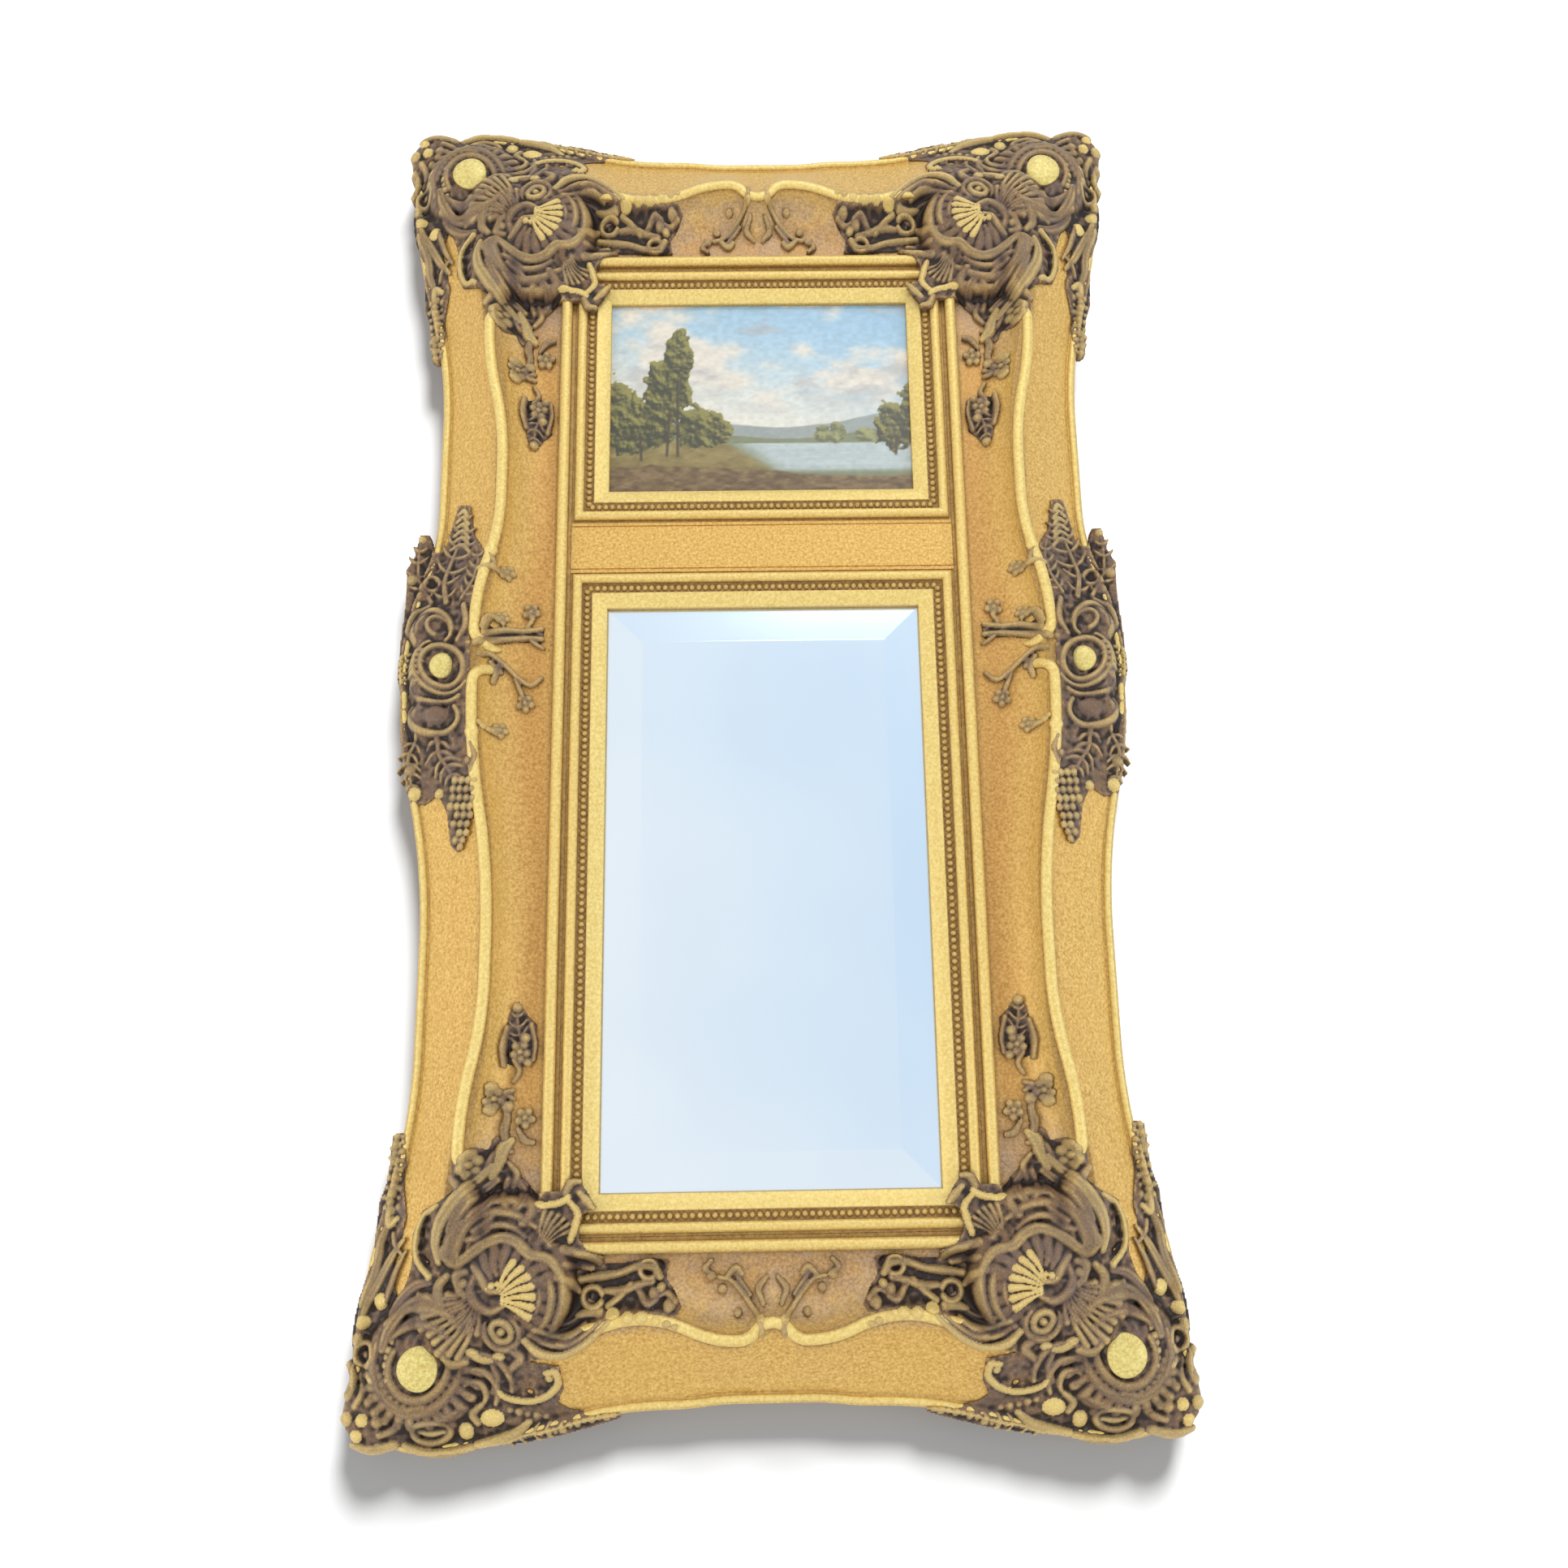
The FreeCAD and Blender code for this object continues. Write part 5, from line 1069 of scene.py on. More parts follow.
corner.flower(93, -23, 11, 6, 6, 0.22)
corner.stroke([(106, -14, 3), (100, -5, 3.8), (101, 6, 3)], 5)
corner.string([(146, -44), (147, -28), (147, -12), (149, 2), (147, 16)], 5.8, 4.2, 4.2, 0.25)
corner.string([(142, -40), (143, -14), (144, 8)], 6.5, 2.6, 3.2, 0.15)
corner.string([(150, -36), (151, -12), (154, 6)], 7.0, 2.6, 3.0, 0.3)
corner.stroke([(144, 14, 2.4), (149, 18, 3), (150, 10, 2.2)], 4.6, 0.5)
corner.stroke([(138, 28, 1.8), (146, 40, 3.4), (153, 54, 4), (160, 68, 3.6), (164, 78, 2.6)], 5.2,
              0.15, crease=0.25)
corner.stroke([(150, 18, 2.6), (154, 30, 3.6), (156, 46, 3.8), (161, 60, 3.4), (167, 72, 2.6)], 5.0,
              0.12, crease=0.2)
corner.stroke([(136, 36, 1.5), (142, 48, 2.8), (146, 60, 3.2), (149, 70, 3)], 4.6)
corner.stroke([(146, 24, 2), (144, 32, 2.6), (138, 40, 1.8)], 4.4)

# %% Corner: cartouche round the cabochon
corner.arc(121, 113, 20, 150, 395, 4.0, 4.6, 0.05, squash=1.08, thin=2.6)
corner.arc(121, 113, 28, 178, 362, 4.4, 5.0, 0.05, squash=1.05, thin=2.6)
corner.arc(121, 112, 27, 38, 142, 4.2, 5.4, squash=1.0, thin=2.0)
corner.arc(121, 111, 37, 46, 134, 4.8, 5.6, 0.08, squash=1.0, thin=2.2)
corner.fan(121, 113, 44, 282, 352, 7, 4.8, inner=0.66, swell=1.15)
corner.fan(121, 113, 43, 188, 262, 7, 4.6, inner=0.66, gilt=0.1, swell=1.15)
corner.fan(121, 113, 34, 196, 350, 15, 3.6, inner=0.8, swell=1.1)
corner.arc(84, 134, 9, -30, 130, 3.2, 5.0, 0.1, thin=1.8)
corner.arc(84, 134, 17, -20, 120, 3.4, 5.0, 0.05, thin=1.8)
corner.arc(82, 132, 25, 0, 112, 3.4, 4.8, 0.0, thin=1.6)
corner.stroke([(108, 74, 3.4), (120, 69, 5.4), (134, 75, 5), (143, 88, 4.6), (146, 100, 3.6)], 6.2,
              0.05, crease=0.25)
corner.stroke([(118, 58, 3), (128, 60, 4.4), (138, 69, 4), (144, 78, 3)], 5.0, crease=0.2)
corner.stroke([(106, 54, 3), (112, 62, 4.6), (108, 74, 4)], 5.0, 0.1)
corner.stroke([(116, 84, 3), (126, 82, 3.8), (135, 88, 3.4)], 4.6)
corner.stroke([(104, 108, 3), (98, 113, 4.2), (90, 111, 3.4)], 5.0, 0.2)
corner.stroke([(86, 105, 3.4), (77, 110, 4.2), (66, 109, 3.4)], 5.0, 0.45)
corner.stroke([(60, 103, 3), (52, 110, 3.8), (58, 117, 3)], 4.6)
corner.stroke([(150, 98, 3), (152, 110, 4), (148, 124, 4), (142, 134, 3)], 5.0)
corner.stroke([(140, 137, 3.4), (128, 142, 5), (116, 140, 3.8)], 5.4, 0.12, crease=0.2)
corner.stroke([(110, 142, 3.4), (99, 147, 4.6), (89, 142, 3.6)], 5.2, crease=0.2)
corner.stroke([(72, 112, 2.6), (68, 122, 3.2), (70, 132, 2.6)], 4.4)
corner.stroke([(78, 140, 2.4), (84, 146, 3.4), (80, 152, 2.6)], 4.6, 0.15)
corner.string([(140, 96), (143, 106), (142, 118), (137, 129)], 5.0, 2.6, 4.2, 0.3)

# %% Corner: fringe over the outer edge
corner.knob(152, 70, 6.0, 5.5, 1.0)
corner.knob(164, 84, 6.0, 5.0, 0.75, across=5)
corner.knob(168, 96, 5.0, 4.6, 0.3)
corner.arc(161, 105, 7.5, 0, 330, 2.6, 4.8, 0.15)
corner.knob(161, 105, 3.6, 4.5)
corner.knob(152, 120, 7.0, 4.6, 0.35, across=4.5)
corner.stroke([(172, 112, 3), (169, 122, 4), (172, 132, 3.5)], 4.6, 0.25)
corner.stroke([(163, 120, 2.5), (161, 130, 3.2), (165, 138, 2.8)], 4.6, 0.15)
corner.knob(154, 133, 4.5, 4.8, 0.1)
corner.knob(170, 146, 5.0, 4.6, 0.45)
corner.knob(159, 147, 4.6, 5.2, 1.0)
corner.knob(162, 157, 4.6, 5.0, 1.0)
corner.knob(148, 148, 5.0, 4.8, 0.1)
corner.stroke([(166, 164, 3), (152, 167, 4.5), (138, 165, 4)], 4.8, 0.2)
corner.stroke([(146, 157, 3), (138, 154, 3.6), (132, 148, 3)], 4.6)
corner.arc(112, 157, 13, 0, 350, 3.0, 4.8, 0.1, squash=0.55)
corner.stroke([(121, 157, 2), (112, 158, 3), (103, 157, 2)], 5, 0.35)
corner.stroke([(130, 166, 3), (114, 171, 4), (98, 171, 4), (84, 168, 3)], 4.6, 0.3)
corner.knob(88, 157, 5.5, 5.0, 0.75, across=6.5)
corner.knob(70, 149, 8.5, 5.0, 1.0, across=6.5)
corner.knob(98, 152, 4.5, 4.6)
corner.stroke([(80, 166, 3), (66, 163, 4), (52, 158, 3.5), (44, 152, 2.5)], 4.8, 0.35)
corner.leaf([(62, 166), (48, 161), (32, 158), (12, 154)], 6, 4.2, fingers=5, gilt=0.3,
            sides=(1, -1))
corner.string([(36, 160), (22, 157), (4, 152), (-18, 148.5)], 5.2, 3.2, 3.8, 0.35)
corner.string([(58, 144), (44, 147), (30, 149)], 6.5, 3.0, 3.4, 0.1)
corner.stroke([(70, 126, 2.0), (64, 134, 2.4), (52, 138, 2.6), (40, 138, 2.6), (30, 134, 2.7),
               (24.5, 127, 2.7), (27, 120, 2.5), (33, 120.5, 2.2)], 5, 0.6)
corner.knob(31, 124, 2.8, 4.4, 0.5)
corner.cut([(58, 127, 6), (46, 127, 8), (36, 127, 6)], 2.0)

# %% Corner: striated leaf and inner bracket
corner.stroke([(48, 98, 3), (38, 107, 3.4), (22, 109, 3.2), (8, 103, 3), (-3, 94, 2.6),
               (-11, 87, 2.4)], 5.2, 0.3)
corner.stroke([(44, 94, 2.6), (32, 101, 3), (18, 102, 2.8), (5, 95, 2.4), (-4, 87, 2)], 4.6)
corner.stroke([(40, 90, 2.4), (28, 95, 2.6), (15, 94, 2.4), (6, 88, 2)], 4.2, 0.1)
corner.stroke([(30, 88, 2), (18, 87, 2.2), (8, 80, 1.8)], 3.8)
corner.stroke([(12, 82, 2.5), (4, 80, 3.2), (-4, 80, 3)], 4.4, 0.2)
corner.stroke([(46, 4, 1.8), (36, 6, 2.4), (27, 5, 2.6), (20, 1, 2.2)], 4.0, 0.85)
corner.stroke([(20, 3, 2.2), (13, 12, 2.5), (15, 22, 2.8), (18, 31, 2.4)], 4.4, 0.7)
corner.stroke([(22, -2, 2.4), (18, -9, 3), (12, -10, 2)], 3.4, 0.15)
corner.stroke([(12, -2, 2.2), (6, 4, 3), (2, 9, 2)], 3.4, 0.25)
corner.fan(40, 36, 27, 28, 82, 6, 3.6, inner=0.3, gilt=0.1)
corner.stroke([(22, 36, 3), (14, 40, 4), (6, 42, 3.5), (-3, 46, 3)], 4.2, 0.1)
corner.stroke([(20, 46, 2.8), (12, 48, 3.4), (2, 50, 3)], 4.0)
corner.stroke([(24, 54, 2.5), (16, 58, 3), (10, 66, 2.5)], 4.0, 0.1)

# %% Set the four corners
SIDES = {"bottom_left": (False, False), "bottom_right": (True, False), "top_left": (False, True),
         "top_right": (True, True)}
for place_name, flips in SIDES.items():
    casting(f"corner_casting_{place_name}", corner, flips, toned_shaded_casting,
            ("corner_shells", "corner_cartouches", "mitre_brackets"))

# %% [markdown]
# ## Side cartouches
# Half way up each stile a casting covers the bulge: a small oval cabochon in a ring, C-scrolls above
# and below, leaves, and a bunch of grapes that tapers down the flat. Two stems cross the rib into
# the cove and end in buds.

# %% Side cartouche
side = Carving(40, 176, -560, -246, 0.85)
side.mound((128, -407), (30, 34), 50, 42)
side.mound((128, -440), (30, 22), 46, 40)
side.mound((128, -366), (28, 22), 46, 40)
side.sheet([(111, -256), (117, -262), (121, -288), (128, -302), (138, -294), (150, -296),
            (156, -322), (160, -350), (162, -385), (165, -400),
            (163, -440), (161, -470), (162, -492), (156, -503), (152, -522), (144, -522),
            (140, -506), (131, -508), (127, -526),
            (122, -548), (112, -548), (108, -522), (99, -508), (97, -490), (104, -478), (106, -450),
            (108, -425), (107, -400),
            (105, -370), (101, -345), (98, -325), (99, -300), (103, -278), (108, -258)])
side.arc(128, -407, 15.5, 0, 360, 3.0, 5.0, 0.05, squash=1.12)
side.arc(128, -407, 20.5, 120, 330, 2.4, 4.4, 0.1, squash=1.1, thin=1.4)
side.arc(138, -439, 15, -40, 200, 3.2, 5.2, 0.1, thin=2.0)
side.arc(132, -440, 8, 0, 250, 2.6, 4.6)
side.stroke([(150, -425, 3), (156, -438, 4), (152, -452, 3.5), (142, -458, 3)], 5, 0.1)
side.stroke([(118, -430, 2.5), (112, -444, 3.5), (114, -460, 3)], 4.8)
side.arc(134, -366, 19, 150, 395, 3.2, 5.2, 0.08, squash=0.8, thin=2.0)
side.knob(131, -366, 11, 4.4, across=9)
side.arc(134, -386, 20, 200, 340, 2.6, 4.6, squash=0.45)
side.stroke([(150, -378, 3), (152, -388, 3), (144, -392, 2.5)], 4.6)
side.string([(161, -396), (163, -407), (162, -420)], 5.2, 3.0, 3.8, 0.6)
for step in range(5):
    side.stroke([(142, -398 - step * 5.0, 1.8), (150, -398 - step * 5.0, 2.2),
                 (157, -397 - step * 5.2, 2.0)], 4.0, 0.2)
side.leaf([(128, -462), (130, -480), (124, -500), (117, -524), (116, -546)], 13, 5.2, fingers=7)
for step in range(6):
    side.stroke([(126 - step, -508 - 6 * step, 1.6), (117, -512 - 6 * step, 2.2),
                 (111 + step * 0.5, -506 - 6 * step, 1.6)], 4.0, 0.2 + 0.05 * step)
side.leaf([(140, -462), (150, -480), (152, -500), (150, -518)], 9, 5, fingers=5)
side.leaf([(116, -466), (108, -480), (104, -498), (106, -512)], 8, 4.8, fingers=5)
side.knob(150, -517, 3.5, 4.4, 0.4)
side.knob(156, -482, 5, 4.4, 0.2)
side.knob(148, -468, 5, 4.2)
side.arc(140, -478, 6, 0, 300, 2.0, 4.2)
side.leaf([(130, -348), (128, -334), (120, -322), (114, -308)], 12, 4.8, fingers=5)
side.leaf([(146, -348), (152, -332), (150, -316), (146, -300)], 9, 4.8, fingers=5, gilt=0.1)
side.knob(146, -303, 5.5, 5.0, 0.9)
side.knob(127, -303, 4, 4.6, 0.6)
side.knob(150, -322, 5, 4.4, 0.15)
side.knob(106, -330, 4, 4.2)
for row, (height, half) in enumerate(((-314, 10), (-307, 10), (-300, 9), (-293, 8.5), (-286, 7.5),
                                      (-279, 6.5), (-272, 5), (-266, 3.4), (-261, 0.5))):
    for spot in np.arange(-half, half + 0.1, 5.2) + (row % 2) * 1.3:
        side.knob(109.5 + spot, height, 3.4, 4.6, 0.12 if row % 3 else 0.3)
side.stroke([(104, -345, 2.5), (101, -334, 3), (103, -322, 2.5)], 4.4)

# %% Sprigs across the rib
sprig = Carving(40, 112, -512, -334, 0.85)
sprig.sheet([(100, -427), (90, -426), (70, -428), (50, -426), (48, -440), (66, -440), (88, -440),
             (100, -450)], 0.6)
sprig.stroke([(104, -428, 3), (94, -429, 3.6), (80, -430, 3), (64, -431, 2.6), (50, -430, 2.4)],
             4.4, 0.1)
sprig.stroke([(96, -436, 3), (80, -438, 3), (62, -437, 2.4), (50, -439, 2.2)], 4.0, 0.2)
sprig.stroke([(60, -430, 2), (54, -425, 2.2), (49, -422, 2)], 3.6)
sprig.stroke([(62, -440, 2.4), (58, -447, 2.6), (61, -452, 3)], 4.2, 0.1)
sprig.flower(59, -453, 8.0, 5, 4.8, 0.12)
sprig.stroke([(98, -442, 3), (92, -450, 3), (84, -447, 3)], 4.4, 0.2)
sprig.flower(82, -448, 6.5, 5, 4.6, 0.2)
sprig.stroke([(103, -492, 3), (94, -494, 3), (86, -489, 2.6), (80, -487, 2.4)], 4.2, 0.2)
sprig.flower(79, -487, 7.0, 5, 4.6, 0.2)
sprig.stroke([(96, -507, 2.4), (92, -500, 2.6), (90, -493, 2.2)], 4.0)
sprig.stroke([(100, -419, 2.6), (90, -417, 3), (78, -407, 2.8), (68, -397, 2.6), (58, -391, 2.4),
              (50, -397, 2.4)], 4.6, 0.1)
sprig.stroke([(90, -411, 2.4), (86, -403, 3.2), (88, -394, 2.2)], 4.0, 0.1)
sprig.stroke([(84, -408, 2.2), (82, -402, 2.4)], 3.8)
sprig.stroke([(70, -396, 2.4), (66, -386, 2.8), (62, -377, 3)], 4.2)
sprig.flower(62, -376, 8.0, 5, 4.8, 0.12)
sprig.stroke([(98, -362, 2.6), (90, -355, 2.8), (84, -354, 2.6)], 4.2, 0.3)
sprig.flower(81, -354, 7.0, 5, 4.6, 0.2)
sprig.knob(94, -358, 3.0, 4.2, 0.7)

for side_name, mirrored in (("left", False), ("right", True)):
    casting(f"side_cartouche_{side_name}", side, (mirrored, False), toned_shaded_casting,
            ("side_cartouches",))
    casting(f"side_sprigs_{side_name}", sprig, (mirrored, False), toned_shaded_casting, ("side_sprigs",))

# %% [markdown]
# ## Pendants and rail sprays
# Flowers hang down the cove beside each corner, and along the rails lie a spray of scrolls and buds,
# a chain of bright knobs on the rib, and a small sprig beside the wave.

# %% Cove pendants
pendant = Carving(38, 92, -146, -28, 0.8)
pendant.sheet([(58, -92), (72, -96), (72, -112), (66, -136), (60, -142), (52, -130), (46, -124),
               (46, -98)], 0.8)
pendant.flower(76, -70, 9, 5, 5, 0.15)
pendant.knob(78, -78, 5, 5, 0.25)
pendant.knob(79, -62, 5, 5, 0.3)
pendant.knob(66, -64, 5, 5, 0.2)
pendant.stroke([(70, -70, 3), (66, -58, 3.4), (68, -48, 4), (67, -40, 3.4)], 4.8)
pendant.stroke([(62, -76, 2.4), (68, -74, 2.8), (62, -70, 2.4)], 4.2)
pendant.flower(53, -56, 8.5, 5, 5.0, 0.15)
pendant.stroke([(58, -48, 2.4), (53, -40, 3.6), (47, -38, 3)], 4.4)
pendant.stroke([(62, -82, 2.2), (58, -90, 2.6), (62, -98, 2.6)], 4.2)
pendant.leaf([(60, -94), (57, -108), (60, -122), (61, -138)], 8, 4.6, fingers=6)
pendant.stroke([(70, -94, 2.4), (71, -108, 3), (68, -122, 2.4)], 4.2)
pendant.stroke([(48, -98, 2.4), (47, -110, 2.6), (50, -124, 2.4)], 4.0)
pendant.flower(58, -104, 8.5, 5, 5.0, 0.15)
pendant.knob(54, -114, 4.0, 5.0, 0.25)
pendant.knob(52, -96, 4.0, 4.6, 0.1)
pendant.knob(61, -137, 4.0, 4.6, 0.2)
pendant.knob(67, -36, 5.5, 4.8, 0.4, across=4)

# %% Rail sprays
spray = Carving(-132, 22, 34, 112, 0.8)
spray.sheet([(14, 48), (12, 82), (-4, 86), (-22, 84), (-40, 86), (-58, 86), (-63, 78), (-58, 66),
             (-52, 58), (-54, 46), (-40, 44), (-20, 47)], 0.5)
spray.arc(1, 70, 7, 20, 330, 2.6, 4.8, 0.15)
spray.stroke([(10, 58, 3), (-4, 56, 3.6), (-18, 54, 3), (-30, 50, 3.2), (-42, 50, 3.6),
              (-47, 57, 3)], 4.8, 0.15)
spray.stroke([(-8, 66, 2.6), (-20, 66, 3.4), (-32, 62, 3), (-42, 60, 2.6)], 4.6, 0.1)
spray.stroke([(-10, 76, 2.4), (-18, 70, 2.8), (-26, 62, 2.4)], 4.4, 0.2)
spray.arc(-39, 52, 6, 0, 300, 2.4, 4.8, 0.1)
spray.stroke([(-32, 66, 2.6), (-38, 74, 3.4), (-44, 72, 3)], 4.6)
spray.knob(-43, 68, 4.6, 4.8, 0.1)
spray.knob(-54, 76, 4.6, 4.8, 0.15)
spray.knob(-48, 64, 3.4, 4.4, 0.3)
spray.stroke([(-46, 70, 2.2), (-52, 68, 2.6), (-58, 74, 2.6)], 4.2)
for spot, (a, b, r) in enumerate(((-13, 82, 4.2), (-24, 85, 4.4), (-34, 85, 4.6), (-44, 87, 4.0),
                                  (-52, 89, 3.4), (-58, 91, 3.0))):
    spray.knob(a, b, r * 1.15, 6.5 if spot in (1, 2) else 5.2, 0.9 if spot in (0, 1, 2, 3) else 0.3,
               across=r)
spray.stroke([(-86, 57, 2.6), (-80, 52, 3), (-84, 47, 2.4)], 4.4)
spray.knob(-84, 57, 4.2, 4.4, 0.1)
spray.knob(-92, 66, 4.0, 3.8)
spray.stroke([(-96, 57, 2.6), (-102, 52, 3.4), (-106, 56, 2.6)], 4.4, 0.1)
spray.stroke([(-90, 58, 2.2), (-98, 60, 2.4), (-106, 68, 2.6), (-113, 78, 2.6), (-119, 88, 3),
              (-120, 98, 2.6)], 4.4, 0.1)
spray.stroke([(-100, 53, 2.4), (-106, 62, 2.4), (-112, 70, 2.2)], 4.0)
spray.knob(-119, 87, 3.6, 4.6, 0.5)
spray.stroke([(-124, 58, 2.2), (-118, 66, 3.2), (-121, 76, 2.4)], 4.0)
spray.knob(-103, 82, 3.6, 3.8, 0.05)

for place_name, flips in SIDES.items():
    casting(f"cove_pendant_{place_name}", pendant, flips, toned_shaded_casting, ("cove_pendants",))
    casting(f"rail_spray_{place_name}", spray, flips, toned_shaded_casting, ("rail_sprays",))

# %% [markdown]
# ## Cabochons
# In the middle of each cartouche sits a smooth pale boss, like a flattened egg, lighter than all the
# rest and faintly speckled. It is a dome of rings, slightly out of round.

# %% Pale cabochons
def pale(name):
    """Pale gold with fine speckles."""
    f = Finish(name, metallic=0.1, roughness=0.42)
    specks = f.noise(420.0, 5.0, 0.8, 0.36, 0.62)
    tone = f.mix(specks, paint(206, 178, 92), paint(244, 230, 148))
    f.colour(f.mix(f.mark("rim"), tone, paint(120, 88, 44)))
    f.bump(f.noise(300.0, 3.0, 0.6), 0.0004, 0.5)
    return f.material


pale_gold = pale("pale_gold")


def cabochon(name, spot, half_a, half_b, foot, rise, flips, node, tilt=0.0):
    """Dome r = sin(t), height cos(t)^0.8, egg-shaped by a cosine of the turn, with a closed back."""
    (a0, b0), = settle([spot])[:, :2]
    t = np.linspace(0.04, math.pi / 2, 16)[:, None]
    turn = np.linspace(0, 2 * math.pi, 48, endpoint=False)
    egg = 1 + 0.05 * np.cos(turn - 0.9) + 0.025 * np.cos(3 * turn)
    a = a0 + half_a * egg * np.sin(t) * np.cos(turn)
    b = b0 + half_b * egg * np.sin(t) * np.sin(turn)
    d = foot + rise * np.cos(t) ** 0.8 + 0 * turn + tilt * (a - a0)
    a, b, d = np.vstack([a, a[-1:]]), np.vstack([b, b[-1:]]), np.vstack([d, d[-1:] - 5.0])
    x = (HALF_SIGHT + a) * (1 if flips[0] else -1)
    z = HEAD + b if flips[1] else FOOT - b
    points = np.stack([x, -(STANDOFF + d), z], axis=-1) / 1000.0
    rows, count = a.shape
    rim = np.repeat(np.concatenate([np.zeros(rows - 4), [0.1, 0.35, 0.9, 1.0]]), count)
    return make_piece(name, points, grid_faces(rows, count, wrap_cols=True), pale_gold,
                      caps=[np.arange(count), np.arange(count)[::-1] + (rows - 1) * count],
                      marks={"rim": rim}, crease=60.0, stands_for=(node,))


for place_name, flips in SIDES.items():
    cabochon(f"corner_cabochon_{place_name}", (121, 113.5), 14.5, 15.5, 55.5, 4.5, flips,
             "corner_cabochons")
for side_name, mirrored in (("left", False), ("right", True)):
    cabochon(f"side_cabochon_{side_name}", (128.5, -407.5), 9.6, 10.8, 50.5, 4.5, (mirrored, False),
             "side_cabochons")
print("cabochons: 6")

# %% [markdown]
# ## The small picture
# Over the glass hangs a little landscape on a panel. It is painted here as numbers: every point of a
# fine grid gets the colour of sky, far hills, water, bank or foliage, from smooth random fields and
# simple outlines. The design is a general one, a quiet river valley.

# %% Soft steps and covers
def ramp(value, low, high):
    """0 below low, 1 above high, smooth between."""
    t = np.clip((value - low) / (high - low), 0, 1)
    return t * t * (3 - 2 * t)


def over(picture, cover, colour):
    """Lays a colour over the picture by a share of 0 to 1."""
    return picture * (1 - cover[..., None]) + np.asarray(colour, float) * cover[..., None]


# %% Paint the valley
def valley(x, y, width, height):
    """Card colours 0..255 at x from the left and y from the bottom, in millimetres."""
    s, t = x / width, y / height
    blue = np.array([176, 206, 222.0]) + ((t + 0.4 * s)[..., None] - 0.8) * np.array([-62, -36,
        -8.0])
    picture = over(blue, 1 - ramp(t + 0.3 * s, 0.4, 1.0), (230, 226, 212))
    bank = cloudy(x, y * 1.9, 60, 3, 5)
    picture = over(picture, ramp(bank + 0.22 * (0.5 - s), 0.46, 0.66) * ramp(t, 0.3, 0.5),
                   (226, 220, 208))
    picture = over(picture, ramp(cloudy(x, y * 2.2, 44, 8, 5) + 0.1 * (0.6 - t), 0.5,
                                 0.72) * 0.6 * ramp(t, 0.35, 0.6), (168, 172, 176))
    far = 0.37 + 0.07 * np.sin(s * 5.2 + 2.4) * ramp(s, 0.3, 0.9) + 0.02 * cloudy(x, 0 * y, 30, 11)
    picture = over(picture, ramp(far - t, 0.0, 0.008), (150, 160, 158))
    near_hill = 0.325 + 0.035 * np.sin(s * 7.0 + 0.6) + 0.014 * cloudy(x, 0 * y, 16, 12)
    picture = over(picture, ramp(near_hill - t, 0.0, 0.008), (122, 130, 100))
    water = ramp(0.275 - t, 0, 0.006) * ramp(t, 0.12, 0.15) * ramp(s - 0.42 - 0.9 * (0.27 - t),
        -0.05, 0.08)
    ripple = cloudy(x * 0.4, y * 6, 24, 14)[..., None]
    picture = picture * (1 - water[..., None]) + water[...,
        None] * (np.array([182, 196, 198.0]) - 40 * (ripple - 0.5))
    shore = 0.255 + 0.05 * ramp(0.5 - s, -0.1, 0.5) + 0.012 * cloudy(x, 0 * y, 12, 15)
    grass = cloudy(x, y * 2, 9, 16, 4)[..., None]
    land = ramp(shore - t, 0, 0.01) * (1 - ramp(s - 0.40 - 1.1 * (0.26 - t), -0.02, 0.03))
    picture = picture * (1 - land[..., None]) + land[...,
        None] * (np.array([134, 118, 66.0]) + 60 * (grass - 0.5))
    fore = 0.13 + 0.03 * np.sin(s * 4.0 + 1.0) + 0.02 * cloudy(x, 0 * y, 14, 18)
    low = ramp(fore - t, 0, 0.012)
    soil = cloudy(x, y * 2.4, 7, 19, 5)[..., None]
    picture = picture * (1 - low[..., None]) + low[..., None] * (np.array([112, 88,
        52.0]) + 95 * (soil - 0.52))
    return picture, s, t


def add_trees(picture, x, y, width, height):
    """Foliage as clumps: inside where a sum of soft blobs plus noise passes a level, lit from the right."""
    s, t = x / width, y / height
    clumps = [(0.03, 0.42, 0.10, 0.20), (0.12, 0.36, 0.10, 0.14), (0.20, 0.52, 0.075, 0.22),
              (0.235, 0.70, 0.045, 0.16), (0.30, 0.36, 0.08, 0.11),
              (0.37, 0.33, 0.05, 0.06), (0.70, 0.315, 0.03, 0.045), (0.745, 0.32, 0.028, 0.05),
              (0.93, 0.36, 0.075, 0.12), (1.0, 0.42, 0.06, 0.15),
              (0.84, 0.31, 0.035, 0.04)]
    leaves = cloudy(x, y, 7, 21, 4)
    light = cloudy(x + 1.6, y + 1.8, 7, 21, 4)
    for k, (cs, ct, rs, rt) in enumerate(clumps):
        level = 1 - ((s - cs) / rs) ** 2 - ((t - ct) / rt) ** 2
        cover = ramp(level + 1.7 * (leaves - 0.5), -0.02, 0.12)
        lit = np.clip(0.5 + 4.0 * (leaves - light) + 0.35 * (t - ct) / rt + 0.25 * (s - cs) / rs, 0,
                      1)
        tone = np.array([44, 46, 24.0]) + lit[..., None] * np.array([96, 88, 42.0])
        if k in (6, 7, 10):
            tone = np.array([92, 98, 66.0]) + lit[..., None] * np.array([60, 56, 36.0])
        picture = picture * (1 - cover[..., None]) + cover[..., None] * tone
    for cs, base, top, lean in ((0.20, 0.2, 0.46, 0.01), (0.235, 0.2, 0.62, 0.0),
                                (0.12, 0.18, 0.34, -0.01), (0.93, 0.2, 0.32, 0.01)):
        trunk = ramp(0.0045 - np.abs(s - cs - lean * (t - base) * 4), -0.002, 0.002) * ramp(t, base,
            base + 0.02) * (1 - ramp(t, top - 0.04, top))
        picture = over(picture, trunk * 0.85, (58, 44, 28))
    return picture


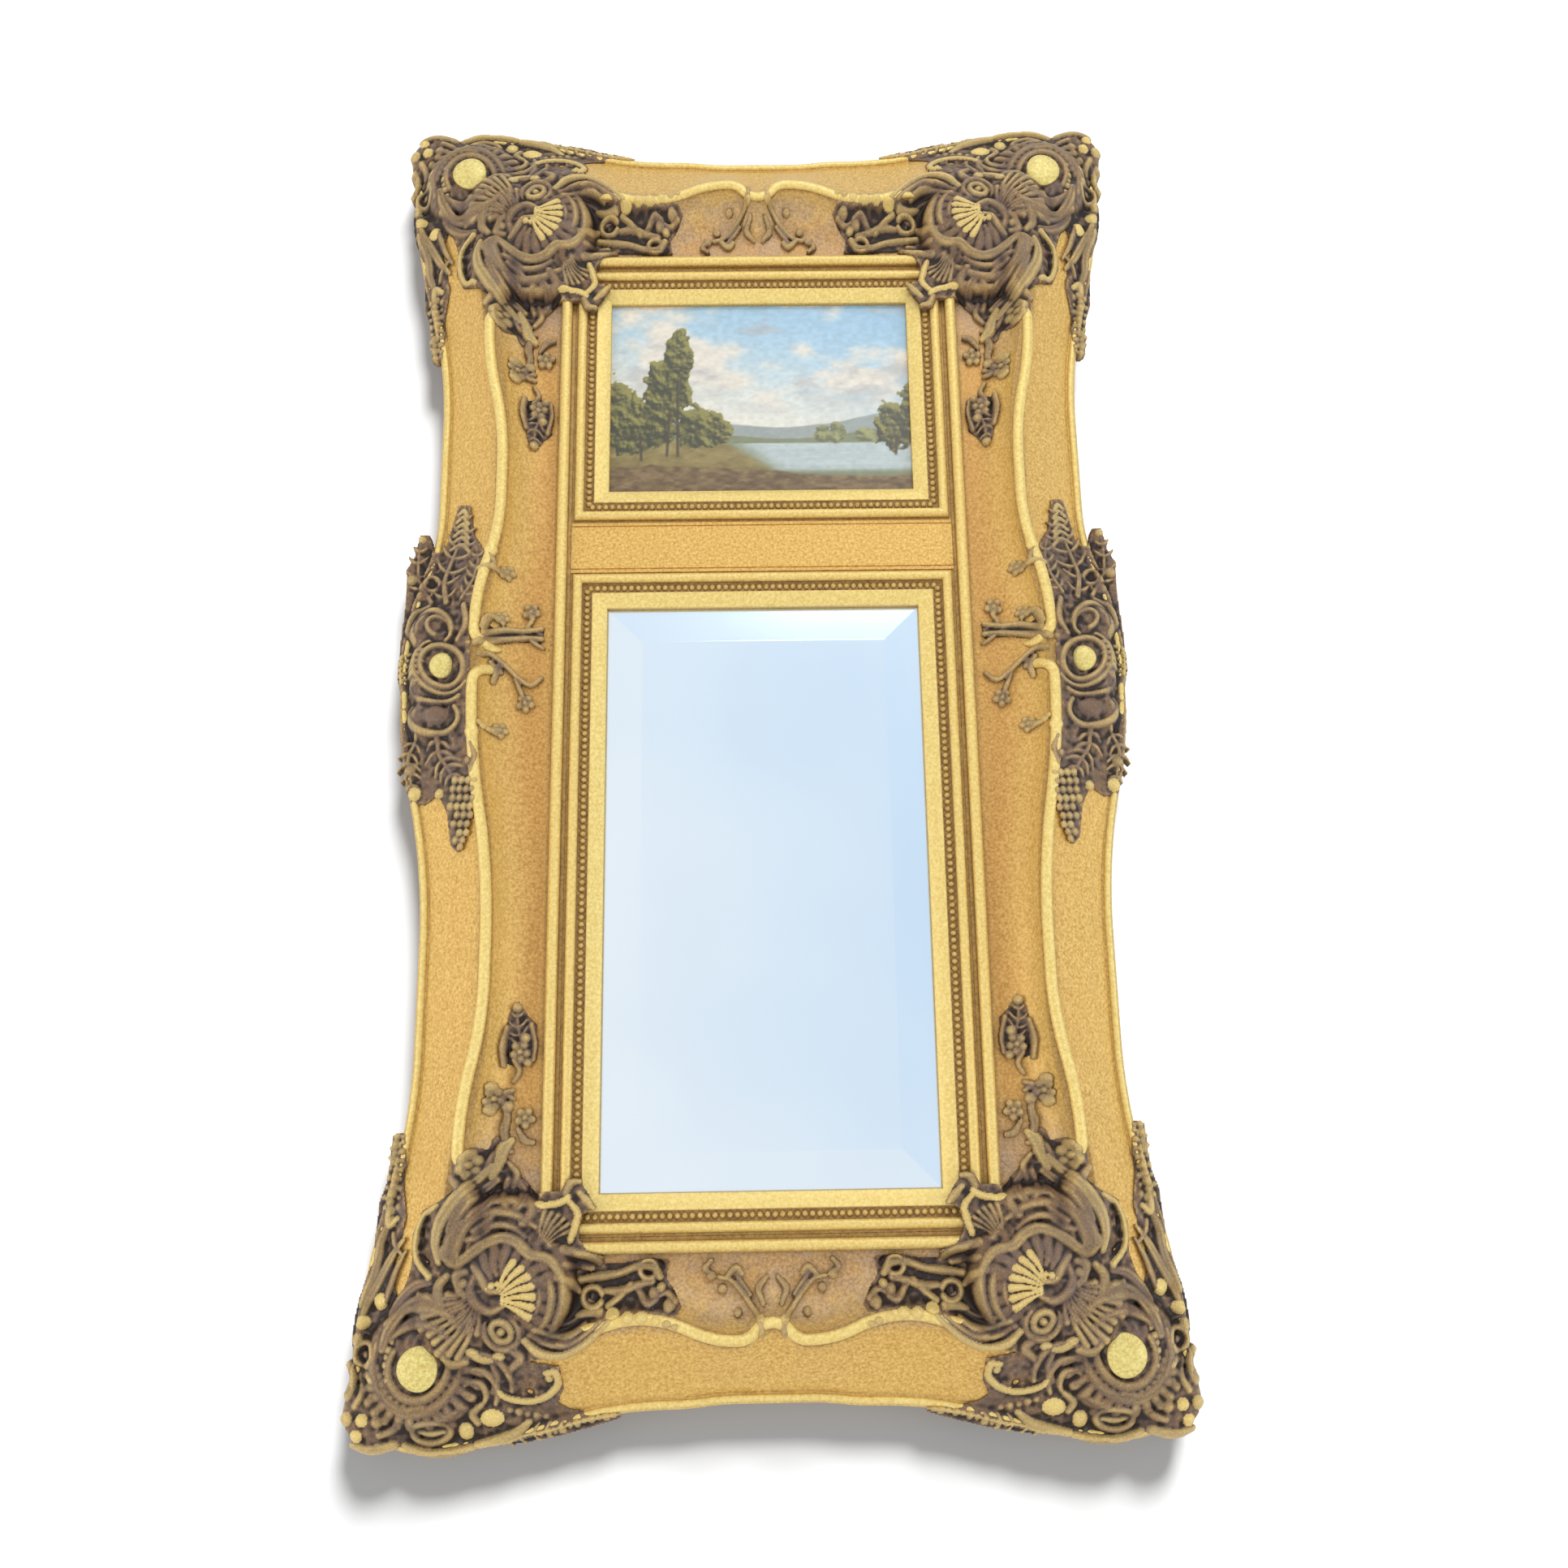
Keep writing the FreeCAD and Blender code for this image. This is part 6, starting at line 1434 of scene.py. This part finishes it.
# %% The painted panel
def picture_piece():
    """A grid over the front of the panel, with turned-back edges; colours are a point attribute."""
    low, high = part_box("painting_panel")
    columns, rows = 330, 230
    xs, zs = np.linspace(low[0], high[0], columns), np.linspace(low[2], high[2], rows)
    z, x = np.meshgrid(zs, xs, indexing="ij")
    width, height = (high[0] - low[0]) * 1000, (high[2] - low[2]) * 1000
    px, pz = (x - low[0]) * 1000, (z - low[2]) * 1000
    card, _, _ = valley(px, pz, width, height)
    card = add_trees(card, px, pz, width, height)
    brush = cloudy(px * 0.6, pz, 2.6, 30, 3)[..., None]
    card = np.clip(card * (0.93 + 0.14 * brush), 0, 255) / 255.0
    light = np.where(card > 0.04045, ((card + 0.055) / 1.055) ** 2.4, card / 12.92)
    front_y, back_y = low[1], high[1]
    face = np.stack([x, np.full(x.shape, front_y), z], axis=-1).reshape(-1, 3)
    ring = np.concatenate([np.arange(columns), np.arange(1, rows) * columns + columns - 1,
                           (rows - 1) * columns + np.arange(columns - 2, -1, -1),
                           np.arange(rows - 2, 0, -1) * columns])
    back = face[ring].copy()
    back[:, 1] = back_y
    start = len(face)
    step = np.arange(len(ring))
    after = np.roll(step, -1)
    walls = np.stack([ring[step], ring[after], start + after, start + step], axis=-1)
    squares = np.vstack([grid_faces(rows, columns)[:, ::-1], walls])
    points = np.vstack([face, back])
    colours = np.ones((len(points), 4))
    colours[:start, :3] = light.reshape(-1, 3)
    colours[start:, :3] = light.reshape(-1, 3)[ring]
    return points, squares, [start + step[::-1]], colours


def varnished(name):
    """Colours from the attribute, under a thin varnish with faint brush ridges."""
    f = Finish(name, roughness=0.38)
    f.shader.inputs["Coat Weight"].default_value = 0.25
    f.shader.inputs["Coat Roughness"].default_value = 0.2
    dust = f.noise(1400.0, 2.0, 0.5, 0.3, 0.7)
    f.colour(f.mix(f.sum(dust, 0.10), f.colour_mark("pigment"), paint(206, 196, 170)))
    f.bump(f.noise(900.0, 3.0, 0.6, along=(1.0, 1.0, 2.2)), 0.0002, 0.35)
    return f.material


points, squares, caps, colours = picture_piece()
make_piece("valley_picture", points, squares, varnished("varnished_paint"), caps=caps,
           marks={"pigment": colours},
           stands_for=("painting_panel",))
print("picture points:", len(points))

# %% [markdown]
# ## The bevelled glass
# A mirror with a wide bevel, which throws each border's reflection a little aside. It is a stack of
# rectangular rings with sharp edges, one of them the half-millimetre polished arris where the bevel
# begins. Silvering is smooth metal that shows a real reflection, and its cool blue cast, faintly
# mottled, is partly a painted blue of the sky in that reflection.

# %% Silvered glass
def silvering(name):
    """Smooth metal with a cool blue tint, faintly mottled, that partly paints the sky's blue, and very
    faint cloudiness in its roughness.
    """
    f = Finish(name, metallic=1.0, roughness=0.03)
    # Partly a painted reflection: the blue tint and its faint mottling stand in for the sky's blue.
    f.colour(f.mix(f.noise(5.0, 2.0, 0.5, 0.35, 0.65), paint(224, 236, 246), paint(232, 241, 248)))
    f.roughness(f.noise(14.0, 3.0, 0.5, -6.0, 30.0))
    return f.material


def dress(node, *materials):
    """Gives a CAD node its finish in every material slot."""
    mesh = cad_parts[node].data
    if not mesh.materials:
        mesh.materials.append(materials[0])
    for k in range(len(mesh.materials)):
        mesh.materials[k] = materials[min(k, len(materials) - 1)]


def bevelled_glass():
    """Rings of four corners: back, edge, cut edge, foot and head of the polished arris, and the flat."""
    low, high = (np.array(v) * 1000 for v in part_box("mirror_glass"))
    rings = [(16.0, high[1]), (0.0, high[1]), (0.0, low[1] + 2.0), (33.8, low[1] + 0.06),
             (34.3, low[1]), (60.0, low[1])]
    points = []
    for inset, y in rings:
        x0, x1, z0, z1 = low[0] + inset, high[0] - inset, low[2] + inset, high[2] - inset
        points.append([(x0, y, z0), (x1, y, z0), (x1, y, z1), (x0, y, z1)])
    last = 4 * (len(rings) - 1)
    return np.array(points) / 1000.0, grid_faces(len(rings), 4, wrap_cols=True), [[0, 1, 2, 3],
        [last + 3, last + 2, last + 1, last]]


points, squares, caps = bevelled_glass()
make_piece("bevelled_mirror", points, squares, silvering("silvered_glass"), caps=caps, crease=0.4,
           stands_for=("mirror_glass",))
dress("frieze_rail", gilt_wood)

# %% [markdown]
# ## Behind the frame
# The back is plain work: hardboard behind both openings, zinc framer's points, V-nails across the
# mitres, and two strap hangers with D-rings. Board is fibrous and brown, the straps are zinc-plated
# steel with a dull bloom, and the two bumpers are grey rubber.

# %% Back finishes
def hardboard(name):
    f = Finish(name, roughness=0.75)
    fibre = f.noise(160.0, 6.0, 0.7, 0.3, 0.7)
    speck = f.noise(900.0, 2.0, 0.5, 0.55, 0.75)
    tone = f.mix(fibre, paint(112, 78, 46), paint(150, 112, 72))
    f.colour(f.mix(f.sum(speck, 0.5), tone, paint(184, 150, 108)))
    f.bump(fibre, 0.0004, 0.4)
    return f.material


def zinc(name):
    f = Finish(name, metallic=0.9, roughness=0.36)
    bloom = f.noise(70.0, 5.0, 0.6, 0.3, 0.7)
    f.colour(f.mix(bloom, paint(158, 160, 162), paint(206, 208, 208)))
    f.roughness(f.spread(bloom, 0, 1, 0.28, 0.5))
    f.bump(f.noise(420.0, 2.0), 0.0002, 0.25)
    return f.material


def rubber(name):
    f = Finish(name, roughness=0.8)
    f.colour(f.mix(f.noise(500.0, 3.0, 0.6, 0.3, 0.7), paint(62, 62, 64), paint(88, 88, 90)))
    f.bump(f.noise(900.0, 2.0), 0.0002, 0.4)
    return f.material


plated = zinc("plated_steel")
brown_board = hardboard("brown_hardboard")
grey_rubber = rubber("grey_rubber")
for node in ("mirror_backing_board", "painting_backing_board"):
    dress(node, brown_board)
for node in ("mirror_points", "painting_points", "slip_points", "mitre_v_nails", "hanger_straps"):
    dress(node, plated)

# %% [markdown]
# ### D-rings, screws and bumpers
# The CAD has these as short facets. A round wire follows the ring's line of pin, legs and bow, a
# screw head is a low dome with a slot, and a bumper is a turned button.

# %% Round wire rings
def ring_points(radius=1.45, half=10.0, leg=7.0, corner_radius=3.5):
    """Wire circle carried round a closed D: straight pin, two small corners, legs and a half circle."""
    q = np.linspace(0, math.pi / 2, 9)
    h = np.linspace(0, math.pi, 33)
    pin = np.stack([np.linspace(-(half - corner_radius), half - corner_radius, 10), np.zeros(10)],
                   axis=-1)
    right = np.stack([half - corner_radius + corner_radius * np.sin(q),
                      -corner_radius + corner_radius * np.cos(q)], axis=-1)
    bow = np.stack([half * np.cos(h), -leg - half * np.sin(h)], axis=-1)
    left = right[::-1] * [-1, 1]
    line = np.concatenate([pin, right[1:], bow, left[:-1]])
    ahead = np.roll(line, -1, axis=0) - np.roll(line, 1, axis=0)
    ahead /= np.hypot(*ahead.T)[:, None]
    out = np.stack([ahead[:, 1], -ahead[:, 0]], axis=-1)
    turn = np.linspace(0, 2 * math.pi, 14, endpoint=False)
    flat = line[:, None] + out[:, None] * (radius * np.cos(turn))[None, :, None]
    return flat[..., 0], radius * np.sin(turn)[None] + 0 * flat[..., 0], flat[..., 1]


for side_name, sign in (("left", -1), ("right", 1)):
    low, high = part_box(f"{side_name}_hanger_ring")
    x, y, z = ring_points(radius=(high[1] - low[1]) * 500 * 0.97)
    centre = (np.array(low) + np.array(high)) / 2 * 1000
    top = high[2] * 1000 - (high[1] - low[1]) * 500
    points = np.stack([x + centre[0], y + centre[1], z + top], axis=-1) / 1000.0
    make_piece(f"{side_name}_d_ring", points, grid_faces(*x.shape, wrap_rows=True, wrap_cols=True),
               plated,
               body=f"{side_name}_ring_body", stands_for=(f"{side_name}_hanger_ring",))
    print(side_name, "ring centre", [round(float(v), 1) for v in centre])

# %% Screw heads and bumpers
def turned(profile, sides=32):
    """Lathe: each (radius, height) of the profile carried round, with a cap at both ends."""
    radius, height = np.array(profile, float).T
    turn = np.linspace(0, 2 * math.pi, sides, endpoint=False)
    rows = len(radius)
    shape = np.stack([radius[:, None] * np.cos(turn), radius[:, None] * np.sin(turn),
                      height[:, None] + 0 * turn], axis=-1)
    return shape, grid_faces(rows, sides, wrap_cols=True), [np.arange(sides),
        np.arange(sides)[::-1] + (rows - 1) * sides]


def solids_of(node):
    """Boxes of the separate solids of a node, found by following shared corners of its triangles."""
    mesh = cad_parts[node].data
    count = len(mesh.vertices)
    spots = np.empty(count * 3)
    mesh.vertices.foreach_get("co", spots)
    spots = spots.reshape(-1, 3)
    links = np.empty(len(mesh.edges) * 2, int)
    mesh.edges.foreach_get("vertices", links)
    links = links.reshape(-1, 2)
    _, same = np.unique(np.round(spots, 6), axis=0, return_inverse=True)
    group = np.arange(same.max() + 1)
    a, b = same.ravel()[links[:, 0]], same.ravel()[links[:, 1]]
    while True:
        least = np.minimum(group[a], group[b])
        before = group.copy()
        np.minimum.at(group, a, least)
        np.minimum.at(group, b, least)
        if (group == before).all():
            break
    label = group[same.ravel()]
    return [(spots[label == g].min(axis=0),
             spots[label == g].max(axis=0)) for g in np.unique(label)]


def set_copies(name, node, profile, material, slot_cut=False):
    """One lathed shape at every solid of a node, looking backward along +y."""
    shape, squares, caps = turned(profile)
    blocks, faces, all_caps = [], [], []
    for k, (low, high) in enumerate(solids_of(node)):
        middle = (low + high) / 2 * 1000
        points = np.stack([middle[0] + shape[..., 0], high[1] * 1000 + shape[..., 2],
                           middle[2] + shape[..., 1]], axis=-1)
        if slot_cut:
            groove = np.clip(1 - (np.abs(shape[..., 1]) / 0.55) ** 4, 0, 1) * (shape[..., 2] > -1.4)
            points[..., 1] -= 0.8 * groove
        blocks.append(points.reshape(-1, 3) / 1000.0)
        faces.append(squares + k * shape.shape[0] * shape.shape[1])
        all_caps += [cap + k * shape.shape[0] * shape.shape[1] for cap in caps]
    size = len(blocks[0])
    points, faces = np.vstack(blocks), np.vstack(faces)
    faces, all_caps = facing_out(points, faces, all_caps, size)
    make_piece(name, points, faces, material, caps=all_caps, crease=40.0, stands_for=(node,))
    print(name, "copies:", len(blocks))


DOME = [(0.15, 0.0), (0.5, -0.02), (0.9, -0.06), (1.5, -0.2), (2.1, -0.42), (2.7, -0.78),
        (3.1, -1.15), (3.35, -1.6), (3.3, -1.8), (1.6, -1.9), (1.5, -12.0), (0.3, -15.5)]
set_copies("slotted_screws", "hanger_screws", DOME, plated, slot_cut=True)
BUTTON = [(0.4, -0.02), (6.0, -0.02), (7.6, -0.3), (8.5, -1.0), (8.9, -2.2), (9.0, -3.4),
          (9.0, -5.4), (8.6, -5.98), (0.4, -5.98)]
set_copies("rubber_buttons", "wall_bumpers", BUTTON, grey_rubber)

# %% [markdown]
# ## Room, light and camera
# The mirror hangs on a white wall over a pale floor. The wall lets itself be looked through from
# behind, so that the back of the frame can be seen. An even white sky gives most of the light, a
# soft lamp above and two low ones at the sides model the relief, and a sun that lights the wall
# alone throws the soft shadow. The camera looks slightly up.

# %% Wall and floor
def backdrop(name, corners, glow, reflect):
    """One large square that only the camera sees; from behind it is clear."""
    mesh = bpy.data.meshes.new(name)
    mesh.from_pydata(corners, [], [(0, 1, 2, 3)])
    piece = bpy.data.objects.new(name, mesh)
    bpy.context.scene.collection.objects.link(piece)
    material = bpy.data.materials.new(name)
    material.use_nodes = True
    tree = material.node_tree
    nodes, links = tree.nodes, tree.links
    shader, out = nodes["Principled BSDF"], nodes["Material Output"]
    shader.inputs["Base Color"].default_value = (reflect, reflect, reflect, 1)
    shader.inputs["Roughness"].default_value = 0.9
    shader.inputs["Emission Color"].default_value = (1, 1, 1, 1)
    rays = nodes.new("ShaderNodeLightPath")
    strength = nodes.new("ShaderNodeMath")
    strength.operation = "MULTIPLY"
    strength.inputs[1].default_value = glow
    links.new(rays.outputs["Is Camera Ray"], strength.inputs[0])
    links.new(strength.outputs[0], shader.inputs["Emission Strength"])
    clear = nodes.new("ShaderNodeBsdfTransparent")
    choose = nodes.new("ShaderNodeMixShader")
    geometry = nodes.new("ShaderNodeNewGeometry")
    links.new(geometry.outputs["Backfacing"], choose.inputs[0])
    links.new(shader.outputs[0], choose.inputs[1])
    links.new(clear.outputs[0], choose.inputs[2])
    links.new(choose.outputs[0], out.inputs["Surface"])
    mesh.materials.append(material)
    piece.visible_diffuse = False
    piece.visible_glossy = False
    piece.visible_shadow = False
    return piece


FLOOR_Z, WALL_Y, WALL_TOP, FAR = -0.95, 0.0012, 5, 6
wall = backdrop("white_wall", [(-FAR, WALL_Y, FLOOR_Z), (FAR, WALL_Y, FLOOR_Z),
                               (FAR, WALL_Y, WALL_TOP), (-FAR, WALL_Y, WALL_TOP)], glow=0.07,
                               reflect=0.31)
backdrop("pale_floor", [(-FAR, -FAR, FLOOR_Z), (FAR, -FAR, FLOOR_Z),
                        (FAR, WALL_Y, FLOOR_Z), (-FAR, WALL_Y, FLOOR_Z)], glow=0.2, reflect=0.86)

# %% Lamps and sky
def lamp(name, spot, aim, size, power, tint=(1, 1, 1)):
    """Square lamp that looks from spot to aim."""
    data = bpy.data.lights.new(name, "AREA")
    data.size, data.energy, data.color = size, power, tint
    piece = bpy.data.objects.new(name, data)
    piece.location = spot
    piece.rotation_euler = (Vector(aim) - Vector(spot)).to_track_quat("-Z", "Y").to_euler()
    bpy.context.scene.collection.objects.link(piece)
    return piece


LAMP_AIM = (0, 0, -0.3)
lamp("high_lamp", (0.4, -1.5, 1.3), LAMP_AIM, 1.0, 9.0, (1.0, 0.985, 0.96))
lamp("side_fill", (-2.2, -1.3, -0.9), LAMP_AIM, 1.2, 12.0)
lamp("other_fill", (2.2, -1.3, -0.9), LAMP_AIM, 1.2, 12.0)
sun = bpy.data.lights.new("wall_sun", "SUN")
sun.energy, sun.angle = 12.0, 0.3
wall_lamp = bpy.data.objects.new("wall_sun", sun)
wall_lamp.location = (0.35, -1.0, 1.25)
wall_lamp.rotation_euler = (-wall_lamp.location).to_track_quat("-Z", "Y").to_euler()
bpy.context.scene.collection.objects.link(wall_lamp)
wall_only = bpy.data.collections.new("wall_only")
wall_only.objects.link(wall)
wall_lamp.light_linking.receiver_collection = wall_only

world = bpy.data.worlds.new("white_sky")
bpy.context.scene.world = world
world.use_nodes = True
nodes, links = world.node_tree.nodes, world.node_tree.links
background = nodes["Background"]
rays = nodes.new("ShaderNodeLightPath")
place_node = nodes.new("ShaderNodeTexCoord")
drift = nodes.new("ShaderNodeTexNoise")
drift.inputs["Scale"].default_value = 5.0
drift.inputs["Detail"].default_value = 4.0
links.new(place_node.outputs["Generated"], drift.inputs["Vector"])
lean = nodes.new("ShaderNodeVectorMath")
lean.operation = "DOT_PRODUCT"
lean.inputs[1].default_value = (-2.6, 0.0, -1.4)
links.new(place_node.outputs["Generated"], lean.inputs[0])
share = nodes.new("ShaderNodeMath")
share.operation = "MULTIPLY_ADD"
share.inputs[1].default_value = 1.5
links.new(drift.outputs["Fac"], share.inputs[0])
links.new(lean.outputs["Value"], share.inputs[2])
sky = nodes.new("ShaderNodeMix")
sky.data_type = "RGBA"
sky.clamp_factor = True
sky.inputs[6].default_value = (0.78, 0.89, 1.0, 1)
sky.inputs[7].default_value = (1.0, 1.0, 1.0, 1)
links.new(share.outputs[0], sky.inputs[0])
shown = nodes.new("ShaderNodeMath")
shown.operation = "MAXIMUM"
links.new(rays.outputs["Is Glossy Ray"], shown.inputs[0])
links.new(rays.outputs["Is Transmission Ray"], shown.inputs[1])
tint = nodes.new("ShaderNodeMix")
tint.data_type = "RGBA"
tint.inputs[6].default_value = (1, 1, 1, 1)
links.new(shown.outputs[0], tint.inputs[0])
links.new(sky.outputs[2], tint.inputs[7])
links.new(tint.outputs[2], background.inputs["Color"])
either = nodes.new("ShaderNodeMath")
either.operation = "MAXIMUM"
links.new(rays.outputs["Is Camera Ray"], either.inputs[0])
links.new(shown.outputs[0], either.inputs[1])
level = nodes.new("ShaderNodeMapRange")
level.inputs["To Min"].default_value = 0.76
level.inputs["To Max"].default_value = 1.0
links.new(either.outputs[0], level.inputs["Value"])
links.new(level.outputs["Result"], background.inputs["Strength"])

# %% Camera
camera_data = bpy.data.cameras.new("camera")
camera_data.lens, camera_data.sensor_width, camera_data.clip_end = 31.68, 36.0, 50.0
camera = bpy.data.objects.new("camera", camera_data)
bpy.context.scene.collection.objects.link(camera)
right = (0.99979936, -0.01139664, -0.0164726)
up = (0.01325779, -0.23995716, 0.97069294)
ahead = (0.01501536, 0.97071658, 0.23975792)
turn = Matrix([(right[k], up[k], -ahead[k]) for k in range(3)])
camera.matrix_world = Matrix.Translation((-0.001744, -1.1065, -0.5452)) @ turn.to_4x4()
bpy.context.scene.camera = camera
bpy.context.scene.view_settings.view_transform = "Standard"
